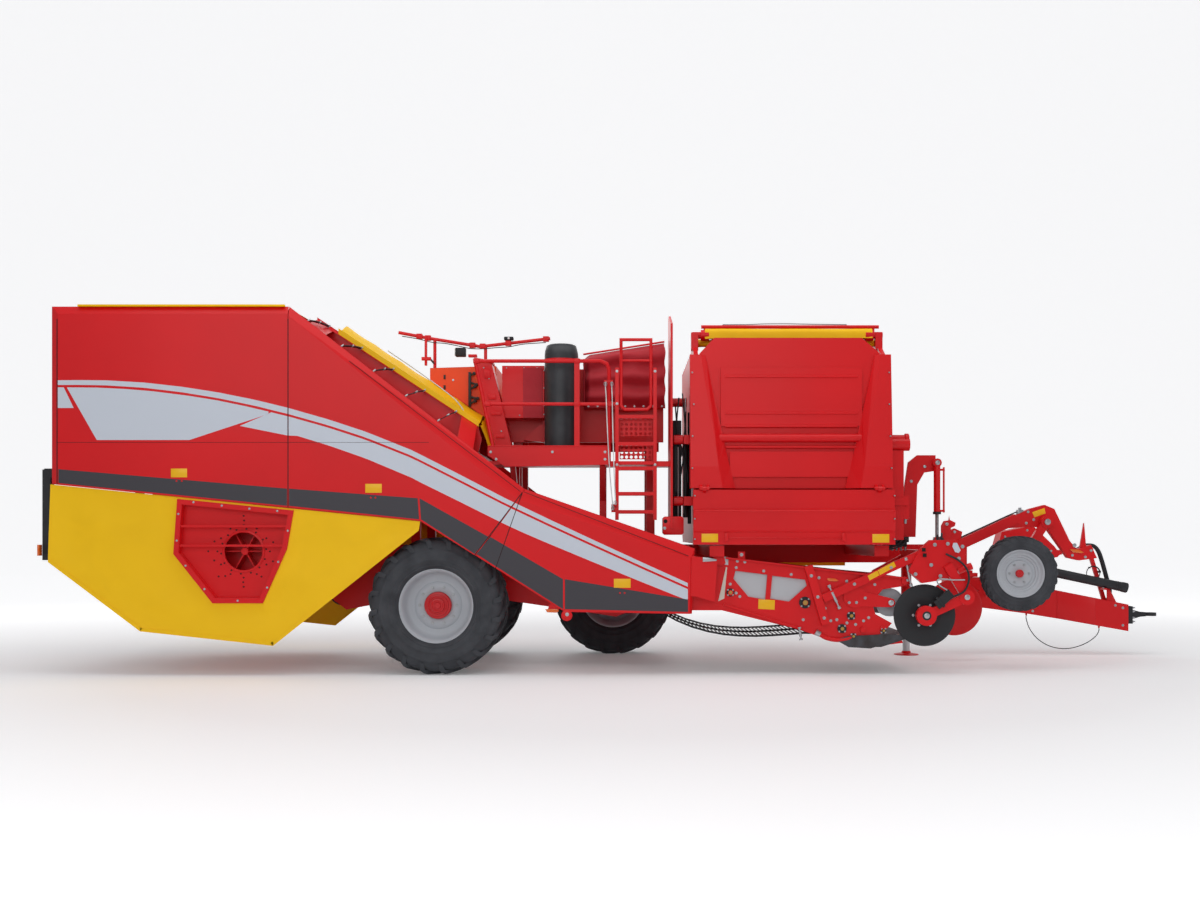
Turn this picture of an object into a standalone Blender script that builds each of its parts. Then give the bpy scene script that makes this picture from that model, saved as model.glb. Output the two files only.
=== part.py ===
"""Trailed two-row potato harvester with a side digging unit, air separation housing and a moving-floor bunker.

Metres. +X points to the hitch, +Y to the machine's left, +Z up, and the tyres stand on Z = 0.
The right side, which faces -Y, is the one with the digging unit.
"""

import bmesh
import bpy
from math import atan2, cos, hypot, pi, radians, sin
from mathutils import Matrix, Vector

# Driving dimensions of the whole machine
HALF_WIDTH = 1.65  # outer faces of the side panels
FRONT_X = 6.556  # nose of the hitch eye
BACK_X = -6.556  # rear face of the lamp bar
SEAT = 0.0004  # gap between pieces that touch
PIN_CLEARANCE = 0.0008  # radial, pin in bore
ROUND = 24  # sides of a turned piece

# Colours: red, green, blue, roughness, metallic
FINISHES = {
    "red_paint": (0.62, 0.012, 0.012, 0.35, 0.0),
    "yellow_tarp": (0.83, 0.47, 0.01, 0.6, 0.0),
    "red_tarp": (0.55, 0.03, 0.035, 0.6, 0.0),
    "orange_plastic": (0.85, 0.16, 0.01, 0.45, 0.0),
    "black_plastic": (0.03, 0.03, 0.035, 0.4, 0.0),
    "tyre_rubber": (0.03, 0.03, 0.032, 0.8, 0.0),
    "silver_rim": (0.5, 0.51, 0.53, 0.4, 0.3),
    "web_steel": (0.05, 0.05, 0.055, 0.5, 0.6),
    "bare_steel": (0.55, 0.53, 0.47, 0.4, 0.8),
    "cast_black": (0.03, 0.03, 0.035, 0.5, 0.5),
    "hose_rubber": (0.02, 0.02, 0.022, 0.6, 0.0),
    "white_rope": (0.75, 0.74, 0.72, 0.8, 0.0),
}


def clear_scene():
    for old in list(bpy.data.objects):
        bpy.data.objects.remove(old, do_unlink=True)


def finish_of(name):
    """The named finish as a material, made on its first use."""
    found = bpy.data.materials.get(name)
    if found:
        return found
    red, green, blue, roughness, metallic = FINISHES[name]
    made = bpy.data.materials.new(name)
    made.use_nodes = True
    shader = made.node_tree.nodes["Principled BSDF"]
    shader.inputs["Base Color"].default_value = (red, green, blue, 1.0)
    shader.inputs["Roughness"].default_value = roughness
    shader.inputs["Metallic"].default_value = metallic
    made.diffuse_color = (red, green, blue, 1.0)
    return made


# Shapes: each function below returns one closed mesh as (points, faces)


def loft(rings, closed=False):
    """Skins rings of equal point count; open ends get a cap."""
    count = len(rings[0])
    points = [tuple(p) for ring in rings for p in ring]
    faces = []
    last = len(rings) if closed else len(rings) - 1
    for i in range(last):
        here, there = i * count, ((i + 1) % len(rings)) * count
        for j in range(count):
            k = (j + 1) % count
            faces.append((here + j, here + k, there + k, there + j))
    if not closed:
        faces.append(tuple(range(count)))
        faces.append(tuple(range((len(rings) - 1) * count, len(rings) * count)))
    return points, faces


def placed(a, b, t, axis):
    """The two outline coordinates a and b, at t along the axis."""
    return {"x": (t, a, b), "y": (a, t, b), "z": (a, b, t)}[axis]


def prism(outline, low, high, axis="y"):
    """A flat outline pulled straight along an axis."""
    return loft([[placed(a, b, t, axis) for a, b in outline] for t in (low, high)])


def box(x, y, z):
    """A block between pairs of limits."""
    return prism([(x[0], z[0]), (x[1], z[0]), (x[1], z[1]), (x[0], z[1])], *y)


def circle(centre, radius, t, axis="y", sides=ROUND, start=0.0):
    turn = [start + 2 * pi * i / sides for i in range(sides)]
    return [placed(centre[0] + radius * cos(a), centre[1] + radius * sin(a), t, axis) for a in turn]


def rod(centre, radius, low, high, axis="y", sides=ROUND):
    """A round bar along an axis."""
    return loft([circle(centre, radius, low, axis, sides), circle(centre, radius, high, axis, sides)])


def lathe(profile, centre, axis="y", sides=ROUND):
    """Turns a profile of (radius, distance) round an axis. Points of no radius become poles."""
    points, rings = [], []
    for radius, t in profile:
        if radius == 0.0:
            rings.append([len(points)])
            points.append(placed(centre[0], centre[1], t, axis))
        else:
            rings.append(list(range(len(points), len(points) + sides)))
            points.extend(circle(centre, radius, t, axis, sides))
    pairs = list(zip(rings, rings[1:]))
    if len(rings[0]) > 1:
        pairs.append((rings[-1], rings[0]))
    faces = []
    for one, two in pairs:
        for j in range(sides):
            k = (j + 1) % sides
            if len(one) == 1:
                faces.append((one[0], two[j], two[k]))
            elif len(two) == 1:
                faces.append((one[j], one[k], two[0]))
            else:
                faces.append((one[j], one[k], two[k], two[j]))
    return points, faces


def tube(route, radius, sides=8, closed=False):
    """A round bar along a route of points, mitred at its bends."""
    route = [Vector(p) for p in route]
    count = len(route)
    rings = []
    side = None
    for i, here in enumerate(route):
        before = route[i - 1] if i or closed else None
        after = route[(i + 1) % count] if i < count - 1 or closed else None
        into = (here - before).normalized() if before else (after - here).normalized()
        out = (after - here).normalized() if after else into
        along = (into + out).normalized()
        if side is None:
            side = along.orthogonal().normalized()
        side = (side - side.dot(along) * along).normalized()
        up = along.cross(side)
        stretch = 1.0 / max(0.35, along.dot(into))
        bend = (out - into)
        ring = []
        for j in range(sides):
            a = 2 * pi * (j + 0.5) / sides
            arm = side * cos(a) + up * sin(a)
            if bend.length > 1e-6:
                inward = bend.normalized()
                arm = arm + inward * arm.dot(inward) * (stretch - 1.0)
            ring.append(here + radius * arm)
        rings.append(ring)
    return loft(rings, closed)


def beam(start, end, width, height):
    """A box section from start to end. Width lies level, height stands square to the run."""
    start, end = Vector(start), Vector(end)
    along = (end - start).normalized()
    level = Vector((0, 0, 1)).cross(along)
    level = level.normalized() if level.length > 1e-6 else Vector((0, 1, 0))
    up = along.cross(level)
    corners = [(-1, -1), (1, -1), (1, 1), (-1, 1)]
    rings = []
    for here in (start, end):
        rings.append([here + level * (a * width / 2) + up * (b * height / 2) for a, b in corners])
    return loft(rings)


def strip(line, thickness, low, high, axis="y"):
    """Sheet metal of one thickness that follows a line and is pulled straight along an axis."""
    line = [Vector(p) for p in line]
    normals = []
    for i in range(len(line)):
        into = (line[i] - line[max(i - 1, 0)])
        out = (line[min(i + 1, len(line) - 1)] - line[i])
        into = out if into.length < 1e-9 else into
        out = into if out.length < 1e-9 else out
        a, b = into.normalized(), out.normalized()
        middle = (a + b).normalized()
        normals.append(Vector((-middle.y, middle.x)) / max(0.4, middle.dot(a)))
    outer = [(p + n * thickness / 2).to_tuple() for p, n in zip(line, normals)]
    inner = [(p - n * thickness / 2).to_tuple() for p, n in zip(line, normals)]
    return prism(outer + inner[::-1], low, high, axis)


def arc(centre, radius, start, end, steps):
    """Points on an arc, angles in degrees."""
    turn = [radians(start + (end - start) * i / steps) for i in range(steps + 1)]
    return [(centre[0] + radius * cos(a), centre[1] + radius * sin(a)) for a in turn]


# Nodes: a node is one object, made of shapes joined into one solid


def raw_object(name, shape, collection):
    points, faces = shape
    mesh = bpy.data.meshes.new(name)
    mesh.from_pydata([tuple(p) for p in points], [], faces)
    work = bmesh.new()
    work.from_mesh(mesh)
    bmesh.ops.recalc_face_normals(work, faces=work.faces)
    work.to_mesh(mesh)
    work.free()
    made = bpy.data.objects.new(name, mesh)
    collection.objects.link(made)
    return made


def boolean(target, shapes, operation):
    """Adds shapes to the target, or cuts them from it, in one exact step."""
    helpers = bpy.data.collections.new("helpers")
    bpy.context.scene.collection.children.link(helpers)
    for shape in shapes:
        raw_object("helper", shape, helpers)
    step = target.modifiers.new(operation, "BOOLEAN")
    step.operation = operation
    step.solver = "EXACT"
    step.operand_type = "COLLECTION"
    step.collection = helpers
    bpy.context.view_layer.update()
    graph = bpy.context.evaluated_depsgraph_get()
    result = bpy.data.meshes.new_from_object(target.evaluated_get(graph))
    target.modifiers.clear()
    target.data = result
    for helper in list(helpers.objects):
        bpy.data.objects.remove(helper, do_unlink=True)
    bpy.data.collections.remove(helpers)


def node(name, finish, shapes, cuts=(), late=(), carrier=None, smooth=True):
    """One named solid: the shapes joined, the cuts taken out, the late shapes added."""
    made = raw_object(name, shapes[0], bpy.context.scene.collection)
    if len(shapes) > 1:
        boolean(made, shapes[1:], "UNION")
    if cuts:
        boolean(made, cuts, "DIFFERENCE")
    if late:
        boolean(made, late, "UNION")
    made.data.name = name
    made.data.materials.clear()
    made.data.materials.append(finish_of(finish))
    if smooth:
        made.data.shade_smooth()
        made.data.set_sharp_from_angle(angle=radians(35))
    if carrier:
        made.data.transform(Matrix.Translation(-carrier.location))
        made.parent = carrier
    return made


def carrier(name, place):
    """The empty that a moving body hangs on, at its joint."""
    made = bpy.data.objects.new(name, None)
    made.location = place
    bpy.context.scene.collection.objects.link(made)
    return made


# Side panels: sheet steel covers, folded over along the top and the rear

PANEL_T = 0.05
PANEL_FOLD = 0.085  # width of the bevelled strip along the top edge
PANEL_IN = HALF_WIDTH - PANEL_T
REAR_X = -6.41
REAR_SEAM_X = -3.84
ROOF_Z = 4.0
KINK = (-1.286, 2.022)  # where the top edge changes slope
NOSE = (0.555, 1.379)  # front end of the top edge
REAR_BOTTOM_Z = 2.076
ARCH_START = (-2.414, 1.676)  # rear end of the cut over the wheel
ARCH_END = (-0.85, 0.694)
NOSE_BOTTOM_Z = 0.672
SEAM_FOOT = (-1.815, 1.300)  # foot of the slanting seam
SEAM_GAP = 0.006
SLOPE = (ROOF_Z - KINK[1]) / (KINK[0] - REAR_SEAM_X)
BOTTOM_SLOPE = (REAR_BOTTOM_Z - ARCH_START[1]) / (ARCH_START[0] - REAR_X)


def bottom_z(x):
    return REAR_BOTTOM_Z - BOTTOM_SLOPE * (x - REAR_X)


def seam_head(drop):
    """The slanting seam's point at this drop below the kink."""
    share = drop / (KINK[1] - SEAM_FOOT[1])
    return (KINK[0] + (SEAM_FOOT[0] - KINK[0]) * share, KINK[1] - drop)


def side_panel(name, inner, outer, side):
    """A panel with a flat outer face that is smaller than its back, so that the fold shows."""
    rings = [[(x, side * PANEL_IN, z) for x, z in inner], [(x, side * HALF_WIDTH, z) for x, z in outer]]
    return node(name, "red_paint", [loft(rings)])


def rear_panels(side, word):
    fold = PANEL_FOLD
    drop = fold * hypot(1, SLOPE)  # the fold measured straight down on the slope
    front = REAR_SEAM_X - SEAM_GAP / 2
    full = [(REAR_X, REAR_BOTTOM_Z), (front, bottom_z(front)), (front, ROOF_Z), (REAR_X, ROOF_Z)]
    face = [
        (REAR_X + fold, bottom_z(REAR_X + fold)),
        (front, bottom_z(front)),
        (front, ROOF_Z - fold),
        (REAR_X + fold, ROOF_Z - fold),
    ]
    side_panel("panel_rear_" + word, full, face, side)
    back = REAR_SEAM_X + SEAM_GAP / 2
    full = [(back, bottom_z(back)), ARCH_START, SEAM_FOOT, KINK, (back, ROOF_Z)]
    face = [(back, bottom_z(back)), ARCH_START, SEAM_FOOT, seam_head(drop), (back, ROOF_Z - drop)]
    side_panel("panel_middle_" + word, full, face, side)


def front_panel():
    """The long nose of the right side. It starts at the slanting seam."""
    drop = PANEL_FOLD * hypot(1, SLOPE)
    head = seam_head(drop)
    foot = (SEAM_FOOT[0] + SEAM_GAP, SEAM_FOOT[1])
    full = [foot, ARCH_END, (NOSE[0] - 0.03, NOSE_BOTTOM_Z), NOSE, (KINK[0] + SEAM_GAP, KINK[1])]
    face = [foot, ARCH_END, (NOSE[0] - 0.06, NOSE_BOTTOM_Z), (NOSE[0] - 0.05, NOSE[1] - drop)]
    face.append((head[0] + SEAM_GAP, head[1]))
    rings = [[(x, -PANEL_IN, z) for x, z in full], [(x, -HALF_WIDTH, z) for x, z in face]]
    # the plate that bridges to the digging unit
    bridge = prism([(0.45, 1.31), (0.80, 1.26), (0.77, 0.80), (0.56, 0.86), (0.45, 0.86)],
        -PANEL_IN - 0.03, -PANEL_IN - 0.005)
    node("panel_front_right", "red_paint", [loft(rings), bridge])


# Rear housing: back wall and roof sheet between the side panels, and the yellow covers

WALL_T = 0.04
ROOF_DROP = 0.06  # the roof sheet lies below the panels' edge
COVER_RISE = 0.07
COVER_T = 0.012
INSIDE_Y = PANEL_IN - SEAT


def rear_hood():
    """One folded sheet: the upright back wall and the roof."""
    z = ROOF_Z - ROOF_DROP
    line = [(REAR_X + 0.03, bottom_z(REAR_X)), (REAR_X + 0.03, z), (REAR_SEAM_X, z),
        (REAR_SEAM_X + 0.12, z - 0.10)]
    node("rear_hood", "red_paint", [strip(line, WALL_T, -INSIDE_Y, INSIDE_Y)])


def roof_cover():
    """A low crowned tarpaulin over the roof opening."""
    low = ROOF_Z - ROOF_DROP + WALL_T / 2 + SEAT
    half = INSIDE_Y - 0.06
    x = (REAR_X + 0.32, REAR_SEAM_X - 0.03)
    crown = [(-half, low), (half, low), (half, low + 0.03), (half * 0.5, low + COVER_RISE)]
    crown += [(-half * 0.5, low + COVER_RISE), (-half, low + 0.03)]
    node("roof_cover", "yellow_tarp", [prism(crown, *x, axis="x")])


SKIRT = [(-6.44, 1.233), (-5.441, 0.483), (-4.004, 0.327), (-2.43, 1.573)]  # the lower edge
SKIRT_OUT = HALF_WIDTH - 0.006
SKIRT_T = 0.014
FAN_HATCH = [(-5.035, 1.915), (-3.778, 1.79), (-3.851, 1.374), (-4.112, 0.788), (-4.654, 0.788),
    (-5.077, 1.32)]
FAN_CENTRE = (-4.343, 1.347)
HATCH_MARGIN = 0.004


def offset_outline(outline, distance):
    """Moves each side of a convex outline outwards by a distance."""
    count = len(outline)
    area = sum(outline[i - 1][0] * p[1] - p[0] * outline[i - 1][1] for i, p in enumerate(outline))
    turn = 1 if area > 0 else -1
    lines = []
    for i in range(count):
        (ax, ay), (bx, by) = outline[i], outline[(i + 1) % count]
        length = hypot(bx - ax, by - ay)
        nx, ny = turn * (by - ay) / length, -turn * (bx - ax) / length
        lines.append((nx, ny, nx * ax + ny * ay + distance))
    moved = []
    for i in range(count):
        a, b = lines[i - 1], lines[i]
        det = a[0] * b[1] - a[1] * b[0]
        moved.append(((a[2] * b[1] - b[2] * a[1]) / det, (a[0] * b[2] - b[0] * a[2]) / det))
    return moved


def skirts(side, word):
    """The yellow sheet that hangs below the panels, cut out round the fan hatch."""
    edge = [(ARCH_START[0], ARCH_START[1] - SEAT), (REAR_X, bottom_z(REAR_X) - SEAT), (SKIRT[0][0], 2.06)]
    y = sorted((side * (SKIRT_OUT - SKIRT_T), side * SKIRT_OUT))
    hole = prism(offset_outline(FAN_HATCH, HATCH_MARGIN) , y[0] - 0.1, y[1] + 0.1)
    slot = box((FAN_HATCH[0][0], FAN_HATCH[1][0]), (y[0] - 0.1, y[1] + 0.1), (1.70, 1.79))
    node("skirt_" + word, "yellow_tarp", [prism(edge + SKIRT, *y)], [hole, slot])


# Fan: a radial fan in a scroll, drawing air through a hatch on each side

HATCH_RIM = 0.055
HATCH_DEPTH = 0.12
HATCH_SHEET = 0.02
HATCH_BARS = ((-5.03, -3.83, 1.62), (-5.05, -3.87, 1.41))  # rear end, front end, height
INLET_R = 0.21
SCROLL_R = 0.47
SCROLL_GROWTH = 0.216  # what the radius gains in a full turn
UPPER_BEAM_Z = (2.13, 2.25)
OUTLET_Z = UPPER_BEAM_Z[0] - SEAT  # the outlet ends under the raised beams
SCROLL_T = 0.03
HATCH_OUT = 0.01  # the hatch stands proud of the panels
SCROLL_Y = HALF_WIDTH + HATCH_OUT - HATCH_DEPTH - SEAT
ROTOR_R = 0.40
ROTOR_W = 0.22
BLADES = 6
FAN_SHAFT_R = 0.04


def fan_hatch(side, word):
    """A hexagonal steel frame with a recessed sheet and the round air inlet."""
    out = side * (HALF_WIDTH + HATCH_OUT)
    back = side * (HALF_WIDTH + HATCH_OUT - HATCH_DEPTH)
    frame = prism(FAN_HATCH, *sorted((out, back)))
    recess = prism(offset_outline(FAN_HATCH, -HATCH_RIM),
        *sorted((out + side * 0.05, back + side * HATCH_SHEET)))
    inlet = rod(FAN_CENTRE, INLET_R, *sorted((out + side * 0.05, back - side * 0.05)))
    bars = []
    for x0, x1, z in HATCH_BARS:
        bars.append(box((x0, x1), sorted((out - side * 0.035, out - side * 0.015)), (z - 0.012, z + 0.012)))
    node("fan_hatch_" + word, "red_paint", [frame], [recess, inlet], bars)


def fan_casing():
    """The scroll: a rolled sheet open at both ends and at its outlet, with a bearing on a foot at mid width."""
    turn = [radians(a) for a in range(75, 361, 22)]
    grow = SCROLL_GROWTH / (2 * pi)
    radii = [SCROLL_R + grow * (a - turn[0]) for a in turn]
    line = [(FAN_CENTRE[0] + r * cos(a), FAN_CENTRE[1] + r * sin(a)) for r, a in zip(radii, turn)]
    over = OUTLET_Z + 0.1
    line = [(line[0][0] - 0.05, over)] + line + [(line[-1][0] + 0.02, over)]
    casing = strip(line, SCROLL_T, -SCROLL_Y, SCROLL_Y)
    foot = box((FAN_CENTRE[0] - 0.05, FAN_CENTRE[0] + 0.05), (-0.03, 0.03), (FAN_CENTRE[1] - 0.585,
        FAN_CENTRE[1]))
    bearing = rod(FAN_CENTRE, 0.09, -0.05, 0.05)
    bore = rod(FAN_CENTRE, FAN_SHAFT_R + PIN_CLEARANCE, -0.2, 0.2, sides=16)
    above = box((REAR_X, 0), (-HALF_WIDTH, HALF_WIDTH), (OUTLET_Z, OUTLET_Z + 0.3))
    node("fan_casing", "red_paint", [casing, foot, bearing], [bore, above])


def fan_rotor():
    """Two bladed wheels on one shaft."""
    hang = carrier("fan_axis", (FAN_CENTRE[0], 0, FAN_CENTRE[1]))
    y_out = SCROLL_Y - 0.02
    shapes = [rod(FAN_CENTRE, FAN_SHAFT_R, -y_out, y_out, sides=16)]
    shapes.append(rod(FAN_CENTRE, 0.07, 0.05 + SEAT, 0.12, sides=16))
    shapes.append(rod(FAN_CENTRE, 0.07, -0.12, -0.05 - SEAT, sides=16))
    for side in (-1, 1):
        back = side * (y_out - ROTOR_W)
        shapes.append(rod(FAN_CENTRE, ROTOR_R, *sorted((back, back + side * 0.02))))
        for i in range(BLADES):
            a = 2 * pi * i / BLADES
            root = (FAN_CENTRE[0] + 0.03 * cos(a), 0, FAN_CENTRE[1] + 0.03 * sin(a))
            tip = (FAN_CENTRE[0] + (ROTOR_R - 0.01) * cos(a), 0, FAN_CENTRE[1] + (ROTOR_R - 0.01) * sin(a))
            low, high = sorted((back + side * 0.01, side * (y_out - 0.03)))
            nx, nz = -sin(a) * 0.006, cos(a) * 0.006
            shapes.append(
                prism(
                    [(root[0] - nx, root[2] - nz), (tip[0] - nx, tip[2] - nz),
                        (tip[0] + nx, tip[2] + nz), (root[0] + nx, root[2] + nz)],
                    low,
                    high,
                )
            )
    node("fan_rotor", "red_paint", shapes, carrier=hang)


# Main frame: two long beams over the wheels, cross members, and the axle below

BEAM_Y = 0.66  # centre line of each long beam
BEAM_W = 0.12
BEAM_Z = (1.18, 1.40)
FRAME_REAR_X = REAR_X + 0.05 + SEAT  # end of the raised part, at the back wall
STEP_X = -3.60  # the long beams rise here to clear the fan
FRAME_RIGHT_END = 0.62
FRAME_HEAD_X = 4.04
OUTER_BEAM_Y = 1.26
AXLE_X = -2.258
WHEEL_R = 0.75
AXLE_SIZE = 0.14
SPINDLE_R = 0.05
FRONT_WHEEL = (-0.343, 1.30)  # X and Y of the third wheel
KINGPIN_Y = 0.86
KINGPIN_R = 0.04
DIG_Y = (0.25 - HALF_WIDTH, 0.02)  # the digging web's width
DIG_PLATE_T = 0.02
DIG_PLATE_GAP = 0.035  # web to side plate
DIG_PIVOT = (0.845, 1.235)
DIG_PIN_R = 0.022
LIFT_Y = -0.75  # the lift cylinder's plane
LIFT_TOP = (3.374, 2.35)
LIFT_PIN_R = 0.025
LIFT_EYE = (3.374, 1.46)  # the rod's eye, on the boom's ears
EYE_PIN_R = 0.018
EYE_BORE_R = 0.030  # wide, because this pivot stays open
JACK = (3.382, 1.0)
JACK_LEG_R = 0.045
JACK_SLEEVE_R = 0.065
PIVOT = (4.18, 1.0)  # the drawbar's upright pin
PIVOT_R = 0.045
EAR_LOW = (0.55, 0.60)
EAR_HIGH = (0.99, 1.04)
CROSS_MEMBERS = (-3.0, -1.45, 0.10)
UPPER_CROSS_MEMBERS = (-3.54, -6.20)
UPPER_CROSS_Y = PANEL_IN - SEAT
# X and right end; the front one clears the digging unit's brace
BUNKER_CROSS_MEMBERS = ((0.80, 0.10 - HALF_WIDTH), (2.62, 0.25 - HALF_WIDTH))
PANEL_BRACKETS = (-0.70, 0.35)


def main_frame():
    low, high = BEAM_Z
    shapes = []
    for y, front in ((-BEAM_Y, FRAME_RIGHT_END), (BEAM_Y, FRAME_HEAD_X)):
        width = (y - BEAM_W / 2, y + BEAM_W / 2)
        shapes.append(box((STEP_X, front), width, BEAM_Z))
        shapes.append(box((STEP_X, STEP_X + BEAM_W), width, (low, UPPER_BEAM_Z[1])))
        shapes.append(box((FRAME_REAR_X, STEP_X + BEAM_W), width, UPPER_BEAM_Z))
    shapes.append(box((0.46, FRAME_HEAD_X), (OUTER_BEAM_Y - 0.06, OUTER_BEAM_Y + 0.06), BEAM_Z))
    for x in CROSS_MEMBERS:
        shapes.append(box((x - 0.06, x + 0.06), (-BEAM_Y, BEAM_Y), (low + 0.02, high - 0.02)))
    for x in UPPER_CROSS_MEMBERS:
        span = (UPPER_BEAM_Z[0] + 0.01, UPPER_BEAM_Z[1] - 0.01)
        shapes.append(box((x - 0.05, x + 0.05), (-UPPER_CROSS_Y, UPPER_CROSS_Y), span))
    for x, right_end in BUNKER_CROSS_MEMBERS:
        shapes.append(box((x - 0.08, x + 0.08), (right_end, OUTER_BEAM_Y), (high - 0.11, high + 0.01)))
    for x in PANEL_BRACKETS:
        shapes.append(box((x - 0.03, x + 0.03), (-UPPER_CROSS_Y, -BEAM_Y), (low + 0.02, low + 0.10)))
    # ears and pins of the digging unit
    plates = (DIG_Y[0] - DIG_PLATE_GAP - DIG_PLATE_T, DIG_Y[1] + DIG_PLATE_GAP + DIG_PLATE_T)
    for y, side in zip(plates, (-1, 1)):
        face = y + side * SEAT
        ear = [(0.75, 1.31), (0.79, 1.215), (0.825, 1.19), (0.865, 1.19), (0.90, 1.215), (0.88, 1.31)]
        shapes.append(prism(ear, *sorted((face, face + side * 0.03))))
        shapes.append(rod(DIG_PIVOT, DIG_PIN_R,
            *sorted((face + side * 0.01, y - side * (DIG_PLATE_T + 0.005)))))
    # head block with the two ears of the drawbar pivot
    shapes.append(box((3.90, FRAME_HEAD_X + 0.02), (BEAM_Y - 0.04, OUTER_BEAM_Y + 0.04),
        (EAR_LOW[0], high - 0.01)))
    for z in (EAR_LOW, EAR_HIGH):
        ear = [(FRAME_HEAD_X - 0.1, PIVOT[1] - 0.13), (PIVOT[0], PIVOT[1] - 0.10),
            (PIVOT[0] + 0.10, PIVOT[1] - 0.04)]
        ear += [(PIVOT[0] + 0.10, PIVOT[1] + 0.04), (PIVOT[0], PIVOT[1] + 0.10),
            (FRAME_HEAD_X - 0.1, PIVOT[1] + 0.13)]
        shapes.append(prism(ear, *z, axis="z"))
    shapes.append(rod(PIVOT, PIVOT_R, EAR_LOW[0] + 0.01, EAR_HIGH[1] + 0.03, "z"))
    # jack sleeve between the two front beams
    shapes.append(box((JACK[0] - 0.05, JACK[0] + 0.05), (BEAM_Y, OUTER_BEAM_Y), (low + 0.04, high - 0.03)))
    shapes.append(rod(JACK, JACK_SLEEVE_R, 0.50, 1.37, "z"))
    # saddles down to the rear axle
    for side in (-1, 1):
        y = sorted((side * (BEAM_Y - 0.05), side * (BEAM_Y + 0.05)))
        saddle = [(AXLE_X - 0.30, low + 0.02), (AXLE_X - 0.11, WHEEL_R - 0.06),
            (AXLE_X + 0.11, WHEEL_R - 0.06), (AXLE_X + 0.30, low + 0.02)]
        shapes.append(prism(saddle, *y))
    cuts = [rod(JACK, JACK_LEG_R + PIN_CLEARANCE, 0.4, 1.5, "z")]
    gap = SEAT
    half = AXLE_SIZE / 2 + gap
    cuts.append(box((AXLE_X - half, AXLE_X + half), (-2, 2), (WHEEL_R - half, WHEEL_R + half)))
    # kingpin bracket of the third wheel
    kx, kz = FRONT_WHEEL[0], WHEEL_R
    for z in ((kz - 0.20, kz - 0.16), (kz + 0.16, kz + 0.20)):
        shapes.append(box((kx - 0.07, kx + 0.07), (BEAM_Y - 0.05, KINGPIN_Y + 0.06), z))
    shapes.append(box((kx - 0.10, kx + 0.10), (BEAM_Y - 0.05, BEAM_Y + 0.05), (kz - 0.20, low + 0.02)))
    shapes.append(rod((kx, KINGPIN_Y), KINGPIN_R, kz - 0.21, kz + 0.22, "z"))
    node("main_frame", "red_paint", shapes + lift_post(), cuts)


def lift_post():
    """The gooseneck that holds the top of the lift cylinder, bracketed to the left long beam."""
    foot = BUNKER_X[1] + SEAT
    post = [(foot, 1.30), (foot, 1.62), (2.96, 1.62), (3.02, 2.10), (3.06, 2.36), (3.16, 2.44),
        (3.37, 2.44)]
    post += [(3.37, 2.26), (3.24, 2.24), (3.16, 2.1), (3.14, 1.50), (2.70, 1.50)]
    y = LIFT_Y
    shapes = [prism(post[:3] + [(2.96, 1.50), (2.70, 1.50), (2.70, 1.30)], y + 0.05, y + 0.11)]
    shapes.append(prism([(2.90, 1.50), (2.90, 1.62)] + post[2:11], y + 0.05, y + 0.11))
    shapes.append(rod(LIFT_TOP, LIFT_PIN_R, y - 0.04, y + 0.08, sides=16))
    return shapes


def rear_axle():
    """The square axle with a turned spindle at each end."""
    shapes = [box((AXLE_X - AXLE_SIZE / 2, AXLE_X + AXLE_SIZE / 2), (-0.90, 0.95),
        (WHEEL_R - AXLE_SIZE / 2, WHEEL_R + AXLE_SIZE / 2))]
    shapes.append(rod((AXLE_X, WHEEL_R), SPINDLE_R, -1.30, 1.30))
    node("rear_axle", "red_paint", shapes)


# Road wheels

RIM_SEAT_R = 0.387
FLANGE_R = 0.408
HUB_R = 0.145
LUGS = 18
LUG_H = 0.035


def tyre(name, centre, y_middle, width, radius, seat_r, lugs, lug_h, hang):
    """A tyre with slanting lugs. Rows of one grid slide round to slant; every second cell is pulled out."""
    half = width / 2
    steps = lugs * 2
    bead_r = (seat_r + SEAT) / cos(pi / steps)  # its flats clear the rim
    carcass = radius - lug_h
    rows = [  # radius, place across the width as a share of half, turn as a share of one lug pitch
        (bead_r, -0.80, 0.0),
        (bead_r, 0.80, 0.0),
        ((seat_r + carcass) / 2, 1.0, 0.0),
        (carcass - 0.04, 0.97, 0.0),
        (carcass - 0.004, 0.86, 0.0),
        (carcass + 0.004, 0.06, 0.55),
        (carcass + 0.004, -0.06, 0.80),
        (carcass - 0.004, -0.86, 1.35),
        (carcass - 0.04, -0.97, 1.35),
        ((seat_r + carcass) / 2, -1.0, 1.35),
    ]
    work = bmesh.new()
    grid = []
    for r, share, turn in rows:
        ring = []
        for j in range(steps):
            a = 2 * pi * (j / steps + turn / lugs / 2)
            ring.append(work.verts.new((centre[0] + r * cos(a), y_middle + share * half,
                centre[1] + r * sin(a))))
        grid.append(ring)
    raised = []
    for i in range(len(rows)):
        one, two = grid[i], grid[(i + 1) % len(rows)]
        for j in range(steps):
            k = (j + 1) % steps
            face = work.faces.new((one[j], one[k], two[k], two[j]))
            if (i == 4 and j % 2 == 0) or (i == 6 and j % 2 == 1):
                raised.append(face)
    bmesh.ops.recalc_face_normals(work, faces=work.faces)
    for face in raised:
        made = bmesh.ops.extrude_discrete_faces(work, faces=[face])["faces"][0]
        for v in made.verts:
            arm = Vector((v.co.x - centre[0], 0, v.co.z - centre[1]))
            v.co += arm.normalized() * (lug_h - 0.004)
    mesh = bpy.data.meshes.new(name)
    work.to_mesh(mesh)
    work.free()
    mesh.materials.append(finish_of("tyre_rubber"))
    made = bpy.data.objects.new(name, mesh)
    bpy.context.scene.collection.objects.link(made)
    mesh.shade_smooth()
    mesh.set_sharp_from_angle(angle=radians(30))
    mesh.transform(Matrix.Translation(-hang.location))
    made.parent = hang
    return made


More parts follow.
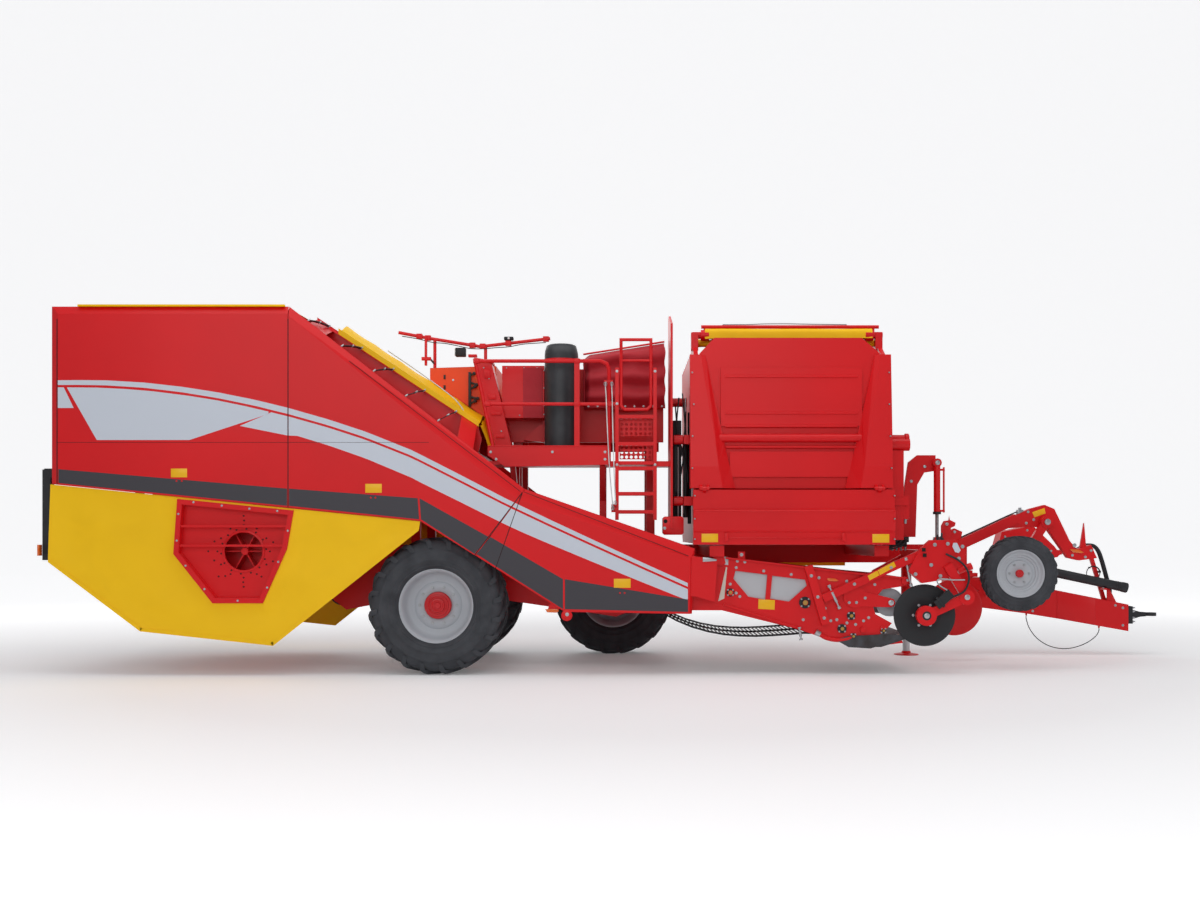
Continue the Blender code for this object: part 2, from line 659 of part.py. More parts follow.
def wheel(word, x, y_middle, width, side, hub_in):
    """Tyre, and rim with disc and hub. Side is the way the dish faces; hub_in is where the hub meets the axle."""
    hang = carrier("wheel_" + word + "_axis", (x, y_middle, WHEEL_R))
    tyre("tyre_" + word, (x, WHEEL_R), y_middle, width, WHEEL_R, RIM_SEAT_R, LUGS, LUG_H, hang)
    lip = 0.84 * width / 2
    disc = lip - 0.20
    profile = [
        (0.0, disc - 0.02),
        (SPINDLE_R + PIN_CLEARANCE, disc - 0.02),
        (SPINDLE_R + PIN_CLEARANCE, -(y_middle - hub_in) * side),
        (0.11, -(y_middle - hub_in) * side),
        (0.12, disc - 0.03),
        (0.33, disc - 0.03),
        (0.362, -lip + 0.03),
        (0.395, -lip),
        (FLANGE_R, -lip),
        (RIM_SEAT_R, -0.80 * width / 2 - SEAT),
        (RIM_SEAT_R, 0.80 * width / 2 + SEAT),
        (FLANGE_R, lip),
        (0.395, lip),
        (0.365, disc + 0.03),
        (0.34, disc),
        (HUB_R + 0.01, disc),
        (HUB_R, disc + 0.07),
        (0.06, disc + 0.10),
        (0.0, disc + 0.10),
    ]
    profile = [(r, y_middle + side * t) for r, t in profile]
    node("rim_" + word, "silver_rim", [lathe(profile, (x, WHEEL_R))], carrier=hang)


def front_knuckle():
    """The steered stub axle of the third wheel, between the ears of its bracket."""
    x, z = FRONT_WHEEL[0], WHEEL_R
    hang = carrier("front_steer_axis", (x, KINGPIN_Y, z))
    shapes = [box((x - 0.06, x + 0.06), (KINGPIN_Y - 0.055, KINGPIN_Y + 0.07),
        (z - 0.16 + SEAT, z + 0.155))]
    shapes.append(rod((x, z), SPINDLE_R, KINGPIN_Y + 0.06, FRONT_WHEEL[1] + 0.015))
    shapes.append(box((x - 0.35, x), (KINGPIN_Y - 0.03, KINGPIN_Y + 0.02), (z - 0.05, z - 0.01)))
    cuts = [rod((x, KINGPIN_Y), KINGPIN_R + PIN_CLEARANCE, z - 0.3, z + 0.3, "z")]
    node("front_knuckle", "red_paint", shapes, cuts, carrier=hang)


# Webs: endless chains of rods between belts


def spaced(points, pitch):
    """Places at an even pitch along a closed run of points, each with the direction there."""
    count = len(points)
    lengths = [hypot(points[(i + 1) % count][0] - p[0], points[(i + 1) % count][1] - p[1]) for i,
        p in enumerate(points)]
    total = sum(lengths)
    number = int(total / pitch)
    found = []
    i, walked = 0, 0.0
    for n in range(number):
        want = total * n / number
        while walked + lengths[i] < want:
            walked += lengths[i]
            i = (i + 1) % count
        a, b = points[i], points[(i + 1) % count]
        share = (want - walked) / max(lengths[i], 1e-9)
        found.append((a[0] + (b[0] - a[0]) * share, a[1] + (b[1] - a[1]) * share,
            atan2(b[1] - a[1], b[0] - a[0])))
    return found


def belt(points, y, width, thickness):
    """One endless belt: a closed band round the run of points."""
    count = len(points)
    rings = []
    for i, p in enumerate(points):
        before, after = points[i - 1], points[(i + 1) % count]
        along = Vector((after[0] - before[0], after[1] - before[1])).normalized()
        out = Vector((along.y, -along.x)) * thickness / 2
        ring = []
        for a, b in ((-1, -1), (1, -1), (1, 1), (-1, 1)):
            ring.append((p[0] + b * out.x, y + a * width / 2, p[1] + b * out.y))
        rings.append(ring)
    return loft(rings, closed=True)


def web(name, points, y, hang=None, pitch=None):
    """A rod web: a belt at each edge, and square rods at an even pitch between them."""
    belt_y = (y[0] + BELT_W / 2, y[1] - BELT_W / 2)
    shapes = [belt(points, place, BELT_W, BELT_T) for place in belt_y]
    half = WEB_ROD / 2
    for x, z, a in spaced(points, pitch or WEB_PITCH):
        c, s = cos(a) * half, sin(a) * half
        section = [(x - c + s, z - s - c), (x + c + s, z + s - c), (x + c - s, z + s + c),
            (x - c - s, z - s + c)]
        shapes.append(prism(section, *belt_y))
    node(name, "web_steel", shapes, carrier=hang, smooth=False)


BELT_W = 0.05
BELT_T = 0.022
WEB_ROD = 0.013
WEB_PITCH = 0.16
MAIN_PITCH = 0.26
MAIN_WEB_Y = (-0.55, 0.55)


REAR_DRUM = (-3.46, 0.88, 0.155)  # X, Z, radius
FRONT_DRUM = (-0.25, 0.72, 0.085)
IDLERS = ((-2.55, 0.824, 0.04), (-1.95, 0.824, 0.04))  # they lift the return run over the axle


def drum_arc(drum, start, end, steps=6):
    """A web's run round a drum, with its chords just clear of it."""
    x, z, r = drum
    reach = (r + SEAT + BELT_T / 2) / cos(radians((end - start) / steps / 2))
    return arc((x, z), reach, start, end, steps)


def main_web():
    """The cleaning web that takes the crop from the digging web up to the fan."""
    over = [(x, z + (r + SEAT + BELT_T / 2) / cos(radians(8))) for x, z, r in IDLERS]
    points = drum_arc(REAR_DRUM, 86, 280) + over + drum_arc(FRONT_DRUM, 261.5, 446)
    web("main_web", points, MAIN_WEB_Y, pitch=MAIN_PITCH)


CHEEK_IN = 0.575
CHEEK_OUT = 0.590
CHEEK_HANGERS = (-3.40, -1.80, -0.60)  # X of the plates that bolt the cheeks to the long beams


def main_web_trough():
    """Cheek plates along the main web with the roller shafts that carry it, hung under the frame."""
    shapes = []
    cheek = [(-3.64, 1.17), (-3.66, 0.85), (-3.42, 0.66), (-2.45, 0.84), (-2.05, 0.84), (-0.3, 0.58),
        (-0.08, 0.66), (-0.08, 1.19)]
    for side in (-1, 1):
        inner, outer = side * CHEEK_IN, side * (BEAM_Y - BEAM_W / 2 - SEAT)
        shapes.append(prism(cheek, *sorted((inner, side * CHEEK_OUT))))
        for x in CHEEK_HANGERS:
            shapes.append(box((x - 0.05, x + 0.05), sorted((inner, outer)), (1.05, BEAM_Z[0] + 0.12)))
    for x, z, r in (REAR_DRUM, FRONT_DRUM, *IDLERS):
        shapes.append(rod((x, z), r, -0.58, 0.58, sides=20))
    node("main_web_trough", "red_paint", shapes)


# Digging unit: side plates, web, shares, disc coulters, swung about DIG_PIVOT


CROSS_TUBE = (3.20, 1.27, 0.14, 0.16)  # X, Z, width, height
WEB_ROLLERS = (  # X, Z, radius: front, middle, upper, rear
    (2.40, 0.49, 0.063),
    (1.77, 0.785, 0.054),
    (0.954, 0.894, 0.085),
    (0.16, 0.84, 0.118),
)


def digging_unit():
    hang = carrier("digger_axis", (DIG_PIVOT[0], -1.5, DIG_PIVOT[1]))
    plate = [
        (0.86, 1.28), (2.36, 1.11), (2.90, 1.06), (2.95, 0.98), (2.62, 0.93), (2.50, 0.79),
        (2.54, 0.66), (2.72, 0.56), (2.62, 0.45), (2.25, 0.34), (2.05, 0.37), (1.705, 0.49), (0.86, 0.70),
        (0.14, 0.70), (0.03, 0.78), (0.03, 0.98), (0.60, 1.08), (0.80, 1.26),
    ]
    low_y, high_y = DIG_Y[0] - DIG_PLATE_GAP, DIG_Y[1] + DIG_PLATE_GAP
    shapes = [prism(plate, low_y - DIG_PLATE_T, low_y), prism(plate, high_y, high_y + DIG_PLATE_T)]
    # top and bottom flanges of the right plate, and the welded brace
    shapes.append(beam((0.90, low_y - 0.03, 1.275), (2.36, low_y - 0.03, 1.10), 0.05, 0.02))
    shapes.append(beam((2.36, low_y - 0.03, 1.10), (2.92, low_y - 0.03, 1.05), 0.05, 0.02))
    shapes.append(beam((0.88, low_y - 0.03, 0.765), (1.705, low_y - 0.03, 0.50), 0.05, 0.02))
    brace_y = low_y - DIG_PLATE_T - 0.03
    shapes.append(beam((1.80, brace_y, 1.19), (1.99, brace_y, 0.55), 0.07, 0.09))
    shapes.append(beam((1.96, brace_y, 0.83), (3.12, brace_y, 1.36), 0.07, 0.09))
    # rollers that carry the web, with their bearings, and two cross tubes
    for x, z, r in WEB_ROLLERS:
        shapes.append(rod((x, z), r, low_y - 0.01, high_y + 0.01, sides=16))
        shapes.append(rod((x, z), 0.03, low_y - DIG_PLATE_T - 0.04, high_y + DIG_PLATE_T + 0.01, sides=8))
    for x, z, r in ((2.62, 0.50, 0.03), (2.86, 1.02, 0.04)):
        shapes.append(rod((x, z), r, low_y - DIG_PLATE_T - 0.02, high_y + DIG_PLATE_T + 0.01, sides=8))
    # arms and spindle of the depth roller
    rx, rz, rr = DEPTH_ROLLER
    arm = arc((2.31, 0.85), 0.125, 25, 300, 8) + [(rx, rz - 0.05)] + arc((rx, rz), 0.05, -45, 45,
        2) + [(rx, rz + 0.05)]
    for face, side in ((low_y - DIG_PLATE_T, -1), (high_y + DIG_PLATE_T, 1)):
        shapes.append(prism(arm, *sorted((face - side * 0.005, face + side * 0.02))))
    shapes.append(rod((rx, rz), ROLLER_PIN_R, low_y - DIG_PLATE_T - 0.03, high_y + DIG_PLATE_T + 0.03,
        sides=12))
    # front portal: upright plate, cross tube and the lower ears
    portal = [(2.88, 1.13), (3.00, 1.36), (3.12, 1.47), (3.40, 1.47), (3.50, 1.36), (3.50, 1.20),
        (3.28, 1.04), (3.03, 1.00)]
    shapes.append(prism(portal, brace_y - 0.07, brace_y + 0.03))
    tube_x, tube_z, tube_w, tube_h = CROSS_TUBE
    shapes.append(beam((tube_x, brace_y, tube_z), (tube_x, 0.14, tube_z), tube_w, tube_h))
    shapes.append(beam((2.80, 0.065, 1.05), (3.20, 0.065, 1.27), 0.05, 0.10))
    windows = [
        [(1.008, 1.133), (1.357, 1.09), (1.335, 0.817), (1.15, 0.85), (0.986, 1.046)],
        [(1.411, 1.079), (1.77, 1.035), (1.79, 0.97), (1.596, 0.796), (1.389, 0.828)],
    ]
    cuts = [prism(w, low_y - 0.2, low_y + 0.02) for w in windows]
    cuts.append(rod(DIG_PIVOT, DIG_PIN_R + PIN_CLEARANCE, low_y - 0.2, high_y + 0.2))
    shapes += disc_arm(DISC_RIGHT, -1, (3.30, 1.20))
    shapes += disc_arm(DISC_LEFT, 1, (3.22, 1.24))
    node("digging_frame", "red_paint", shapes, cuts, carrier=hang)
    return hang


def digging_web(hang):
    """The digging web: it rises to the rear, and its slack return run hangs in a shallow arc."""
    gap = BELT_T / 2 + SEAT
    (mx, mz, mr), (px, pz, pr) = WEB_ROLLERS[1:3]
    top = [(mx + 0.02, mz + mr + gap), (mx - 0.02, mz + mr + gap + 0.003)]
    top += [(px + 0.03, pz + pr + gap), (px - 0.03, pz + pr + gap)]
    rear = drum_arc(WEB_ROLLERS[3], 95, 255)
    sag = [(0.45, 0.54), (0.80, 0.44), (1.15, 0.41), (1.50, 0.425), (1.85, 0.455), (2.20, 0.42)]
    front = drum_arc(WEB_ROLLERS[0], 262, 475)
    points = (top + rear + sag + front)[::-1]
    web("digging_web", points, DIG_Y, hang)


DEPTH_ROLLER = (2.706, 0.785, 0.155)  # X, Z, radius at its rims
ROLLER_PIN_R = 0.022
ROLLER_WAIST_R = 0.075


def depth_roller():
    """The grey roller of two hourglass drums that rides on the ridges."""
    x, z, r = DEPTH_ROLLER
    low, high = DIG_Y[0] + 0.005, DIG_Y[1] - 0.005
    hang = carrier("depth_roller_axis", (x, (low + high) / 2, z))
    row = (high - low) / 2
    bore = ROLLER_PIN_R + PIN_CLEARANCE
    profile = [(bore, low), (r, low), (r, low + 0.05), (ROLLER_WAIST_R, low + row * 0.5),
        (r, low + row - 0.04)]
    profile += [(r, low + row + 0.04), (ROLLER_WAIST_R, low + row * 1.5), (r, high - 0.05), (r, high),
        (bore, high)]
    node("depth_roller", "silver_rim", [lathe(profile, (x, z), sides=20)], carrier=hang)


def shares(hang):
    """Blade shares on their carrier plates, and the skid below."""
    low_y, high_y = DIG_Y[0] - DIG_PLATE_GAP, DIG_Y[1] + DIG_PLATE_GAP
    y = low_y - DIG_PLATE_T - SEAT
    skid = [(2.10, 0.38), (2.24, 0.30), (2.48, 0.285), (2.86, 0.40), (2.88, 0.43), (2.64, 0.44),
        (2.24, 0.42)]
    shapes = [prism(skid, y - 0.03, y)]
    y2 = high_y + DIG_PLATE_T + SEAT
    shapes.append(prism(skid, y2, y2 + 0.03))
    blade = [(2.54, 0.30), (2.60, 0.30), (2.92, 0.405), (2.95, 0.425), (2.60, 0.345)]
    shapes.append(prism(blade, y - 0.02, y2 + 0.02))
    node("shares", "bare_steel", shapes, carrier=hang)


DISC_R = 0.338
DISC_RIGHT = (3.066, -1.50, 0.65)
DISC_LEFT = (3.765, 0.06, 0.652)
DISC_PIN_R = 0.03


def disc_arm(disc, side, root):
    """The cranked arm that carries a disc coulter on the outside of its disc."""
    x, y, z = disc
    arm_y = y + side * 0.075
    elbow = (x + 0.44, arm_y, z + 0.20)
    shapes = [beam((root[0], arm_y, root[1]), elbow, 0.06, 0.10), beam(elbow, (x, arm_y, z), 0.06, 0.10)]
    shapes.append(rod((elbow[0], elbow[2]), 0.085, arm_y - 0.035, arm_y + 0.035, sides=16))
    shapes.append(rod((x, z), 0.11, *sorted((arm_y - side * 0.03, arm_y + side * 0.05)), sides=16))
    shapes.append(rod((x, z), DISC_PIN_R, *sorted((arm_y, y - side * 0.02)), sides=16))
    return shapes


def disc_coulter(name, disc, side, finish):
    x, y, z = disc
    hang = carrier(name + "_axis", disc)
    t = 0.010
    face = side * 0.045 - side * SEAT
    profile = [
        (DISC_PIN_R + PIN_CLEARANCE, face),
        (0.07, face),
        (0.07, side * t),
        (DISC_R - 0.03, side * t),
        (DISC_R, 0.0),
        (DISC_R - 0.03, -side * t),
        (DISC_PIN_R + PIN_CLEARANCE, -side * t),
    ]
    profile = [(r, y + t) for r, t in profile]
    node(name, finish, [lathe(profile, (x, z), sides=32)], carrier=hang)


# Boom over the drawbar with the support wheel

BOOM_Y = -0.62
SUPPORT_WHEEL = (4.251, -0.95, 1.089)
SUPPORT_R = 0.425
SUPPORT_W = 0.21
SUPPORT_PIVOT = (4.633, 1.674)


def boom(hang):
    """A box arm up from the digging unit and a cranked plate down to the front."""
    root = CROSS_TUBE[0] + CROSS_TUBE[2] / 2 + SEAT
    shapes = [beam((3.42, BOOM_Y, 1.30), (4.31, BOOM_Y, 1.71), 0.12, 0.115)]
    crank = [(4.22, 1.60), (4.30, 1.75), (4.46, 1.824), (4.633, 1.87), (4.743, 1.824), (4.922, 1.454),
        (5.003, 1.36)]
    crank += [(5.165, 1.41), (5.234, 1.258), (5.03, 1.23), (4.90, 1.26), (4.66, 1.60), (4.50, 1.62)]
    shapes.append(prism(crank, BOOM_Y - 0.05, BOOM_Y + 0.05))
    shapes.append(prism([(5.05, 1.38), (5.096, 1.662), (5.12, 1.38)], BOOM_Y - 0.02, BOOM_Y + 0.02))
    shapes.append(rod(SUPPORT_PIVOT, 0.035, BOOM_Y - 0.16, BOOM_Y, sides=16))
    shapes.append(box((root, root + 0.16), (-1.30, BOOM_Y + 0.06), (1.21, 1.39)))
    # bolted ear block on the boom's root
    ear = [(3.50, 1.34), (3.50, 1.56), (3.60, 1.60), (3.69, 1.56), (3.66, 1.42)]
    shapes.append(prism(ear, BOOM_Y - 0.03, BOOM_Y + 0.03))
    # ears for the lift cylinder's rod
    for y in (LIFT_Y - 0.055, LIFT_Y + 0.04):
        ear = [(LIFT_EYE[0] - 0.06, 1.38), (LIFT_EYE[0] + 0.05, 1.38), (LIFT_EYE[0] + 0.03, 1.50),
            (LIFT_EYE[0] - 0.03, 1.50)]
        shapes.append(prism(ear, y, y + 0.015))
    shapes.append(rod(LIFT_EYE, EYE_PIN_R, LIFT_Y - 0.05, LIFT_Y + 0.05, sides=16))
    node("boom", "red_paint", shapes, carrier=hang)


def support_wheel():
    pivot = (SUPPORT_PIVOT[0], BOOM_Y - 0.12, SUPPORT_PIVOT[1])
    hang = carrier("support_arm_axis", pivot)
    x, y, z = SUPPORT_WHEEL
    arm_y = BOOM_Y - 0.10
    shapes = [beam((SUPPORT_PIVOT[0], arm_y, SUPPORT_PIVOT[1]), (x, arm_y, z), 0.07, 0.09)]
    shapes.append(rod(SUPPORT_PIVOT, 0.07, arm_y - 0.045, arm_y + 0.045, sides=16))
    shapes.append(rod((x, z), 0.06, arm_y - 0.05, arm_y + 0.035, sides=16))
    shapes.append(rod((x, z), 0.025, y - 0.03, arm_y, sides=16))
    cuts = [rod(SUPPORT_PIVOT, 0.035 + PIN_CLEARANCE, arm_y - 0.2, arm_y + 0.2, sides=16)]
    node("support_arm", "red_paint", shapes, cuts, carrier=hang)
    spin = carrier("support_wheel_axis", SUPPORT_WHEEL)
    tyre("tyre_support", (x, z), y, SUPPORT_W, SUPPORT_R, 0.255, 12, 0.025, spin)
    hub_face = arm_y - 0.05 - SEAT - y
    profile = [
        (0.0, -0.035), (0.025 + PIN_CLEARANCE, -0.035), (0.025 + PIN_CLEARANCE, hub_face), (0.05, hub_face),
        (0.055, 0.0), (0.235, -0.01), (0.238, 0.085), (0.272, 0.0895), (0.2545, 0.0850),
        (0.2545, -0.0850), (0.272, -0.0895), (0.24, -0.086), (0.22, -0.04), (0.06, -0.03), (0.05,
            -0.08), (0.0, -0.09),
    ]
    profile = [(r, y + t) for r, t in profile]
    node("rim_support", "silver_rim", [lathe(profile, (x, z), sides=24)], carrier=spin)


# Drawbar, hitch eye, drive shaft

DRAWBAR_W = 0.20


EYE_R = 0.072
EYE_X = FRONT_X - EYE_R
HOSE_Y = (1.03, 1.085)  # the two hose bundles, side by side
HOSE_D = 0.04
SADDLE_R = 0.035
HOSE_START = (5.36, 1.30)  # X and Z of the clamp's face
HOSE_HEAD = (5.72, 1.37)  # X and Z of the saddle that the hoses lie on
HOSE_END = (5.985, 0.72)  # X and Z of the coupler block's top
CABLE_Y = 0.94
CABLE_START = (4.89, 0.505)  # X and Z of the rear gland's foot
CABLE_END = (5.81, 0.345)
SHAFT_START = Vector((4.80, PIVOT[1], 1.143))
SHAFT_RUN = Vector((1.252, -0.09, -0.27)).normalized()
STUB = 0.13
SHAFT_L = 1.39
SHAFT_R = 0.058


def drawbar():
    hang = carrier("drawbar_axis", (PIVOT[0], PIVOT[1], 0.8))
    side = [(4.30, 0.985), (4.866, 0.90), (5.30, 0.815), (6.17, 0.642), (6.17, 0.305), (5.30, 0.46),
        (4.866, 0.53), (4.30, 0.605)]
    w = DRAWBAR_W / 2
    body = prism(side, PIVOT[1] - w, PIVOT[1] + w)
    lug = prism([(PIVOT[0], EAR_LOW[1] + SEAT), (4.34, EAR_LOW[1] + 0.01), (4.34, EAR_HIGH[0] - 0.006),
        (PIVOT[0], EAR_HIGH[0] - 0.006)], PIVOT[1] - 0.075, PIVOT[1] + 0.075)
    sleeve = rod(PIVOT, 0.075, EAR_LOW[1] + SEAT, EAR_HIGH[0] - 0.006, "z")
    cuts = [rod(PIVOT, PIVOT_R + PIN_CLEARANCE, 0.4, 1.2, "z")]
    # gearbox stand with the shaft's stub, and the hose post near the front
    cover = [(4.50, 0.90), (4.86, 0.86), (4.92, 1.20), (5.26, 1.24), (5.30, 1.28), (5.22, 1.38),
        (4.95, 1.64)]
    cover += [(4.56, 1.56), (4.46, 1.20)]
    stand = prism(cover, PIVOT[1] - 0.14, PIVOT[1] + 0.14)
    post_y = sum(HOSE_Y) / 2
    post = beam((5.93, post_y, 0.64), (HOSE_HEAD[0], post_y, HOSE_HEAD[1] - SADDLE_R), 0.04, 0.05)
    head = rod((HOSE_HEAD[0], HOSE_HEAD[1] - SADDLE_R), SADDLE_R, HOSE_Y[0] - 0.05, HOSE_Y[1] + 0.05,
        sides=12)
    clamp = box((5.20, HOSE_START[0]), (HOSE_Y[0] - 0.03, HOSE_Y[1] + 0.03),
        (HOSE_START[1] - 0.03, HOSE_START[1] + 0.03))
    holder = box((HOSE_END[0] - 0.04, HOSE_END[0] + 0.04), (HOSE_Y[0] - 0.03, HOSE_Y[1] + 0.015),
        (0.62, HOSE_END[1]))
    glands = [rod((x, CABLE_Y), 0.012, z, z + 0.05, "z", 8) for x, z in (CABLE_START, CABLE_END)]
    stub = tube([SHAFT_START, SHAFT_START + SHAFT_RUN * STUB], 0.035, 12)
    under = SHAFT_START + SHAFT_RUN * ((5.87 - SHAFT_START.x) / SHAFT_RUN.x)
    hook = box((5.855, 5.885), (under.y - 0.06, PIVOT[1] + 0.06),
        (under.z - 0.085, under.z - SHAFT_R * 1.03 - 0.0025))
    shapes = [body, lug, sleeve, stand, post, head, clamp, holder, stub, hook] + glands
    node("drawbar", "red_paint", shapes, cuts, carrier=hang)
    # hitch: bolted flange, neck and eye
    flange = box((6.17 + SEAT, 6.225), (PIVOT[1] - 0.10, PIVOT[1] + 0.10), (0.40, 0.62))
    neck = loft(
        [
            [(x, PIVOT[1] + a * h, 0.515 + b * v) for a, b in ((-1, -1), (1, -1), (1, 1), (-1, 1))]
            for x, h, v in ((6.22, 0.06, 0.065), (6.34, 0.035, 0.032), (6.42, 0.035, 0.025))
        ]
    )
    eye = rod((EYE_X, PIVOT[1]), EYE_R, 0.494, 0.536, "z")
    hole = rod((EYE_X, PIVOT[1]), 0.027, 0.4, 0.6, "z")
    node("hitch_eye", "cast_black", [flange, neck, eye], [hole], carrier=hang)
    # drive shaft in its guard, laid on the post's hook
    guard = tube([SHAFT_START + SHAFT_RUN * (STUB + SEAT), SHAFT_START + SHAFT_RUN * SHAFT_L], SHAFT_R, 16)
    node("drive_shaft", "black_plastic", [guard], carrier=hang)
    return hang


def smooth_route(points, count):
    """Evenly spaced places on one smooth curve through the points."""
    points = [Vector(p) for p in points]
    ends = [2 * points[0] - points[1]] + points + [2 * points[-1] - points[-2]]
    fine = []
    for i in range(len(points) - 1):
        a, b, c, d = ends[i : i + 4]
        for j in range(20):
            t = j / 20
            fine.append(
                0.5 * (2 * b + (c - a) * t + (2 * a - 5 * b + 4 * c - d) * t * t + (3 * b - 3 * c + d - a) * t**3)
            )
    fine.append(points[-1])
    walked = [0.0]
    for a, b in zip(fine, fine[1:]):
        walked.append(walked[-1] + (b - a).length)
    places, i = [], 0
    for n in range(count):
        want = walked[-1] * n / (count - 1)
        while i < len(fine) - 2 and walked[i + 1] < want:
            i += 1
        share = (want - walked[i]) / (walked[i + 1] - walked[i])
        places.append(fine[i].lerp(fine[i + 1], min(share, 1.0)))
    return places


def cord(name, finish, points, diameter, count, hang=None):
    """A hanging cord: a round curve with closed ends."""
    curve = bpy.data.curves.new(name, "CURVE")
    curve.dimensions = "3D"
    curve.bevel_depth = diameter / 2
    curve.bevel_resolution = 2
    curve.use_fill_caps = True
    spline = curve.splines.new("POLY")
    places = smooth_route(points, count)
    spline.points.add(count - 1)
    middle = hang.location if hang else Vector()
    for point, place in zip(spline.points, places):
        point.co = (*(place - middle), 1.0)
    made = bpy.data.objects.new(name, curve)
    bpy.context.scene.collection.objects.link(made)
    curve.materials.append(finish_of(finish))
    made.parent = hang


HOSE_ROUTE = (  # X and Z between the clamp and the coupler block
    (5.42, 1.30), (5.50, 1.308), (5.58, 1.34), (5.65, 1.378), (5.72, 1.395), (5.79, 1.377), (5.845, 1.31),
    (5.885, 1.20), (5.925, 1.06), (5.96, 0.93), (5.985, 0.83), (5.985, 0.78),
)
CABLE_ROUTE = (  # X and Z of the loop below the drawbar
    (4.89, 0.46), (4.93, 0.34), (5.02, 0.22), (5.15, 0.13), (5.29, 0.088), (5.43, 0.085), (5.56, 0.115),
    (5.68, 0.17), (5.775, 0.245), (5.81, 0.31),
)


def drawbar_cords(hang):
    """Two hose bundles from the gearbox cover to the coupler block, and the cable loop below."""
    for name, y in zip(("hose_near", "hose_far"), HOSE_Y):
        ends = (HOSE_START[0] + SEAT, HOSE_START[1]), (HOSE_END[0], HOSE_END[1] + SEAT)
        route = [(x, y, z) for x, z in (ends[0], *HOSE_ROUTE, ends[1])]
        cord(name, "hose_rubber", route, HOSE_D, 16, hang)
    route = [(CABLE_START[0], CABLE_START[1] - SEAT), *CABLE_ROUTE, (CABLE_END[0], CABLE_END[1] - SEAT)]
    cord("drawbar_cable", "hose_rubber", [(x, CABLE_Y, z) for x, z in route], CABLE_D, 30, hang)


CABLE_D = 0.011


def jack():
    hang = carrier("jack_axis", (JACK[0], JACK[1], 0.0))
    shapes = [rod(JACK, JACK_LEG_R, 0.02, 1.30, "z"),
        lathe([(0, 0.0), (0.15, 0.0), (0.155, 0.012), (0.06, 0.03), (0, 0.03)], JACK, "z")]
    node("jack_leg", "bare_steel", shapes, carrier=hang)


# Bunker

BUNKER_X = (0.56, 2.68)
BUNKER_LEFT = 1.60
BUNKER_T = 0.05
BUNKER_FLOOR_Z = 1.42
BUNKER_TOP_Z = 3.62
BAR_Y = -1.0
CHUTE_HINGE = (-1.615, 2.03)  # Y and Z of the fold line
CHUTE_PIN_R = 0.012
CHUTE_EARS = (0.66, 2.56)
EAR_W = 0.04
APRON = [(-1.46, 2.015), (-1.58, 2.015), (-1.58, 1.80), (-1.635, 1.785), (-1.60, 1.56), (-1.60, 1.42),
    (-1.46, 1.42)]


def bunker():
    x0, x1 = BUNKER_X
    t = BUNKER_T
    wall = [(-1.33, 1.50), (-1.33, BUNKER_TOP_Z - 0.12), (-1.1, BUNKER_TOP_Z),
        (BUNKER_LEFT, BUNKER_TOP_Z), (BUNKER_LEFT, 1.60), (1.40, BUNKER_FLOOR_Z + 0.01),
        (-1.33, BUNKER_FLOOR_Z + 0.01)]
    shapes = [prism(wall, x0, x0 + t, "x"), prism(wall, x1 - t, x1, "x")]
    shapes.append(box((x0 + 0.01, x1 - 0.01), (BUNKER_LEFT - t, BUNKER_LEFT - 0.005),
        (1.55, BUNKER_TOP_Z - 0.01)))
    shapes.append(box((x0 + 0.01, x1 - 0.01), (-1.50, BUNKER_LEFT - 0.02), (1.55, 1.60)))
    shapes.append(prism(APRON, x0 - 0.02, x1 + 0.05, "x"))
    # ears and pins on which the right wall folds
    y, z = CHUTE_HINGE
    ear = [(y + 0.06, z - 0.06), (y - 0.01, z - 0.025), (y - 0.025, z), (y - 0.01, z + 0.02),
        (y + 0.015, z + 0.015)]
    ear.append((y + 0.06, z - 0.018))
    for x in CHUTE_EARS:
        shapes.append(prism(ear, x - EAR_W / 2, x + EAR_W / 2, "x"))
        shapes.append(rod(CHUTE_HINGE, CHUTE_PIN_R, x - 0.06, x + 0.06, "x", 12))
    # corner column at the front with its two beam ends, and the beam ends at the rear
    shapes.append(box((x1 - 0.02, x1 + 0.20), (-1.31, -1.21), (1.47, 2.46)))
    shapes.append(rod((-1.26, 2.526), 0.07, x1 - 0.02, x1 + 0.27, "x", 12))
    shapes.append(box((x1 + 0.10, x1 + 0.24), (-1.33, -1.19), (1.85, 1.94)))
    for z in (1.90, 2.58):
        shapes.append(box((x0 - 0.11, x0 + 0.02), (-1.31, -1.21), (z - 0.05, z + 0.05)))
    # cross tube with its ram over the top
    y = BAR_Y
    shapes += [rod((y, 3.772), 0.04, 0.56, 2.70, "x", 12), rod((y, 3.772), 0.055, 1.3, 1.9, "x", 12)]
    for x in (0.585, 2.655):
        shapes.append(box((x - 0.04, x + 0.04), (y - 0.05, y + 0.05), (BUNKER_TOP_Z - 0.02, 3.80)))
    node("bunker", "red_paint", shapes)
    # moving floor: belt with cleats
    belt_shapes = [box((x0 + t + 0.02, x1 - t - 0.02), (-1.40, 1.50), (1.60 + SEAT, 1.63))]
    for i in range(14):
        y = -1.30 + i * 0.205
        belt_shapes.append(box((x0 + t + 0.06, x1 - t - 0.06), (y, y + 0.03), (1.62, 1.66)))
    node("bunker_floor", "black_plastic", belt_shapes)


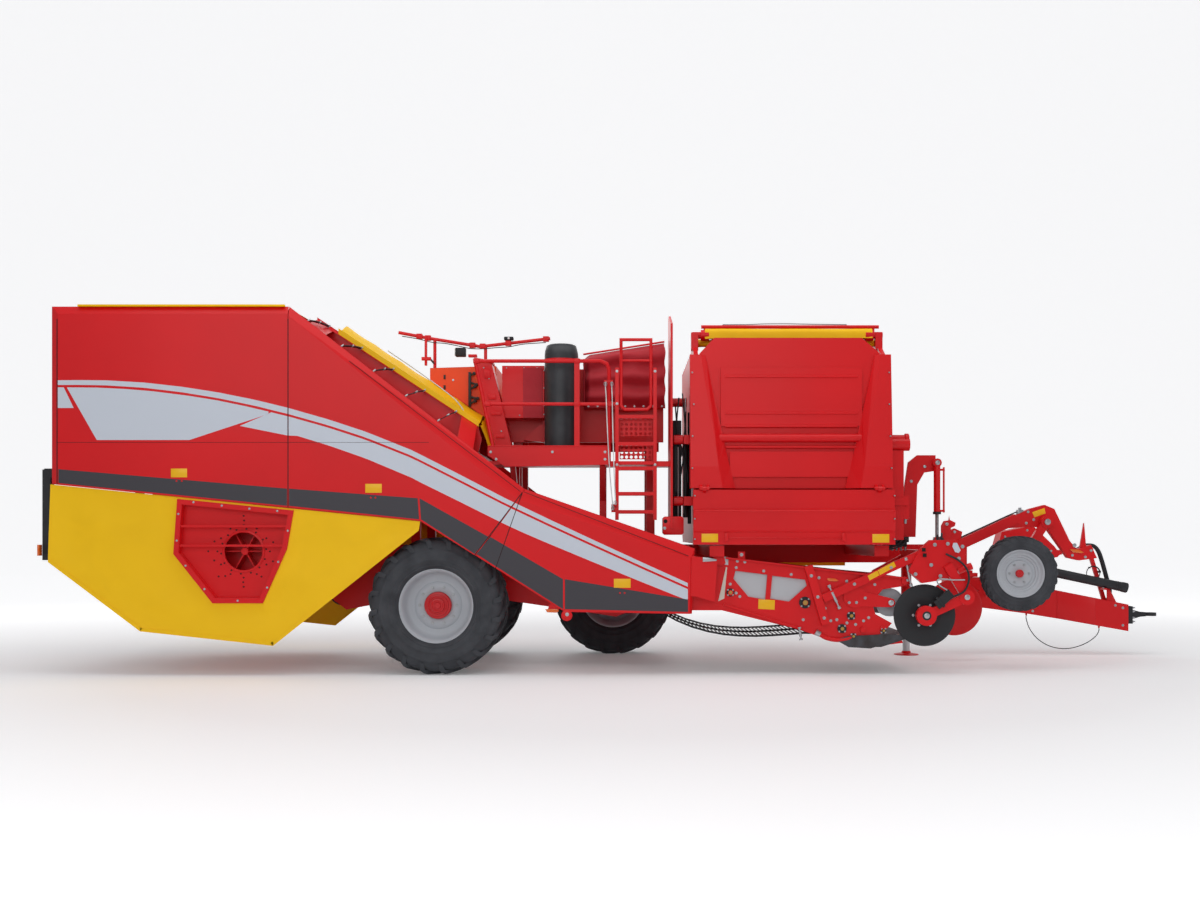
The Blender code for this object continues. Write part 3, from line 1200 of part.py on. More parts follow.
def bunker_chute():
    """The folding right wall: a pressed plate between two tapering wings, with a cross tube."""
    x0, x1 = BUNKER_X
    hang = carrier("chute_axis", ((x0 + x1) / 2, *CHUTE_HINGE))
    y, z = CHUTE_HINGE
    plate_y = -1.40
    low = z + 0.005
    top = 3.69
    face = [(0.80, low), (2.46, low), (2.60, 3.40), (2.60, 3.52), (2.40, top), (0.78, top),
        (0.62, 3.52), (0.62, 3.40)]
    shapes = [prism(face, plate_y, plate_y + 0.05)]
    front_y = y + 0.045
    for edge, inward in ((x0 - 0.05, 1), (x1 + 0.03, -1)):
        rings = []
        for level, reach, out in ((low, 0.50, front_y), (2.27, 0.44, front_y),
            (3.50, 0.17, plate_y - 0.06)):
            inside, ridge = edge + reach * inward, edge + reach * 0.7 * inward
            back = plate_y + 0.05
            outline = [(edge, back), (inside, back), (inside, plate_y - 0.03), (ridge, out), (edge, out)]
            rings.append([(a, b, level) for a, b in outline])
        shapes.append(loft(rings))
    bores = []
    for x in CHUTE_EARS:
        for start in (x - EAR_W / 2 - SEAT - 0.03, x + EAR_W / 2 + SEAT):
            shapes.append(rod(CHUTE_HINGE, CHUTE_PIN_R + 0.009, start, start + 0.03, "x", 12))
            lug = [(y, z + 0.016), (y + 0.06, z + 0.006), (y + 0.06, z + 0.05), (y - 0.012, z + 0.016)]
            shapes.append(prism(lug, start, start + 0.03, "x"))
        bores.append(rod(CHUTE_HINGE, CHUTE_PIN_R + PIN_CLEARANCE, x - 0.1, x + 0.1, "x", 12))
    shapes.append(rod((plate_y - 0.03, 2.589), 0.045, 0.75, 2.45, "x", 16))
    shapes.append(box((0.85, 2.40), (plate_y - 0.03, plate_y + 0.01), (2.72, 3.36)))
    shapes.append(box((0.95, 2.30), (plate_y - 0.03, plate_y + 0.01), (2.16, 2.44)))
    node("bunker_chute", "red_paint", shapes, bores, carrier=hang)


def bunker_roll():
    """The rolled yellow cover on the bunker's rim."""
    y = BAR_Y + 0.12
    x0, x1 = BUNKER_X
    roll = [rod((y, 3.70), 0.045, x0 + 0.01, x1 - 0.01, "x", 12)]
    for x in (x0 + 0.01, x1 - 0.04):
        roll.append(box((x, x + 0.03), (y - 0.02, y + 0.14), (BUNKER_TOP_Z + SEAT, 3.70)))
    node("bunker_cover_roll", "yellow_tarp", roll)


def left_skirt():
    """The yellow sheet under the bunker's left side."""
    node("skirt_front_left", "yellow_tarp",
        [box((1.30, 2.66), (OUTER_BEAM_Y + 0.06 + SEAT, OUTER_BEAM_Y + 0.075), (1.12, 1.415))])


# Platform, railing, ladder

PLATFORM_X = (-1.713, 0.20)
PLATFORM_Y = (-1.32, -0.60)
FLOOR_Z = 2.34


RAIL_TUBE_R = 0.021
RAIL_TOP_Z = 3.447
RAIL_MIDDLE_Z = 2.972
LADDER_RAILS = (-0.288, 0.132)
LADDER_TOP_Z = 3.37
GATE_PIN = (PLATFORM_Y[0], 3.326)  # Y and Z of the pins
GATE_PIN_R = 0.012
TREADS = (1.78, 1.98, 2.26, 2.53, 2.83)
GUARD_X = 0.30


def platform_deck():
    x0, x1 = PLATFORM_X
    out, back = PLATFORM_Y
    shapes = [box((x0, GUARD_X + 0.01), PLATFORM_Y, (FLOOR_Z - 0.04, FLOOR_Z))]
    kick = [(x0, FLOOR_Z + 0.157), (-0.36, FLOOR_Z + 0.157), (-0.36, 2.30), (-1.52, 2.276), (x0, 2.40)]
    shapes.append(prism(kick, out - 0.02, out + 0.01))
    for x in (-1.45, -0.45):
        shapes.append(beam((x, -1.2, FLOOR_Z - 0.02), (x, -0.64, 1.92), 0.06, 0.08))
        shapes.append(box((x - 0.04, x + 0.04), (-0.70, -0.61), (BEAM_Z[1] + SEAT, FLOOR_Z - 0.01)))
    guard = [(-1.42, 1.60), (-1.42, 3.845), (-0.80, 4.02), (-0.61, 4.02), (-0.61, 1.60)]
    shapes.append(prism(guard, GUARD_X, GUARD_X + 0.025, "x"))
    return shapes


def railing():
    y = PLATFORM_Y[0] + 0.02
    top, foot = RAIL_TOP_Z, FLOOR_Z - 0.02
    corner = [(-0.47, y, top), (-0.40, y, top - 0.03), (-0.376, y, top - 0.10)]
    route = [(-1.62, y, foot), (-1.857, y, top)] + corner + [(-0.376, y, foot)]
    shapes = [tube(route, RAIL_TUBE_R), tube([(-1.74, y, RAIL_MIDDLE_Z), (-0.376, y, RAIL_MIDDLE_Z)],
        0.019)]
    shapes.append(box((-0.76, -0.70), (y - 0.02, y + 0.02), (foot, top)))
    return shapes


def ladder():
    y = PLATFORM_Y[0] + 0.02
    x0, x1 = LADDER_RAILS
    shapes = [box((x - 0.02, x + 0.02), (y - 0.04, y), (1.69, LADDER_TOP_Z)) for x in LADDER_RAILS]
    shapes += [box((x0, x1), (y - 0.04, y + 0.10), (z - 0.02, z + 0.02)) for z in TREADS]
    for z in (2.30, RAIL_MIDDLE_Z):
        shapes.append(box((x0 - 0.10, x0), (y - 0.03, y - 0.01), (z - 0.02, z + 0.02)))
    shapes.append(box((x1, GUARD_X + 0.01), (y - 0.03, y - 0.01), (2.28, 2.32)))
    return shapes


ROPE_Y = -1.352
ROPE_D = 0.012
ROPES = (  # name, X and Z under its hook, X and Z on its lower lug
    ("rope_left", (-0.415, 3.21), (-0.335, 1.80)),
    ("rope_right", (-0.345, 3.21), (-0.305, 1.86)),
)


def ropes():
    """Two white ropes that hang from the rail's hooks to lugs on the ladder."""
    for name, (x0, z0), (x1, z1) in ROPES:
        route = [(x0, z0 - SEAT), (x0, z0 - 0.06)]
        for share, lag in ((0.12, 0.10), (0.30, 0.22), (0.50, 0.38), (0.70, 0.60), (0.88, 0.86)):
            route.append((x0 + (x1 - x0) * lag, z0 + (z1 - z0) * share))
        route += [(x1, z1 + 0.06), (x1, z1 + SEAT)]
        cord(name, "white_rope", [(x, ROPE_Y, z) for x, z in route], ROPE_D, 16)


def rope_lugs():
    shapes = []
    for _, (x0, z0), (x1, z1) in ROPES:
        shapes.append(box((x0 - 0.012, x0 + 0.012), (ROPE_Y - 0.01, PLATFORM_Y[0] + 0.02), (z0, z0 + 0.02)))
        shapes.append(box((x1 - 0.012, x1 + 0.012), (ROPE_Y - 0.01, PLATFORM_Y[0]), (z1 - 0.02, z1)))
    shapes.append(box((-0.43, -0.335), (PLATFORM_Y[0], PLATFORM_Y[0] + 0.02), (3.205, 3.235)))
    shapes.append(box((-0.35, -0.27), (PLATFORM_Y[0] - 0.01, PLATFORM_Y[0] + 0.01), (1.775, 1.865)))
    return shapes


def platform():
    """Deck, kickboard, brackets, railing, ladder and the tall guard sheet, welded into one."""
    bores = []
    for x in LADDER_RAILS:
        bores.append(rod(GATE_PIN, GATE_PIN_R + PIN_CLEARANCE, x - 0.05, x + 0.05, "x", 12))
    node("platform", "red_paint", platform_deck() + railing() + ladder() + rope_lugs(), bores)


def gate():
    """The flap gate at the ladder's head. Its foot swings inwards about two pins."""
    y, z = GATE_PIN
    hang = carrier("gate_axis", (sum(LADDER_RAILS) / 2, y, z))
    x0, x1 = LADDER_RAILS[0] + 0.045, LADDER_RAILS[1] - 0.045
    frame = [(x0, y, 2.95), (x0, y, 3.68), (x1, y, 3.68), (x1, y, 2.95), (x1 - 0.04, y, 2.91),
        (x0 + 0.04, y, 2.91)]
    shapes = [tube(frame, 0.018, closed=True), tube([(x0, y, 3.45), (x1, y, 3.45)], 0.014)]
    shapes.append(rod(GATE_PIN, GATE_PIN_R, LADDER_RAILS[0] - 0.018, x0, "x", 12))
    shapes.append(rod(GATE_PIN, GATE_PIN_R, x1, LADDER_RAILS[1] + 0.018, "x", 12))
    node("gate", "red_paint", shapes, carrier=hang)


# Picking area: table, waste chute, canvas bag, orange hood, elevator

TABLE_X = (-1.62, 0.25)
TABLE_Y = (-0.50, 1.45)


def picking_table():
    x0, x1 = TABLE_X
    y0, y1 = TABLE_Y
    t = 0.03
    shapes = [box(TABLE_X, TABLE_Y, (2.90, 2.95))]
    shapes.append(box(TABLE_X, (y0, y0 + t), (2.60, 3.45)))
    shapes.append(box(TABLE_X, (y1 - t, y1), (2.60, 3.45)))
    for x in (-1.45, 0.10):
        shapes.append(box((x - 0.05, x + 0.05), (BEAM_Y - 0.05, BEAM_Y + 0.05), (BEAM_Z[1] + SEAT, 2.92)))
        shapes.append(box((x - 0.05, x + 0.05), (-0.45, -0.35), (BEAM_Z[1] - 0.02 + SEAT, 2.92)))
    # leaning housing at the right end, with a hood open below
    x, drop = -1.60, 0.02
    lean = [(-1.895, 3.52), (-1.716, 3.49), (-1.437, FLOOR_Z + SEAT), (-1.627, FLOOR_Z + SEAT)]
    shapes.append(prism(lean, -0.90, -0.62))
    shapes.append(box((x, -1.12), (-0.80, y0 + drop), (2.86, 3.455)))
    shapes.append(prism([(-1.07, 2.90), (-1.37, 2.62), (-1.02, 2.58), (-1.02, 2.90)], -0.62, y0 + drop))
    cuts = [box((x + 0.24, -1.15), (-0.77, y0 - drop), (2.80, 3.42))]
    node("picking_table", "red_paint", shapes, cuts)


def waste_chute():
    """A black moulded chute, a flat back and a rounded front, with a sloping cap."""
    outline = arc((-0.918, -0.98), 0.187, 180, 360, 8) + [(-0.731, -0.72), (-1.105, -0.72)]
    rings = [[(x, y, z) for x, y in outline] for z in (FLOOR_Z + SEAT, 3.55)]
    rings.append([(x, min(-0.72, y + 0.06), 3.68) for x, y in outline])
    node("waste_chute", "black_plastic", [loft(rings)])


def transfer_bag():
    bag = [(-0.68, 3.55), (-0.62, 3.65), (0.27, 3.76), (0.27, 2.96), (-0.55, 2.96), (-0.68, 3.2)]
    node("transfer_bag", "red_tarp", [prism(bag, -0.80, TABLE_Y[0] - SEAT)])


TROUGH_Y = 1.12  # half width outside
TROUGH_T = 0.025
TROUGH_X = (-3.64, -1.80)
TROUGH_EDGE = (-3.40, 3.80)  # a point of the side plates' upper edge
TROUGH_SLOPE = -0.66
COVER_CROWN = 0.13
COVER_SHEET = 0.02
SHOULDER_T = 0.02


def edge_z(x):
    """Height of the trough's upper edge."""
    return TROUGH_EDGE[1] + TROUGH_SLOPE * (x - TROUGH_EDGE[0])


def panel_top_z(x):
    """Height of the middle panels' upper edge."""
    return KINK[1] + SLOPE * (KINK[0] - x)


def elevator():
    """A sloping trough between the rear housing and the picking table, on legs."""
    x0, x1 = TROUGH_X
    depth = 0.42
    side = [(x0, edge_z(x0) - depth), (x1 - 0.06, edge_z(x1) - depth + 0.04), (x1, edge_z(x1) - 0.15),
        (x1 - 0.05, edge_z(x1 - 0.05))]
    side.append((x0, edge_z(x0)))
    shapes = []
    for y in (-TROUGH_Y, TROUGH_Y - TROUGH_T):
        shapes.append(prism(side, y, y + TROUGH_T))
    end = x1 - 0.08
    floor = [(x0, edge_z(x0) - depth + 0.01), (x0, edge_z(x0) - depth + 0.05)]
    floor += [(end, edge_z(end) - depth + 0.09), (end, edge_z(end) - depth + 0.05)]
    shapes.append(prism(floor, 0.01 - TROUGH_Y, TROUGH_Y - 0.01))
    for side in (-1, 1):
        y = sorted((side * (BEAM_Y - 0.05), side * (BEAM_Y + 0.05)))
        shapes.append(box((-2.65, -2.55), y, (BEAM_Z[1] + SEAT, edge_z(-2.6) - depth + 0.05)))
        # the sheet that leans out to the side panel
        rings = []
        for x in (x0 + 0.01, x1 - 0.05):
            top, foot = edge_z(x) - 0.012, panel_top_z(x) - 0.02
            inner, outer = side * (TROUGH_Y - 0.01), side * INSIDE_Y
            rings.append([(x, inner, top), (x, outer, foot), (x, outer, foot - SHOULDER_T),
                (x, inner, top - SHOULDER_T)])
        shapes.append(loft(rings))
    node("elevator_trough", "red_paint", shapes)


def elevator_cover():
    """An arched yellow sheet on the trough's edges."""
    across = ((-1.0, 0.0), (-0.95, 0.06), (-0.5, 1.0), (0.5, 1.0), (0.95, 0.06), (1.0, 0.0))
    half = TROUGH_Y + 0.02
    rings = []
    for x in (TROUGH_EDGE[0], TROUGH_X[1] - 0.03):
        low = edge_z(x) + 0.0006
        ring = [(x, share * half, low + COVER_SHEET + rise * (COVER_CROWN - COVER_SHEET)) for share,
            rise in across]
        ring += [(x, half, low), (x, -half, low)]
        rings.append(ring)
    node("elevator_cover", "yellow_tarp", [loft(rings)])


def crown_z(x):
    return edge_z(x) + COVER_CROWN + 0.0006


HOOD_TOP = ((-2.47, 3.471), (-1.70, 3.494))
HOOD_Y = (-0.45, 0.50)


def orange_hood():
    """The moulded hood over the trough's lower end. It stands on the cover."""
    (x0, z0), (x1, z1) = HOOD_TOP
    foot = TROUGH_X[1] - 0.03
    hood = [(x0, z0), (x1, z1), (x1 + 0.02, 2.95), (foot + 0.06, 2.86), (foot, crown_z(foot) + SEAT),
        (x0, crown_z(x0) + SEAT)]
    node("orange_hood", "orange_plastic", [prism(hood, *HOOD_Y)])


LAMP_FRAME_Y = -0.40
LAMP_TUBE = ((-2.844, 3.891), (-2.47, 3.821), (-1.887, 3.727), (-1.071, 3.821))
LAMP_TUBE_R = 0.02


def lamp_frame():
    """The bent tube over the platform that carries lamps and cables, on two short posts."""
    y = LAMP_FRAME_Y
    shapes = [tube([(x, y, z) for x, z in LAMP_TUBE], LAMP_TUBE_R)]
    (x0, z0), (x1, z1) = HOOD_TOP
    for x, top in ((LAMP_TUBE[1][0] + 0.05, 3.81), (LAMP_TUBE[2][0] + 0.06, 3.735)):
        foot = z0 + (z1 - z0) * (x - x0) / (x1 - x0) + 0.0014
        shapes.append(tube([(x, y, foot), (x, y, top)], LAMP_TUBE_R))
    node("lamp_frame", "red_paint", shapes)


def lamp_bar():
    """Rear lamp bar across the back."""
    shapes = [box((BACK_X + 0.02, REAR_X + 0.01 - SEAT), (-1.5, 1.5), (2.15, 2.25))]
    for side in (-1, 1):
        y = sorted((side * 1.40, side * 1.50))
        shapes.append(box((BACK_X, BACK_X + 0.09), y, (1.25, 2.24)))
    node("lamp_bar", "black_plastic", shapes)


# Lift cylinder of the digging unit

LIFT_ROD_R = 0.020



def lift_cylinder():
    """The cylinder that raises the digging unit: barrel on the gooseneck's pin, rod down to the boom."""
    y = LIFT_Y
    x = LIFT_TOP[0]
    top = carrier("lift_barrel_axis", (x, y, LIFT_TOP[1]))
    shapes = [rod(LIFT_TOP, 0.05, y - 0.03, y + 0.03, sides=16), rod((x, y), 0.038, 1.76, 2.33, "z", 16)]
    cuts = [rod(LIFT_TOP, LIFT_PIN_R + PIN_CLEARANCE, y - 0.1, y + 0.1, sides=16)]
    cuts.append(rod((x, y), LIFT_ROD_R + PIN_CLEARANCE, 1.7, 2.29, "z", 16))
    node("lift_barrel", "red_paint", shapes, cuts, carrier=top)
    low = carrier("lift_rod_axis", (x, y, 1.8))
    shapes = [rod((x, y), LIFT_ROD_R, LIFT_EYE[1] + 0.035, 2.055, "z", 16)]
    shapes.append(rod(LIFT_EYE, EYE_BORE_R + 0.016, y - 0.03, y + 0.03, sides=16))
    cuts = [rod(LIFT_EYE, EYE_BORE_R, y - 0.1, y + 0.1, sides=16)]
    node("lift_rod", "bare_steel", shapes, cuts, carrier=low)


def build():
    clear_scene()
    for side, word in ((-1, "right"), (1, "left")):
        rear_panels(side, word)
        skirts(side, word)
        fan_hatch(side, word)
    front_panel()
    rear_hood()
    roof_cover()
    fan_casing()
    fan_rotor()
    main_frame()
    rear_axle()
    wheel("rear_right", AXLE_X, -1.20, 0.78, -1, -0.90 - SEAT)
    wheel("rear_left", AXLE_X, 1.24, 0.70, 1, 0.95 + SEAT)
    front_knuckle()
    wheel("front_left", FRONT_WHEEL[0], FRONT_WHEEL[1], 0.58, 1, KINGPIN_Y + 0.07 + SEAT)
    main_web()
    main_web_trough()
    hang = digging_unit()
    digging_web(hang)
    depth_roller()
    shares(hang)
    disc_coulter("disc_right", DISC_RIGHT, -1, "black_plastic")
    disc_coulter("disc_left", DISC_LEFT, 1, "red_paint")
    boom(hang)
    support_wheel()
    drawbar_cords(drawbar())
    jack()
    bunker()
    bunker_chute()
    bunker_roll()
    left_skirt()
    platform()
    ropes()
    gate()
    picking_table()
    waste_chute()
    transfer_bag()
    orange_hood()
    elevator()
    elevator_cover()
    lamp_frame()
    lamp_bar()
    lift_cylinder()


build()
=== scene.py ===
"""Looks of the trailed potato harvester: finishes, soft goods, small parts, camera and light.

Metres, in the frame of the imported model: +X to the hitch, +Y to the machine's left, +Z up.
The right side, which faces -Y, faces the camera. Sections follow the machine as it is put together.
"""

from math import cos, hypot, pi, radians, sin

import bmesh
import bpy
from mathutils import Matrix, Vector, noise
from mathutils.bvhtree import BVHTree


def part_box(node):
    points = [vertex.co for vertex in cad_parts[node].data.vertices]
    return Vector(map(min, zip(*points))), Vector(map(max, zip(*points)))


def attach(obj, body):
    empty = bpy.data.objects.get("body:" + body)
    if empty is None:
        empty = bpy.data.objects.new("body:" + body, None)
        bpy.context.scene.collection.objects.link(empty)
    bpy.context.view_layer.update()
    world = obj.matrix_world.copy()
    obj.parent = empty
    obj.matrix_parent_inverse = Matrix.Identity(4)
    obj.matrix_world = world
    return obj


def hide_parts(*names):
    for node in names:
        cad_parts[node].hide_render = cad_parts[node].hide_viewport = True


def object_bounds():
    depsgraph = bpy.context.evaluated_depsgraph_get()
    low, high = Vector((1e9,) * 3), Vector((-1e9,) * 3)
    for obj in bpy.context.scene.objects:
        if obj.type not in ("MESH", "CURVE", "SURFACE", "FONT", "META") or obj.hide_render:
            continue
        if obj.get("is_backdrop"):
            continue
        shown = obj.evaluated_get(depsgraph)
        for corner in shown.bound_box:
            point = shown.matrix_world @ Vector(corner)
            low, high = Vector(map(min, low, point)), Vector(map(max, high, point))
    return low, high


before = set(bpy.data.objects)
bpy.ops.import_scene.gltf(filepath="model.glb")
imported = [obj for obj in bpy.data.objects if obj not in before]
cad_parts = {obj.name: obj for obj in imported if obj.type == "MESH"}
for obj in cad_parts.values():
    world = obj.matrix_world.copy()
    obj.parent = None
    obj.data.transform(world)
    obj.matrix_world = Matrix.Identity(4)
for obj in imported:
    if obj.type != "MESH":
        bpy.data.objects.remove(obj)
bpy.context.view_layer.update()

# Camera and studio: a long lens square to the right side, a pale floor, and a large soft box overhead.
# The floor and the wall behind it are one painted surface, so that no edge shows.

NEAR_SIDE_Y = -1.65  # the side panels' outer face
CAMERA_DISTANCE = 15.0
CAMERA_X = -0.2545
CAMERA_Z = 1.55
FIELD_WIDTH = 12.96  # metres across the photograph at the panels' face
SENSOR = 36.0
SHIFT = (-0.01667, 0.0689)


def linear(code):
    """A hex colour as it is written, turned to linear red, green, blue and alpha."""
    parts = [int(code[i : i + 2], 16) / 255 for i in (0, 2, 4)]
    return (*(c / 12.92 if c <= 0.04045 else ((c + 0.055) / 1.055) ** 2.4 for c in parts), 1.0)


def add(tree, kind, values=(), links=(), **settings):
    """Adds a node: its settings, its sockets' values, and the sockets linked to it."""
    made = tree.nodes.new(kind)
    for name, value in settings.items():
        setattr(made, name, value)
    for socket, value in dict(values).items():
        made.inputs[socket].default_value = value
    for socket, source in dict(links).items():
        tree.links.new(source, made.inputs[socket])
    return made


def new_object(name, data):
    """A new object at the origin, linked to the scene."""
    made = bpy.data.objects.new(name, data)
    bpy.context.scene.collection.objects.link(made)
    return made


def new_finish(name):
    """A new material, with its node tree and its shader."""
    made = bpy.data.materials.new(name)
    made.use_nodes = True
    return made, made.node_tree, made.node_tree.nodes["Principled BSDF"]


lens = bpy.data.cameras.new("camera")
lens.sensor_width = SENSOR
lens.lens = SENSOR * CAMERA_DISTANCE / FIELD_WIDTH
lens.shift_x, lens.shift_y = SHIFT
camera = new_object("camera", lens)
camera.location = (CAMERA_X, NEAR_SIDE_Y - CAMERA_DISTANCE, CAMERA_Z)
camera.rotation_euler = (radians(90), 0, 0)
bpy.context.scene.camera = camera
bpy.context.scene.view_settings.view_transform = "Standard"


def studio_paint():
    """White studio paint that glows for the camera and in reflections, so that it stays pale. The glow is a
    painted brightening that is weakest within 6 m of the machine, so the floor round the machine is painted
    darker than the floor far off.
    """
    made, tree, shader = new_finish("studio_paint")
    shader.inputs["Base Color"].default_value = linear("F2F2F3")
    shader.inputs["Roughness"].default_value = 0.6
    shader.inputs["Emission Color"].default_value = linear("FFFFFF")
    rays = add(tree, "ShaderNodeLightPath")
    glow_in_reflections = add(tree, "ShaderNodeMath", {1: 0.3}, {0: rays.outputs["Is Glossy Ray"]}, operation="MULTIPLY")
    place = add(tree, "ShaderNodeTexCoord")
    away = add(tree, "ShaderNodeVectorMath", {}, {0: place.outputs["Object"]}, operation="LENGTH")
    # Painted light: the camera sees a glow that rises from 0.12 near the machine to 0.58 far off, and
    # reflections see a glow of 0.3.
    level = add(tree, "ShaderNodeMapRange", {"From Min": 6.0, "From Max": 15.0, "To Min": 0.12,
                                             "To Max": 0.58}, {"Value": away.outputs["Value"]})
    glow = add(tree, "ShaderNodeMath", {}, {0: rays.outputs["Is Camera Ray"], 1: level.outputs["Result"],
                                            2: glow_in_reflections.outputs[0]}, operation="MULTIPLY_ADD")
    tree.links.new(glow.outputs[0], shader.inputs["Emission Strength"])
    return made


def studio_floor():
    """The floor with the wall that it curves up into, far behind the machine and in front of it."""
    half, back, rise, top, steps = 60.0, 45.0, 14.0, 60.0, 16
    profile = [(-half, 0.0), (back - rise, 0.0)]
    profile += [(back - rise + rise * sin(a), rise - rise * cos(a))
                for a in (pi / 2 * i / steps for i in range(1, steps + 1))]
    profile.append((back, top))
    mesh = bpy.data.meshes.new("studio_floor")
    points = [(x, y, z) for x in (-half, half) for y, z in profile]
    count = len(profile)
    mesh.from_pydata(points, [], [(i + 1, i, i + count, i + count + 1) for i in range(count - 1)])
    mesh.materials.append(studio_paint())
    mesh.shade_smooth()
    new_object("studio_floor", mesh)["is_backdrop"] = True


studio_floor()

SOFT_BOXES = (  # name, place, point it faces, width, depth, power
    ("overhead", (0.0, -3.0, 11.0), (0.0, 0.0, 1.5), 16.0, 8.0, 560.0),
    ("front", (-3.0, -16.0, 7.0), (0.0, 0.0, 1.6), 14.0, 7.0, 520.0),
    ("hitch_end", (15.0, -7.0, 5.0), (2.0, 0.0, 1.5), 6.0, 6.0, 180.0),
    ("behind", (-4.0, 13.0, 8.0), (0.0, 0.0, 1.5), 14.0, 6.0, 300.0),
)
for name, place, facing, width, depth, power in SOFT_BOXES:
    light = bpy.data.lights.new(name, "AREA")
    light.shape = "RECTANGLE"
    light.size, light.size_y, light.energy = width, depth, power
    holder = new_object(name, light)
    holder.location = place
    holder.rotation_euler = (Vector(facing) - Vector(place)).to_track_quat("-Z", "Y").to_euler()

world = bpy.data.worlds.new("studio_air")
bpy.context.scene.world = world
world.use_nodes = True
air = world.node_tree
rays = add(air, "ShaderNodeLightPath")
level = add(air, "ShaderNodeMapRange", {"To Min": 0.4, "To Max": 0.93},
            {"Value": rays.outputs["Is Camera Ray"]})
air.nodes["Background"].inputs["Color"].default_value = linear("FBFCFF")
air.links.new(level.outputs["Result"], air.nodes["Background"].inputs["Strength"])

# Hoses, cable and ropes: two bundles of hydraulic hose in a woven sleeve, one lamp cable, two white ropes.
# The hoses arch over a saddle to their block, the cable hangs in a loop, the ropes hang from the rail.

HOSE_SIDES = (1.03, 1.085)  # Y of the two bundles
HOSE_ACROSS = 0.04
HOSE_RUN = (  # X and Z from the clamp to the coupler block
    (5.3604, 1.3), (5.42, 1.3), (5.5, 1.308), (5.58, 1.34), (5.65, 1.378), (5.72, 1.395), (5.79, 1.377),
    (5.845, 1.31), (5.885, 1.2), (5.925, 1.06), (5.96, 0.93), (5.985, 0.83), (5.985, 0.78), (5.985, 0.7204),
)
CABLE_SIDE = 0.94
CABLE_ACROSS = 0.011
CABLE_RUN = (  # X and Z from the rear gland to the front one
    (4.89, 0.5046), (4.89, 0.46), (4.93, 0.34), (5.02, 0.22), (5.15, 0.13), (5.29, 0.088), (5.43, 0.085),
    (5.56, 0.115), (5.68, 0.17), (5.775, 0.245), (5.81, 0.31), (5.81, 0.3446),
)
ROPE_SIDE = -1.352
ROPE_ACROSS = 0.012
ROPE_ENDS = (  # name, X and Z under its hook, X and Z on its lower lug
    ("rope_left", (-0.415, 3.21), (-0.335, 1.8)),
    ("rope_right", (-0.345, 3.21), (-0.305, 1.86)),
)
CORD_GAP = 0.0004  # from a cord's end to what holds it


def clouded(tree, shader, place, values, code, ends, dark, bright):
    """Colours a shader by a noise, from dark to bright shares of one colour's red, green and blue."""
    cloud = add(tree, "ShaderNodeTexNoise", values, {"Vector": place.outputs["Object"]})
    shade = add(tree, "ShaderNodeValToRGB", {}, {0: cloud.outputs["Fac"]})
    for element, end, shares in zip(shade.color_ramp.elements, ends, (dark, bright)):
        element.position = end
        element.color = (*(min(1.0, c * share) for c, share in zip(linear(code), shares)), 1.0)
    tree.links.new(shade.outputs["Color"], shader.inputs["Base Color"])
    return cloud


def rubber(name, code, roughness=0.78):
    """Moulded rubber: matt grey-black with a mould grain of 1 mm, drawn at 4 mm, paler where it was
    handled."""
    made, tree, shader = new_finish(name)
    shader.inputs["Roughness"].default_value = roughness
    shader.inputs["Specular IOR Level"].default_value = 0.35
    place = add(tree, "ShaderNodeTexCoord")
    clouded(tree, shader, place, {"Scale": 5.0, "Detail": 4.0}, code, (0.35, 0.7), (0.8, 0.8, 0.8),
            (1.35, 1.33, 1.3))
    grain = add(tree, "ShaderNodeTexNoise", {"Scale": 250.0}, {"Vector": place.outputs["Object"]})
    bump = add(tree, "ShaderNodeBump", {"Strength": 0.25, "Distance": 0.001},
               {"Height": grain.outputs["Fac"]})
    tree.links.new(bump.outputs["Normal"], shader.inputs["Normal"])
    return made


def wound(name, code, scale, roughness=0.7):
    """Rubber or fibre with a woven or laid surface: slanting ridges, drawn a little coarser than the
    real ones."""
    made = rubber(name, code, roughness)
    tree = made.node_tree
    place = add(tree, "ShaderNodeTexCoord")
    ridges = add(tree, "ShaderNodeTexWave", {"Scale": scale, "Distortion": 0.6},
                 {"Vector": place.outputs["Object"]}, bands_direction="DIAGONAL")
    old = tree.nodes["Principled BSDF"].inputs["Normal"].links[0].from_node
    laid = add(tree, "ShaderNodeBump", {"Strength": 0.6, "Distance": 0.0015},
               {"Height": ridges.outputs["Fac"], "Normal": old.outputs["Normal"]})
    tree.links.new(laid.outputs["Normal"], tree.nodes["Principled BSDF"].inputs["Normal"])
    return made


hose_sleeve = wound("hose_sleeve", "2A2B2F", 45.0)
cable_jacket = rubber("cable_jacket", "26272A", 0.5)
white_rope = wound("white_rope", "D9DADB", 90.0, 0.85)


def smooth_route(points, count):
    """Evenly spaced places on one smooth curve through the points, and its length."""
    points = [Vector(p) for p in points]
    ends = [2 * points[0] - points[1]] + points + [2 * points[-1] - points[-2]]
    fine = []
    for i in range(len(points) - 1):
        a, b, c, d = ends[i : i + 4]
        for t in (j / 20 for j in range(20)):
            fine.append(0.5 * (2 * b + (c - a) * t + (2 * a - 5 * b + 4 * c - d) * t * t
                               + (3 * b - 3 * c + d - a) * t**3))
    fine.append(points[-1])
    walked = [0.0]
    for a, b in zip(fine, fine[1:]):
        walked.append(walked[-1] + (b - a).length)
    places, i = [], 0
    for n in range(count):
        want = walked[-1] * n / (count - 1)
        while i < len(fine) - 2 and walked[i + 1] < want:
            i += 1
        places.append(fine[i].lerp(fine[i + 1], min((want - walked[i]) / (walked[i + 1] - walked[i]), 1.0)))
    return places, walked[-1]


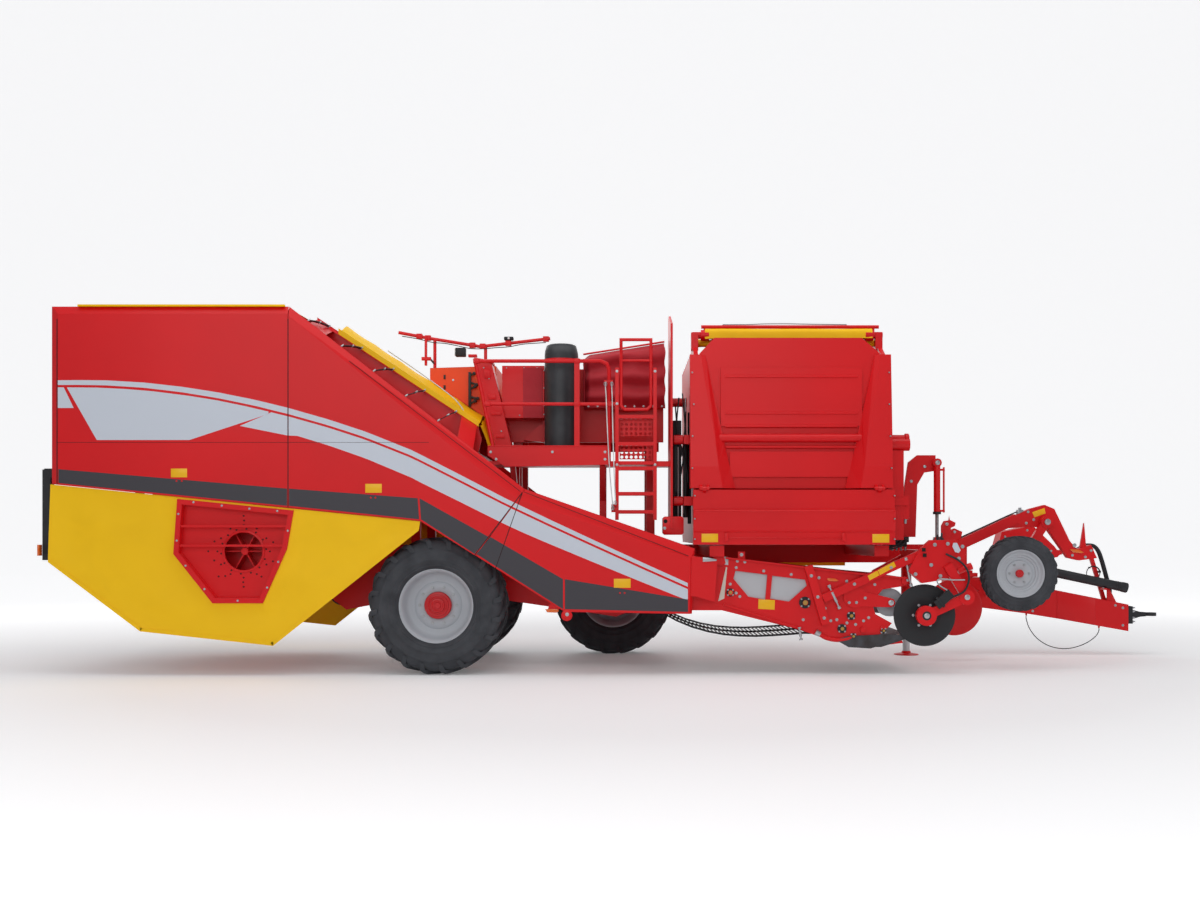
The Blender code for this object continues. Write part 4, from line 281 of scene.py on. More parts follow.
def round_line(name, points, across, count, finish, body="chassis"):
    """A round bent line, such as a hose, a rope or a bent rod, as a curve with closed ends."""
    curve = bpy.data.curves.new(name, "CURVE")
    curve.dimensions = "3D"
    curve.bevel_depth = across / 2
    curve.bevel_resolution = 4
    curve.use_fill_caps = True
    spline = curve.splines.new("POLY")
    places, length = smooth_route(points, count)
    spline.points.add(count - 1)
    for point, place in zip(spline.points, places):
        point.co = (*place, 1.0)
    curve.materials.append(finish)
    made = new_object(name, curve)
    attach(made, body)
    return made, length


def stands_for(node):
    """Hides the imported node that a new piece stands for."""
    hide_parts(node)


for word, side in zip(("hose_near", "hose_far"), HOSE_SIDES):
    route = [(x, side, z) for x, z in HOSE_RUN]
    hose, length = round_line(word + "_bundle", route, HOSE_ACROSS, 48, hose_sleeve, "tongue")
    stands_for(word)

route = [(x, CABLE_SIDE, z) for x, z in CABLE_RUN]
cable, length = round_line("lamp_cable", route, CABLE_ACROSS, 72, cable_jacket, "tongue")
stands_for("drawbar_cable")

for word, (x0, z0), (x1, z1) in ROPE_ENDS:
    route = [(x0, z0 - CORD_GAP), (x0, z0 - 0.06)]
    for share, lag in ((0.12, 0.1), (0.3, 0.22), (0.5, 0.38), (0.7, 0.6), (0.88, 0.86)):
        route.append((x0 + (x1 - x0) * lag, z0 + (z1 - z0) * share))
    route += [(x1, z1 + 0.06), (x1, z1 + CORD_GAP)]
    route = [(x, ROPE_SIDE, z) for x, z in route]
    rope, length = round_line(word + "_line", route, ROPE_ACROSS, 48, white_rope)
    stands_for(word)

# Painted steel: welded frame, axle, platform and sheet covers, shot-blasted and sprayed with one glossy red
# enamel. The wet coat leaves a faint orange peel under a clear gloss, and sheets differ by a shade.

RED = "D80510"


def enamel(name, code, roughness=0.38, gloss=0.05, edge=0.004):
    """Sprayed enamel. Orange peel is 3 mm across, drawn at 12 mm; pressed and cut edges are a little
    round."""
    made, tree, shader = new_finish(name)
    shader.inputs["Roughness"].default_value = roughness
    shader.inputs["Specular IOR Level"].default_value = 0.32
    shader.inputs["Coat Weight"].default_value = gloss
    shader.inputs["Coat Roughness"].default_value = 0.12
    place = add(tree, "ShaderNodeTexCoord")
    clouded(tree, shader, place, {"Scale": 0.9, "Detail": 3.0}, code, (0.35, 0.65),
            (0.95,) * 3, (1.02,) * 3)
    round_edge = add(tree, "ShaderNodeBevel", {"Radius": edge}, samples=3)
    peel = add(tree, "ShaderNodeTexNoise", {"Scale": 80.0, "Detail": 1.0},
               {"Vector": place.outputs["Object"]})
    bump = add(tree, "ShaderNodeBump", {"Strength": 0.12, "Distance": 0.0006},
               {"Height": peel.outputs["Fac"], "Normal": round_edge.outputs["Normal"]})
    tree.links.new(bump.outputs["Normal"], shader.inputs["Normal"])
    return made


red_enamel = enamel("red_enamel", RED)


def coat(finish, *nodes):
    """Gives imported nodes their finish."""
    for name in nodes:
        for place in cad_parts[name].material_slots:
            place.material = finish


coat(red_enamel, "main_frame", "rear_axle", "front_knuckle", "main_web_trough", "fan_casing", "fan_rotor",
     "platform", "elevator_trough", "picking_table", "rear_hood", "lamp_frame", "gate", "bunker",
     "bunker_chute", "digging_frame", "boom", "support_arm", "drawbar", "lift_barrel", "disc_left",
     "panel_rear_right", "panel_rear_left", "panel_middle_right", "panel_middle_left", "panel_front_right")

# Side covers: sheet steel 2 mm thick, folded over along the top and the rear, with printed foils on them:
# a thin and a broad pale stripe in one long curve, a blank pale patch, and a dark band along the foot.

PANEL_FACE = 1.65
SEAM_X = -3.84
FOIL = 0.0008
KINK = (-1.286, 2.022)
SLANT_FOOT = (-1.815, 1.3)
SEAM = 0.006


def loft(rings, closed=False):
    """Skins rings of equal point count; open ends get a cap."""
    count = len(rings[0])
    points = [tuple(p) for ring in rings for p in ring]
    faces = []
    for i in range(len(rings) if closed else len(rings) - 1):
        here, there = i * count, ((i + 1) % len(rings)) * count
        for j in range(count):
            k = (j + 1) % count
            faces.append((here + j, here + k, there + k, there + j))
    if not closed:
        faces.append(tuple(range(count)))
        faces.append(tuple(range((len(rings) - 1) * count, len(rings) * count)))
    return points, faces


def placed(a, b, t, axis):
    """The two outline coordinates a and b, at t along the axis."""
    return {"x": (t, a, b), "y": (a, t, b), "z": (a, b, t)}[axis]


def prism(outline, low, high, axis="y"):
    """A flat outline pulled straight along an axis."""
    return loft([[placed(a, b, t, axis) for a, b in outline] for t in (low, high)])


def block(x, y, z):
    """A block between pairs of limits."""
    return prism([(x[0], z[0]), (x[1], z[0]), (x[1], z[1]), (x[0], z[1])], *y)


def piece(name, shapes, finish, body="chassis", smooth=30, bevel=0.0):
    """One piece made of closed shapes, with its faces out, riding on a body."""
    points, faces = [], []
    for some_points, some_faces in shapes:
        start = len(points)
        points.extend(some_points)
        faces.extend([tuple(start + i for i in face) for face in some_faces])
    mesh = bpy.data.meshes.new(name)
    mesh.from_pydata([tuple(p) for p in points], [], faces)
    work = bmesh.new()
    work.from_mesh(mesh)
    bmesh.ops.recalc_face_normals(work, faces=work.faces)
    if bevel:
        edges = [e for e in work.edges if e.is_manifold and e.calc_face_angle(0.0) > radians(40)]
        bmesh.ops.bevel(work, geom=edges, offset=bevel, segments=2, profile=0.5, affect="EDGES",
                        clamp_overlap=True)
    work.to_mesh(mesh)
    work.free()
    mesh.materials.append(finish)
    mesh.shade_smooth()
    mesh.set_sharp_from_angle(angle=radians(smooth))
    made = new_object(name, mesh)
    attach(made, body)
    return made


def even_finish(name, code, roughness=0.38):
    """Even colour, satin, with a faint grain about 1 mm across: printed vinyl foil, lenses and plastics,
    and also the near-black painted shade of holes and seams.
    """
    made, tree, shader = new_finish(name)
    shader.inputs["Base Color"].default_value = linear(code)
    shader.inputs["Specular IOR Level"].default_value = 0.4
    place = add(tree, "ShaderNodeTexCoord")
    grain = add(tree, "ShaderNodeTexNoise", {"Scale": 700.0}, {"Vector": place.outputs["Object"]})
    sheen = add(tree, "ShaderNodeMapRange", {"To Min": roughness - 0.04, "To Max": roughness + 0.06},
                {"Value": grain.outputs["Fac"]})
    tree.links.new(sheen.outputs["Result"], shader.inputs["Roughness"])
    return made


pale_foil = even_finish("pale_foil", "C9D0DB")
dark_foil = even_finish("dark_foil", "3A383E", 0.45)

# The long curve's upper line as X and Z, rear to front, and how far below it each foil edge lies
LONG_CURVE = (
    (-6.41, 3.195), (-6.1, 3.198), (-5.8, 3.195), (-5.4, 3.172), (-5.0, 3.128), (-4.6, 3.066),
    (-4.2, 2.986), (-3.84, 2.898), (-3.4, 2.772), (-3.0, 2.64), (-2.5, 2.44), (-2.0, 2.185), (-1.5, 1.925),
    (-1.0, 1.685), (-0.5, 1.452), (0.0, 1.222), (0.48, 1.005),
)
THIN_GAP = 0.026


def curve_z(x):
    """Height of the long curve at X."""
    for (ax, az), (bx, bz) in zip(LONG_CURVE, LONG_CURVE[1:]):
        if x <= bx:
            break
    t = (x - ax) / (bx - ax)
    return az + (bz - az) * t


def between(value, table):
    """Straight-line reading of a table of (place, amount)."""
    for (a, p), (b, q) in zip(table, table[1:]):
        if value <= b:
            return p + (q - p) * max(0.0, (value - a) / (b - a))
    return table[-1][1]


THIN_DEPTH = ((-6.41, 0.05), (-4.0, 0.066), (-2.0, 0.058), (0.48, 0.04))
BROAD_DEPTH = ((-6.41, 0.165), (-4.9, 0.165), (-3.84, 0.18), (-2.4, 0.215), (-1.3, 0.2), (0.48, 0.122))


def strip(start, end, top, foot, steps=24):
    """A foil strip between two lines over X. Start and end give X on the top line and on the foot line."""
    shares = [i / steps for i in range(steps + 1)]
    xs = [start[0] + (end[0] - start[0]) * t for t in shares]
    lower_xs = [start[1] + (end[1] - start[1]) * t for t in shares]
    return [(x, top(x)) for x in xs], [(x, foot(x)) for x in lower_xs]


def ribbon(upper, lower, side):
    """A foil as a thin closed strip on the panel's face."""
    y = (side * PANEL_FACE, side * (PANEL_FACE + FOIL))
    rings = [[(a[0], y[0], a[1]), (a[0], y[1], a[1]), (b[0], y[1], b[1]), (b[0], y[0], b[1])]
             for a, b in zip(upper, lower)]
    return loft(rings)


def thin_foot(x):
    """Lower line of the thin stripe."""
    return curve_z(x) - between(x, THIN_DEPTH)


def broad_top(x):
    """Upper line of the broad stripe."""
    return thin_foot(x) - THIN_GAP


def broad_foot(x):
    """Lower line of the broad stripe."""
    return broad_top(x) - between(x, BROAD_DEPTH)


SLANT_LEAN = (KINK[0] - SLANT_FOOT[0]) / (KINK[1] - SLANT_FOOT[1])


def slant_x(z):
    """X of the slanting seam at a height."""
    return KINK[0] + (z - KINK[1]) * SLANT_LEAN


def on_seam(height, offset):
    """X where a line of this height over X meets the slanting seam, moved by an offset."""
    x = KINK[0]
    for _ in range(30):
        x = (x + slant_x(height(x)) + offset) / 2
    return x


# Corners of the blank pale patch, X and Z
PATCH = ((-6.225, 3.112), (-5.905, 2.551), (-4.905, 2.551), (-4.05, 2.832))
FOLD_X = -6.33  # the rear fold's inner edge


def side_foils(side, word):
    """The pale foils of one side. The left side has them on its two rear covers."""
    shapes = []
    for x0, ends in ((FOLD_X + 0.004, (SEAM_X - SEAM,) * 2),
                     (SEAM_X + SEAM, (on_seam(curve_z, -SEAM), on_seam(thin_foot, -SEAM)))):
        shapes.append(ribbon(*strip((x0, x0), ends, curve_z, thin_foot), side))
    # Rear flag, patch, and the broad stripe that starts under the patch's nose
    shapes.append(ribbon([(FOLD_X + 0.004, broad_top(FOLD_X)), (-6.262, broad_top(-6.262))],
                         [(FOLD_X + 0.004, 2.897), (-6.155, 2.897)], side))
    top = [(x, broad_top(x)) for x in (-6.225, -5.9, -5.6, -5.3, -4.905, -4.6, -4.3, -4.05)]
    foot = [PATCH[0], (-5.905, 2.551), (-5.6, 2.551), (-5.3, 2.551), PATCH[2], (-4.6, 2.652), (-4.3, 2.75),
            (-4.055, 2.831)]
    shapes.append(ribbon(top, foot, side))
    upper = [(-4.02, broad_top(-4.02)), (SEAM_X - SEAM, broad_top(SEAM_X))]
    lower = [(-4.36, 2.703), (SEAM_X - SEAM, 2.6)]
    shapes.append(ribbon(upper, lower, side))
    ends = (on_seam(broad_top, -SEAM), on_seam(broad_foot, -SEAM))
    upper, lower = strip((SEAM_X + SEAM,) * 2, ends, broad_top, broad_foot)
    lower[0] = (SEAM_X + SEAM, 2.6)
    shapes.append(ribbon(upper, lower, side))
    if side < 0:
        for top_line, foot_line in ((curve_z, thin_foot), (broad_top, broad_foot)):
            starts = (on_seam(top_line, 2 * SEAM), on_seam(foot_line, 2 * SEAM))
            shapes.append(ribbon(*strip(starts, (0.478, 0.478), top_line, foot_line), side))
    piece("pale_foil_" + word, shapes, pale_foil)


BOTTOM = ((-6.33, 2.068), (-3.84, 1.822), (-2.414, 1.676), (-1.815, 1.302), (-0.86, 0.706), (0.49, 0.676))
BAND_TOP = ((-6.33, 2.236), (-3.84, 2.026), (-2.43, 1.922), (-1.665, 1.505), (-0.86, 1.048), (0.49, 0.828))


def foot_bands(side, word):
    """The dark foil along the panels' lower edge, with a red edge line left free around it."""
    free = 0.018
    shapes = []
    spans = [(0, 1), (1, 2)] + ([(2, 3), (3, 4), (4, 5)] if side < 0 else [(2, 3)])
    for a, b in spans:
        (ax, az), (bx, bz) = BOTTOM[a], BOTTOM[b]
        (cx, cz), (dx, dz) = BAND_TOP[a], BAND_TOP[b]
        trim = 0.01
        upper = [(cx + trim, cz), (dx - trim, dz)]
        lower = [(ax + trim, az + free), (bx - trim, bz + free)]
        shapes.append(ribbon(upper, lower, side))
    piece("foot_band_" + word, shapes, dark_foil)


for side, word in ((-1, "right"), (1, "left")):
    side_foils(side, word)
    foot_bands(side, word)

# Road wheels: pressed steel dishes in silver enamel, bolted to red hubs by ten nuts. The radial tyres are
# moulded rubber: matt, grey-black, with slanting lugs and rings pressed into the flanks.

WHEEL_HEIGHT = 0.75
AXLE_X = -2.258
FRONT_WHEEL_X = -0.343
SUPPORT_WHEEL = (4.251, -0.95, 1.089)
TURNED = 96  # faces round a large turned piece
# Each wheel: word, body, X, Y and Z of its middle, width, radius, seat radius, lugs, lug height, and the
# side that its dish faces.
WHEELS = (
    ("rear_right", "wheel_rear_right", AXLE_X, -1.2, WHEEL_HEIGHT, 0.78, 0.75, 0.387, 20, 0.035, -1),
    ("rear_left", "wheel_rear_left", AXLE_X, 1.24, WHEEL_HEIGHT, 0.7, 0.75, 0.387, 20, 0.035, 1),
    ("front_left", "wheel_front_left", FRONT_WHEEL_X, 1.3, WHEEL_HEIGHT, 0.58, 0.75, 0.387, 20, 0.035, 1),
    ("support", "support_wheel", *SUPPORT_WHEEL, 0.21, 0.425, 0.255, 26, 0.018, -1),
)
COLUMNS = ("word", "body", "x", "y", "z", "width", "radius", "seat", "lugs", "lug_height", "side")

tyre_rubber = rubber("tyre_rubber", "3B3D42")
silver_enamel = enamel("silver_enamel", "B4B8BE", 0.38, 0.12, 0.002)
hub_enamel = enamel("hub_enamel", "C8141C", 0.35, 0.2, 0.002)
zinc = enamel("zinc_plate", "A9ABAE", 0.3, 0.0, 0.001)
zinc.node_tree.nodes["Principled BSDF"].inputs["Metallic"].default_value = 0.85


def turned(profile, centre, axis="y", sides=TURNED):
    """Turns a profile of (radius, distance) round an axis. Points of no radius become poles."""
    points, rings = [], []
    for radius, t in profile:
        if radius == 0.0:
            rings.append([len(points)])
            points.append(placed(centre[0], centre[1], t, axis))
            continue
        rings.append(list(range(len(points), len(points) + sides)))
        for i in range(sides):
            a = 2 * pi * i / sides
            points.append(placed(centre[0] + radius * cos(a), centre[1] + radius * sin(a), t, axis))
    pairs = list(zip(rings, rings[1:]))
    if len(rings[0]) > 1:
        pairs.append((rings[-1], rings[0]))
    faces = []
    for one, two in pairs:
        for j in range(sides):
            k = (j + 1) % sides
            if len(one) == 1:
                faces.append((one[0], two[j], two[k]))
            elif len(two) == 1:
                faces.append((one[j], one[k], two[0]))
            else:
                faces.append((one[j], one[k], two[k], two[j]))
    return points, faces


def bar(centre, radius, low, high, axis="y", sides=24):
    """A round bar along an axis."""
    return turned([(0.0, low), (radius, low), (radius, high), (0.0, high)], centre, axis, sides)


def ring_tree():
    """Geometry nodes: copies of one shape evenly round the Y axis, moved to a centre."""
    tree = bpy.data.node_groups.new("evenly_round", "GeometryNodeTree")
    for name, kind in (("Shape", "Geometry"), ("Count", "Int"), ("Centre", "Vector"), ("Start", "Float"),
                       ("Finish", "Material")):
        tree.interface.new_socket(name=name, in_out="INPUT", socket_type="NodeSocket" + kind)
    tree.interface.new_socket(name="Geometry", in_out="OUTPUT", socket_type="NodeSocketGeometry")
    start = add(tree, "NodeGroupInput")
    line = add(tree, "GeometryNodeMeshLine", {"Offset": (0.0, 0.0, 0.0)}, {"Count": start.outputs["Count"]})
    index = add(tree, "GeometryNodeInputIndex")
    step = add(tree, "ShaderNodeMath", {0: 2 * pi}, {1: start.outputs["Count"]}, operation="DIVIDE")
    turn = add(tree, "ShaderNodeMath", {},
               {0: index.outputs[0], 1: step.outputs[0], 2: start.outputs["Start"]},
               operation="MULTIPLY_ADD")
    spin = add(tree, "ShaderNodeCombineXYZ", {}, {"Y": turn.outputs[0]})
    copies = add(tree, "GeometryNodeInstanceOnPoints", {},
                 {"Points": line.outputs["Mesh"], "Instance": start.outputs["Shape"],
                  "Rotation": spin.outputs[0]})
    real = add(tree, "GeometryNodeRealizeInstances", {}, {"Geometry": copies.outputs["Instances"]})
    there = add(tree, "GeometryNodeTransform", {},
                {"Geometry": real.outputs[0], "Translation": start.outputs["Centre"]})
    coated = add(tree, "GeometryNodeSetMaterial", {},
                 {"Geometry": there.outputs[0], "Material": start.outputs["Finish"]})
    add(tree, "NodeGroupOutput", {}, {0: coated.outputs[0]})
    return tree


def settle(made):
    """Makes a piece's modifiers part of its plain mesh."""
    made.data = bpy.data.meshes.new_from_object(made.evaluated_get(bpy.context.evaluated_depsgraph_get()))
    made.modifiers.clear()


def grown(made, tree, **values):
    """Runs a geometry node tree on a piece and keeps the result as its plain mesh."""
    step = made.modifiers.new("grown", "NODES")
    step.node_group = tree
    for item in tree.interface.items_tree:
        if item.in_out == "INPUT" and item.name.lower() in values:
            step[item.identifier] = values[item.name.lower()]
    bpy.context.view_layer.update()
    settle(made)
    made.data.shade_smooth()
    made.data.set_sharp_from_angle(angle=radians(32))
    return made


evenly_round = ring_tree()


def nut(radius, height, place, side, washer=1.5):
    """A hexagon nut on its washer, facing out along Y."""
    x, y, z = place
    top = y + side * height * 1.1
    return [
        turned([(0.0, y), (radius, y), (radius, y + side * height), (radius * 0.85, top), (0.0, top)],
               (x, z), sides=6),
        bar((x, z), radius * washer, y, y + side * height * 0.25, sides=12),
    ]


def nuts_at(y, places, radius, height, side=-1):
    """Nuts at these places in X and Z on a face at this Y."""
    return [shape for x, z in places for shape in nut(radius, height, (x, y, z), side)]


def tyre_profile(width, radius, seat, lug_height):
    """The carcass with a bead, a flank with three pressed rings, a round shoulder and a crown."""
    half = width / 2
    body = radius - lug_height
    flank = body - seat
    one_side = [(seat + 0.001, 0.8), (seat + 0.028, 0.86), (seat + 0.034, 0.9)]
    for share, out in ((0.16, 0.935), (0.17, 0.945), (0.2, 0.945), (0.21, 0.938), (0.34, 0.985),
                       (0.35, 0.995), (0.38, 0.997), (0.39, 0.99), (0.52, 1.0), (0.64, 0.995), (0.65, 1.0),
                       (0.68, 0.995), (0.69, 0.985), (0.82, 0.955), (0.92, 0.9), (0.975, 0.82),
                       (1.0, 0.7), (1.006, 0.35)):
        one_side.append((seat + flank * share, out))
    other = [(r, -share) for r, share in reversed(one_side)]
    return [(r, share * half) for r, share in one_side + other]


def lug(width, radius, lug_height, lean, hand):
    """One slanting lug at the top of a tyre whose axis is Y: it runs from the shoulder over the crown's
    middle."""
    half = width / 2
    body = radius - lug_height
    rows = []  # place across, drop of the top, drop of the foot, turn, half length
    for across, drop, turn, long in ((0.985, 0.115, 1.0, 0.024), (0.94, 0.03, 0.92, 0.026),
                                     (0.8, 0.002, 0.78, 0.026), (0.45, 0.0, 0.42, 0.024),
                                     (0.1, 0.0, 0.08, 0.023), (-0.06, 0.002, -0.04, 0.016)):
        rows.append((hand * across * half, radius - drop * lug_height / 0.035, turn * lean,
                     long * radius / 0.75))
    rings = []
    for y, top, turn, long in rows:
        foot = min(top - 0.004, body - 0.012)
        ring = []
        for r, reach in ((foot, 1.25), (top - 0.006, 1.0), (top, 0.86)):
            ring.append((r, turn + long * reach / radius))
        for r, reach in ((top, 0.86), (top - 0.006, 1.0), (foot, 1.25)):
            ring.append((r, turn - long * reach / radius))
        rings.append([(r * sin(a), y, r * cos(a)) for r, a in ring])
    return loft(rings)


def tyre(wheel):
    x, y, z = wheel["x"], wheel["y"], wheel["z"]
    profile = [(r, y + t) for r, t in tyre_profile(wheel["width"], wheel["radius"], wheel["seat"],
                                                   wheel["lug_height"])]
    made = piece("tyre_" + wheel["word"] + "_carcass", [turned(profile, (x, z), sides=120)], tyre_rubber,
                 wheel["body"], 60)
    stands_for("tyre_" + wheel["word"])
    pitch = 2 * pi / wheel["lugs"]
    shapes = [lug(wheel["width"], wheel["radius"], wheel["lug_height"], pitch * 1.25, 1)]
    points, faces = lug(wheel["width"], wheel["radius"], wheel["lug_height"], pitch * 1.25, -1)
    a = pitch / 2
    shapes.append(([(p[0] * cos(a) + p[2] * sin(a), p[1], p[2] * cos(a) - p[0] * sin(a)) for p in points],
                   faces))
    lugs = piece("tyre_" + wheel["word"] + "_lugs", shapes, tyre_rubber, wheel["body"])
    grown(lugs, evenly_round, count=wheel["lugs"], centre=(x, y, z), start=0.0, finish=tyre_rubber)


def dish(wheel, profile, hub, nuts_on, nut_count, nut_size):
    """The pressed dish, the red hub cap with its rings, and the ring of nuts."""
    x, y, z, side = wheel["x"], wheel["y"], wheel["z"], wheel["side"]
    rim = piece("rim_" + wheel["word"] + "_dish", [turned([(r, y + side * t) for r, t in profile], (x, z))],
                silver_enamel, wheel["body"], 40)
    stands_for("rim_" + wheel["word"])
    cap = piece("hub_" + wheel["word"], [turned([(r, y + side * t) for r, t in hub], (x, z))], hub_enamel,
                wheel["body"], 40)
    radius, face = nuts_on
    nuts = piece("wheel_nuts_" + wheel["word"], nut(nut_size, nut_size * 1.2, (0.0, side * face, radius),
                                                    side), zinc, wheel["body"])
    grown(nuts, evenly_round, count=nut_count, centre=(x, y, z), start=pi / nut_count, finish=zinc)


for row in WHEELS[:3]:
    wheel = dict(zip(COLUMNS, row))
    tyre(wheel)
    lip = 0.84 * wheel["width"] / 2
    face = lip - 0.2
    profile = [(0.06, -lip + 0.06), (0.33, face - 0.03), (0.362, -lip + 0.03), (0.39, -lip), (0.408, -lip),
               (0.41, -lip + 0.006), (0.396, -lip + 0.016), (0.3865, -0.8 * wheel["width"] / 2),
               (0.3865, 0.8 * wheel["width"] / 2), (0.396, lip - 0.016), (0.41, lip - 0.006), (0.408, lip),
               (0.398, lip), (0.388, lip - 0.012), (0.372, lip - 0.03), (0.366, face + 0.055),
               (0.352, face + 0.03), (0.34, face + 0.012), (0.322, face + 0.006), (0.29, face),
               (0.262, face - 0.004), (0.25, face + 0.006), (0.165, face + 0.008), (0.15, face + 0.004),
               (0.06, face + 0.004)]
    hub = [(0.0, face - 0.02), (0.15, face - 0.02), (0.15, face + 0.045), (0.143, face + 0.055),
           (0.12, face + 0.058), (0.116, face + 0.07), (0.1, face + 0.072), (0.095, face + 0.064),
           (0.08, face + 0.064), (0.074, face + 0.084), (0.06, face + 0.088), (0.054, face + 0.082),
           (0.04, face + 0.082), (0.034, face + 0.094), (0.0, face + 0.096)]
    dish(wheel, profile, hub, (0.205, face + 0.007), 10, 0.013)

small = dict(zip(COLUMNS, WHEELS[3]))
tyre(small)
dish(small, [(0.03, -0.03), (0.235, -0.03), (0.238, -0.0895), (0.262, -0.0895), (0.272, -0.084),
             (0.256, -0.078), (0.2545, 0.078), (0.272, 0.084), (0.27, 0.0895), (0.258, 0.0895),
             (0.248, 0.08), (0.24, 0.06), (0.228, 0.052), (0.212, 0.05), (0.206, 0.038), (0.186, 0.034),
             (0.18, 0.022), (0.152, 0.018), (0.146, 0.03), (0.085, 0.03), (0.076, 0.024), (0.03, 0.024)],
     [(0.0, 0.0), (0.044, 0.0), (0.044, 0.055), (0.038, 0.064), (0.022, 0.068), (0.018, 0.078),
      (0.0, 0.08)], (0.11, 0.03), 6, 0.01)

# Skirts: yellow lorry tarpaulin, a polyester weave coated with soft PVC, hung from the panels' lower edge.
# The coat is satin and follows broad creases; the cut edges are folded back 40 mm and welded.

SKIRT_OUT = PANEL_FACE - 0.006
SKIRT_T = 0.003
HEM = 0.04


def tarpaulin(name, code, roughness=0.5):
    """PVC-coated weave. Threads lie 0.8 mm apart, drawn at 5 mm so that they show; dirt clouds it a
    little."""
    made, tree, shader = new_finish(name)
    shader.inputs["Roughness"].default_value = roughness
    shader.inputs["Specular IOR Level"].default_value = 0.25
    place = add(tree, "ShaderNodeTexCoord")
    clouded(tree, shader, place, {"Scale": 2.2, "Detail": 5.0, "Distortion": 0.6}, code, (0.3, 0.7),
            (0.975, 0.965, 0.95), (1.02, 1.02, 1.05))
    heights = []
    for direction in ("X", "Z"):
        thread = add(tree, "ShaderNodeTexWave", {"Scale": 62.0}, {"Vector": place.outputs["Object"]},
                     bands_direction=direction)
        heights.append(thread.outputs["Fac"])
    weave = add(tree, "ShaderNodeMath", {}, {0: heights[0], 1: heights[1]}, operation="MULTIPLY")
    fine = add(tree, "ShaderNodeBump", {"Strength": 0.08, "Distance": 0.0004}, {"Height": weave.outputs[0]})
    creases = add(tree, "ShaderNodeTexNoise", {"Scale": 2.2, "Detail": 2.0, "Roughness": 0.4,
                                               "Distortion": 1.4}, {"Vector": place.outputs["Object"]})
    broad = add(tree, "ShaderNodeBump", {"Strength": 0.16, "Distance": 0.05},
                {"Height": creases.outputs["Fac"], "Normal": fine.outputs["Normal"]})
    tree.links.new(broad.outputs["Normal"], shader.inputs["Normal"])
    return made


yellow_tarpaulin = tarpaulin("yellow_tarpaulin", "F8C508")
red_tarpaulin = tarpaulin("red_tarpaulin", "B52631", 0.55)

SKIRT = ((-6.41, 2.072), (-6.438, 1.233), (-5.441, 0.483), (-4.004, 0.327), (-2.43, 1.573), (-2.414, 1.672))
HATCH = ((-5.035, 1.915), (-3.778, 1.79), (-3.851, 1.374), (-4.112, 0.788), (-4.654, 0.788), (-5.077, 1.32))


def inside(point, outline):
    """Whether a point lies inside an outline."""
    x, z = point
    crossed = False
    for (ax, az), (bx, bz) in zip(outline, outline[1:] + outline[:1]):
        if (az > z) != (bz > z) and x < ax + (z - az) * (bx - ax) / (bz - az):
            crossed = not crossed
    return crossed


def nearest_edge(point, outline):
    """How far a point is from an outline."""
    best = 9.0
    for a, b in zip(outline, outline[1:] + outline[:1]):
        a, b, p = Vector(a), Vector(b), Vector(point)
        t = max(0.0, min(1.0, (p - a).dot(b - a) / (b - a).length_squared))
        best = min(best, (p - a - (b - a) * t).length)
    return best


def clipped_sheet(outline, hole, cell):
    """A flat net of small cells inside an outline, with its edge drawn onto the outline's own line and a
    hole left free."""
    work = bmesh.new()
    low_x, high_x = min(p[0] for p in outline), max(p[0] for p in outline)
    low_z, high_z = min(p[1] for p in outline), max(p[1] for p in outline)
    ring = [work.verts.new((x, 0, z)) for x, z in outline]
    work.faces.new(ring)
    cuts = [((1, 0, 0), low_x + cell * i) for i in range(1, int((high_x - low_x) / cell) + 1)]
    cuts += [((0, 0, 1), low_z + cell * i) for i in range(1, int((high_z - low_z) / cell) + 1)]
    for (nx, ny, nz), place in cuts:
        bmesh.ops.bisect_plane(work, geom=work.verts[:] + work.edges[:] + work.faces[:],
                               plane_co=(place * nx, 0, place * nz), plane_no=(nx, ny, nz))
    for (ax, az), (bx, bz) in zip(hole, hole[1:] + hole[:1]):
        bmesh.ops.bisect_plane(work, geom=work.verts[:] + work.edges[:] + work.faces[:],
                               plane_co=(ax, 0, az), plane_no=(bz - az, 0, ax - bx))
    if hole:
        gone = [f for f in work.faces if inside((f.calc_center_median().x, f.calc_center_median().z), hole)]
        bmesh.ops.delete(work, geom=gone, context="FACES")
    return work


def walled(name, mesh, finish, body, thickness, smooth=None):
    """A thin shape given a wall of even thickness, riding on a body."""
    mesh.materials.append(finish)
    made = new_object(name, mesh)
    wall = made.modifiers.new("wall", "SOLIDIFY")
    wall.thickness = thickness
    wall.offset = 0.0
    settle(made)
    if smooth:
        made.data.shade_smooth()
        made.data.set_sharp_from_angle(angle=radians(smooth))
    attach(made, body)
    return made


def hung_sheet(name, outline, hole, y, side, finish, body, waves, cell=0.06, thickness=SKIRT_T):
    """A tarpaulin on one plane, with creases that run down and across. It stays flat at its edges."""
    work = clipped_sheet(outline, hole, cell)
    for v in work.verts:
        free = min(1.0, nearest_edge((v.co.x, v.co.z), outline) / 0.22)
        if hole:
            free = min(free, nearest_edge((v.co.x, v.co.z), hole) / 0.1)
        depth = 0.0
        for run, rise, turn, high in waves:
            depth += high * sin(v.co.x * run + v.co.z * rise + turn
                                + 1.4 * noise.noise(Vector((v.co.x, 0, v.co.z)) * 0.9))
        depth += 0.004 * noise.noise(Vector((v.co.x * 3.0, side, v.co.z * 3.0)))
        v.co.y = y - side * (0.008 + abs(depth)) * max(0.0, free)
    bmesh.ops.recalc_face_normals(work, faces=work.faces)
    mesh = bpy.data.meshes.new(name)
    work.to_mesh(mesh)
    work.free()
    return walled(name, mesh, finish, body, thickness, 50)


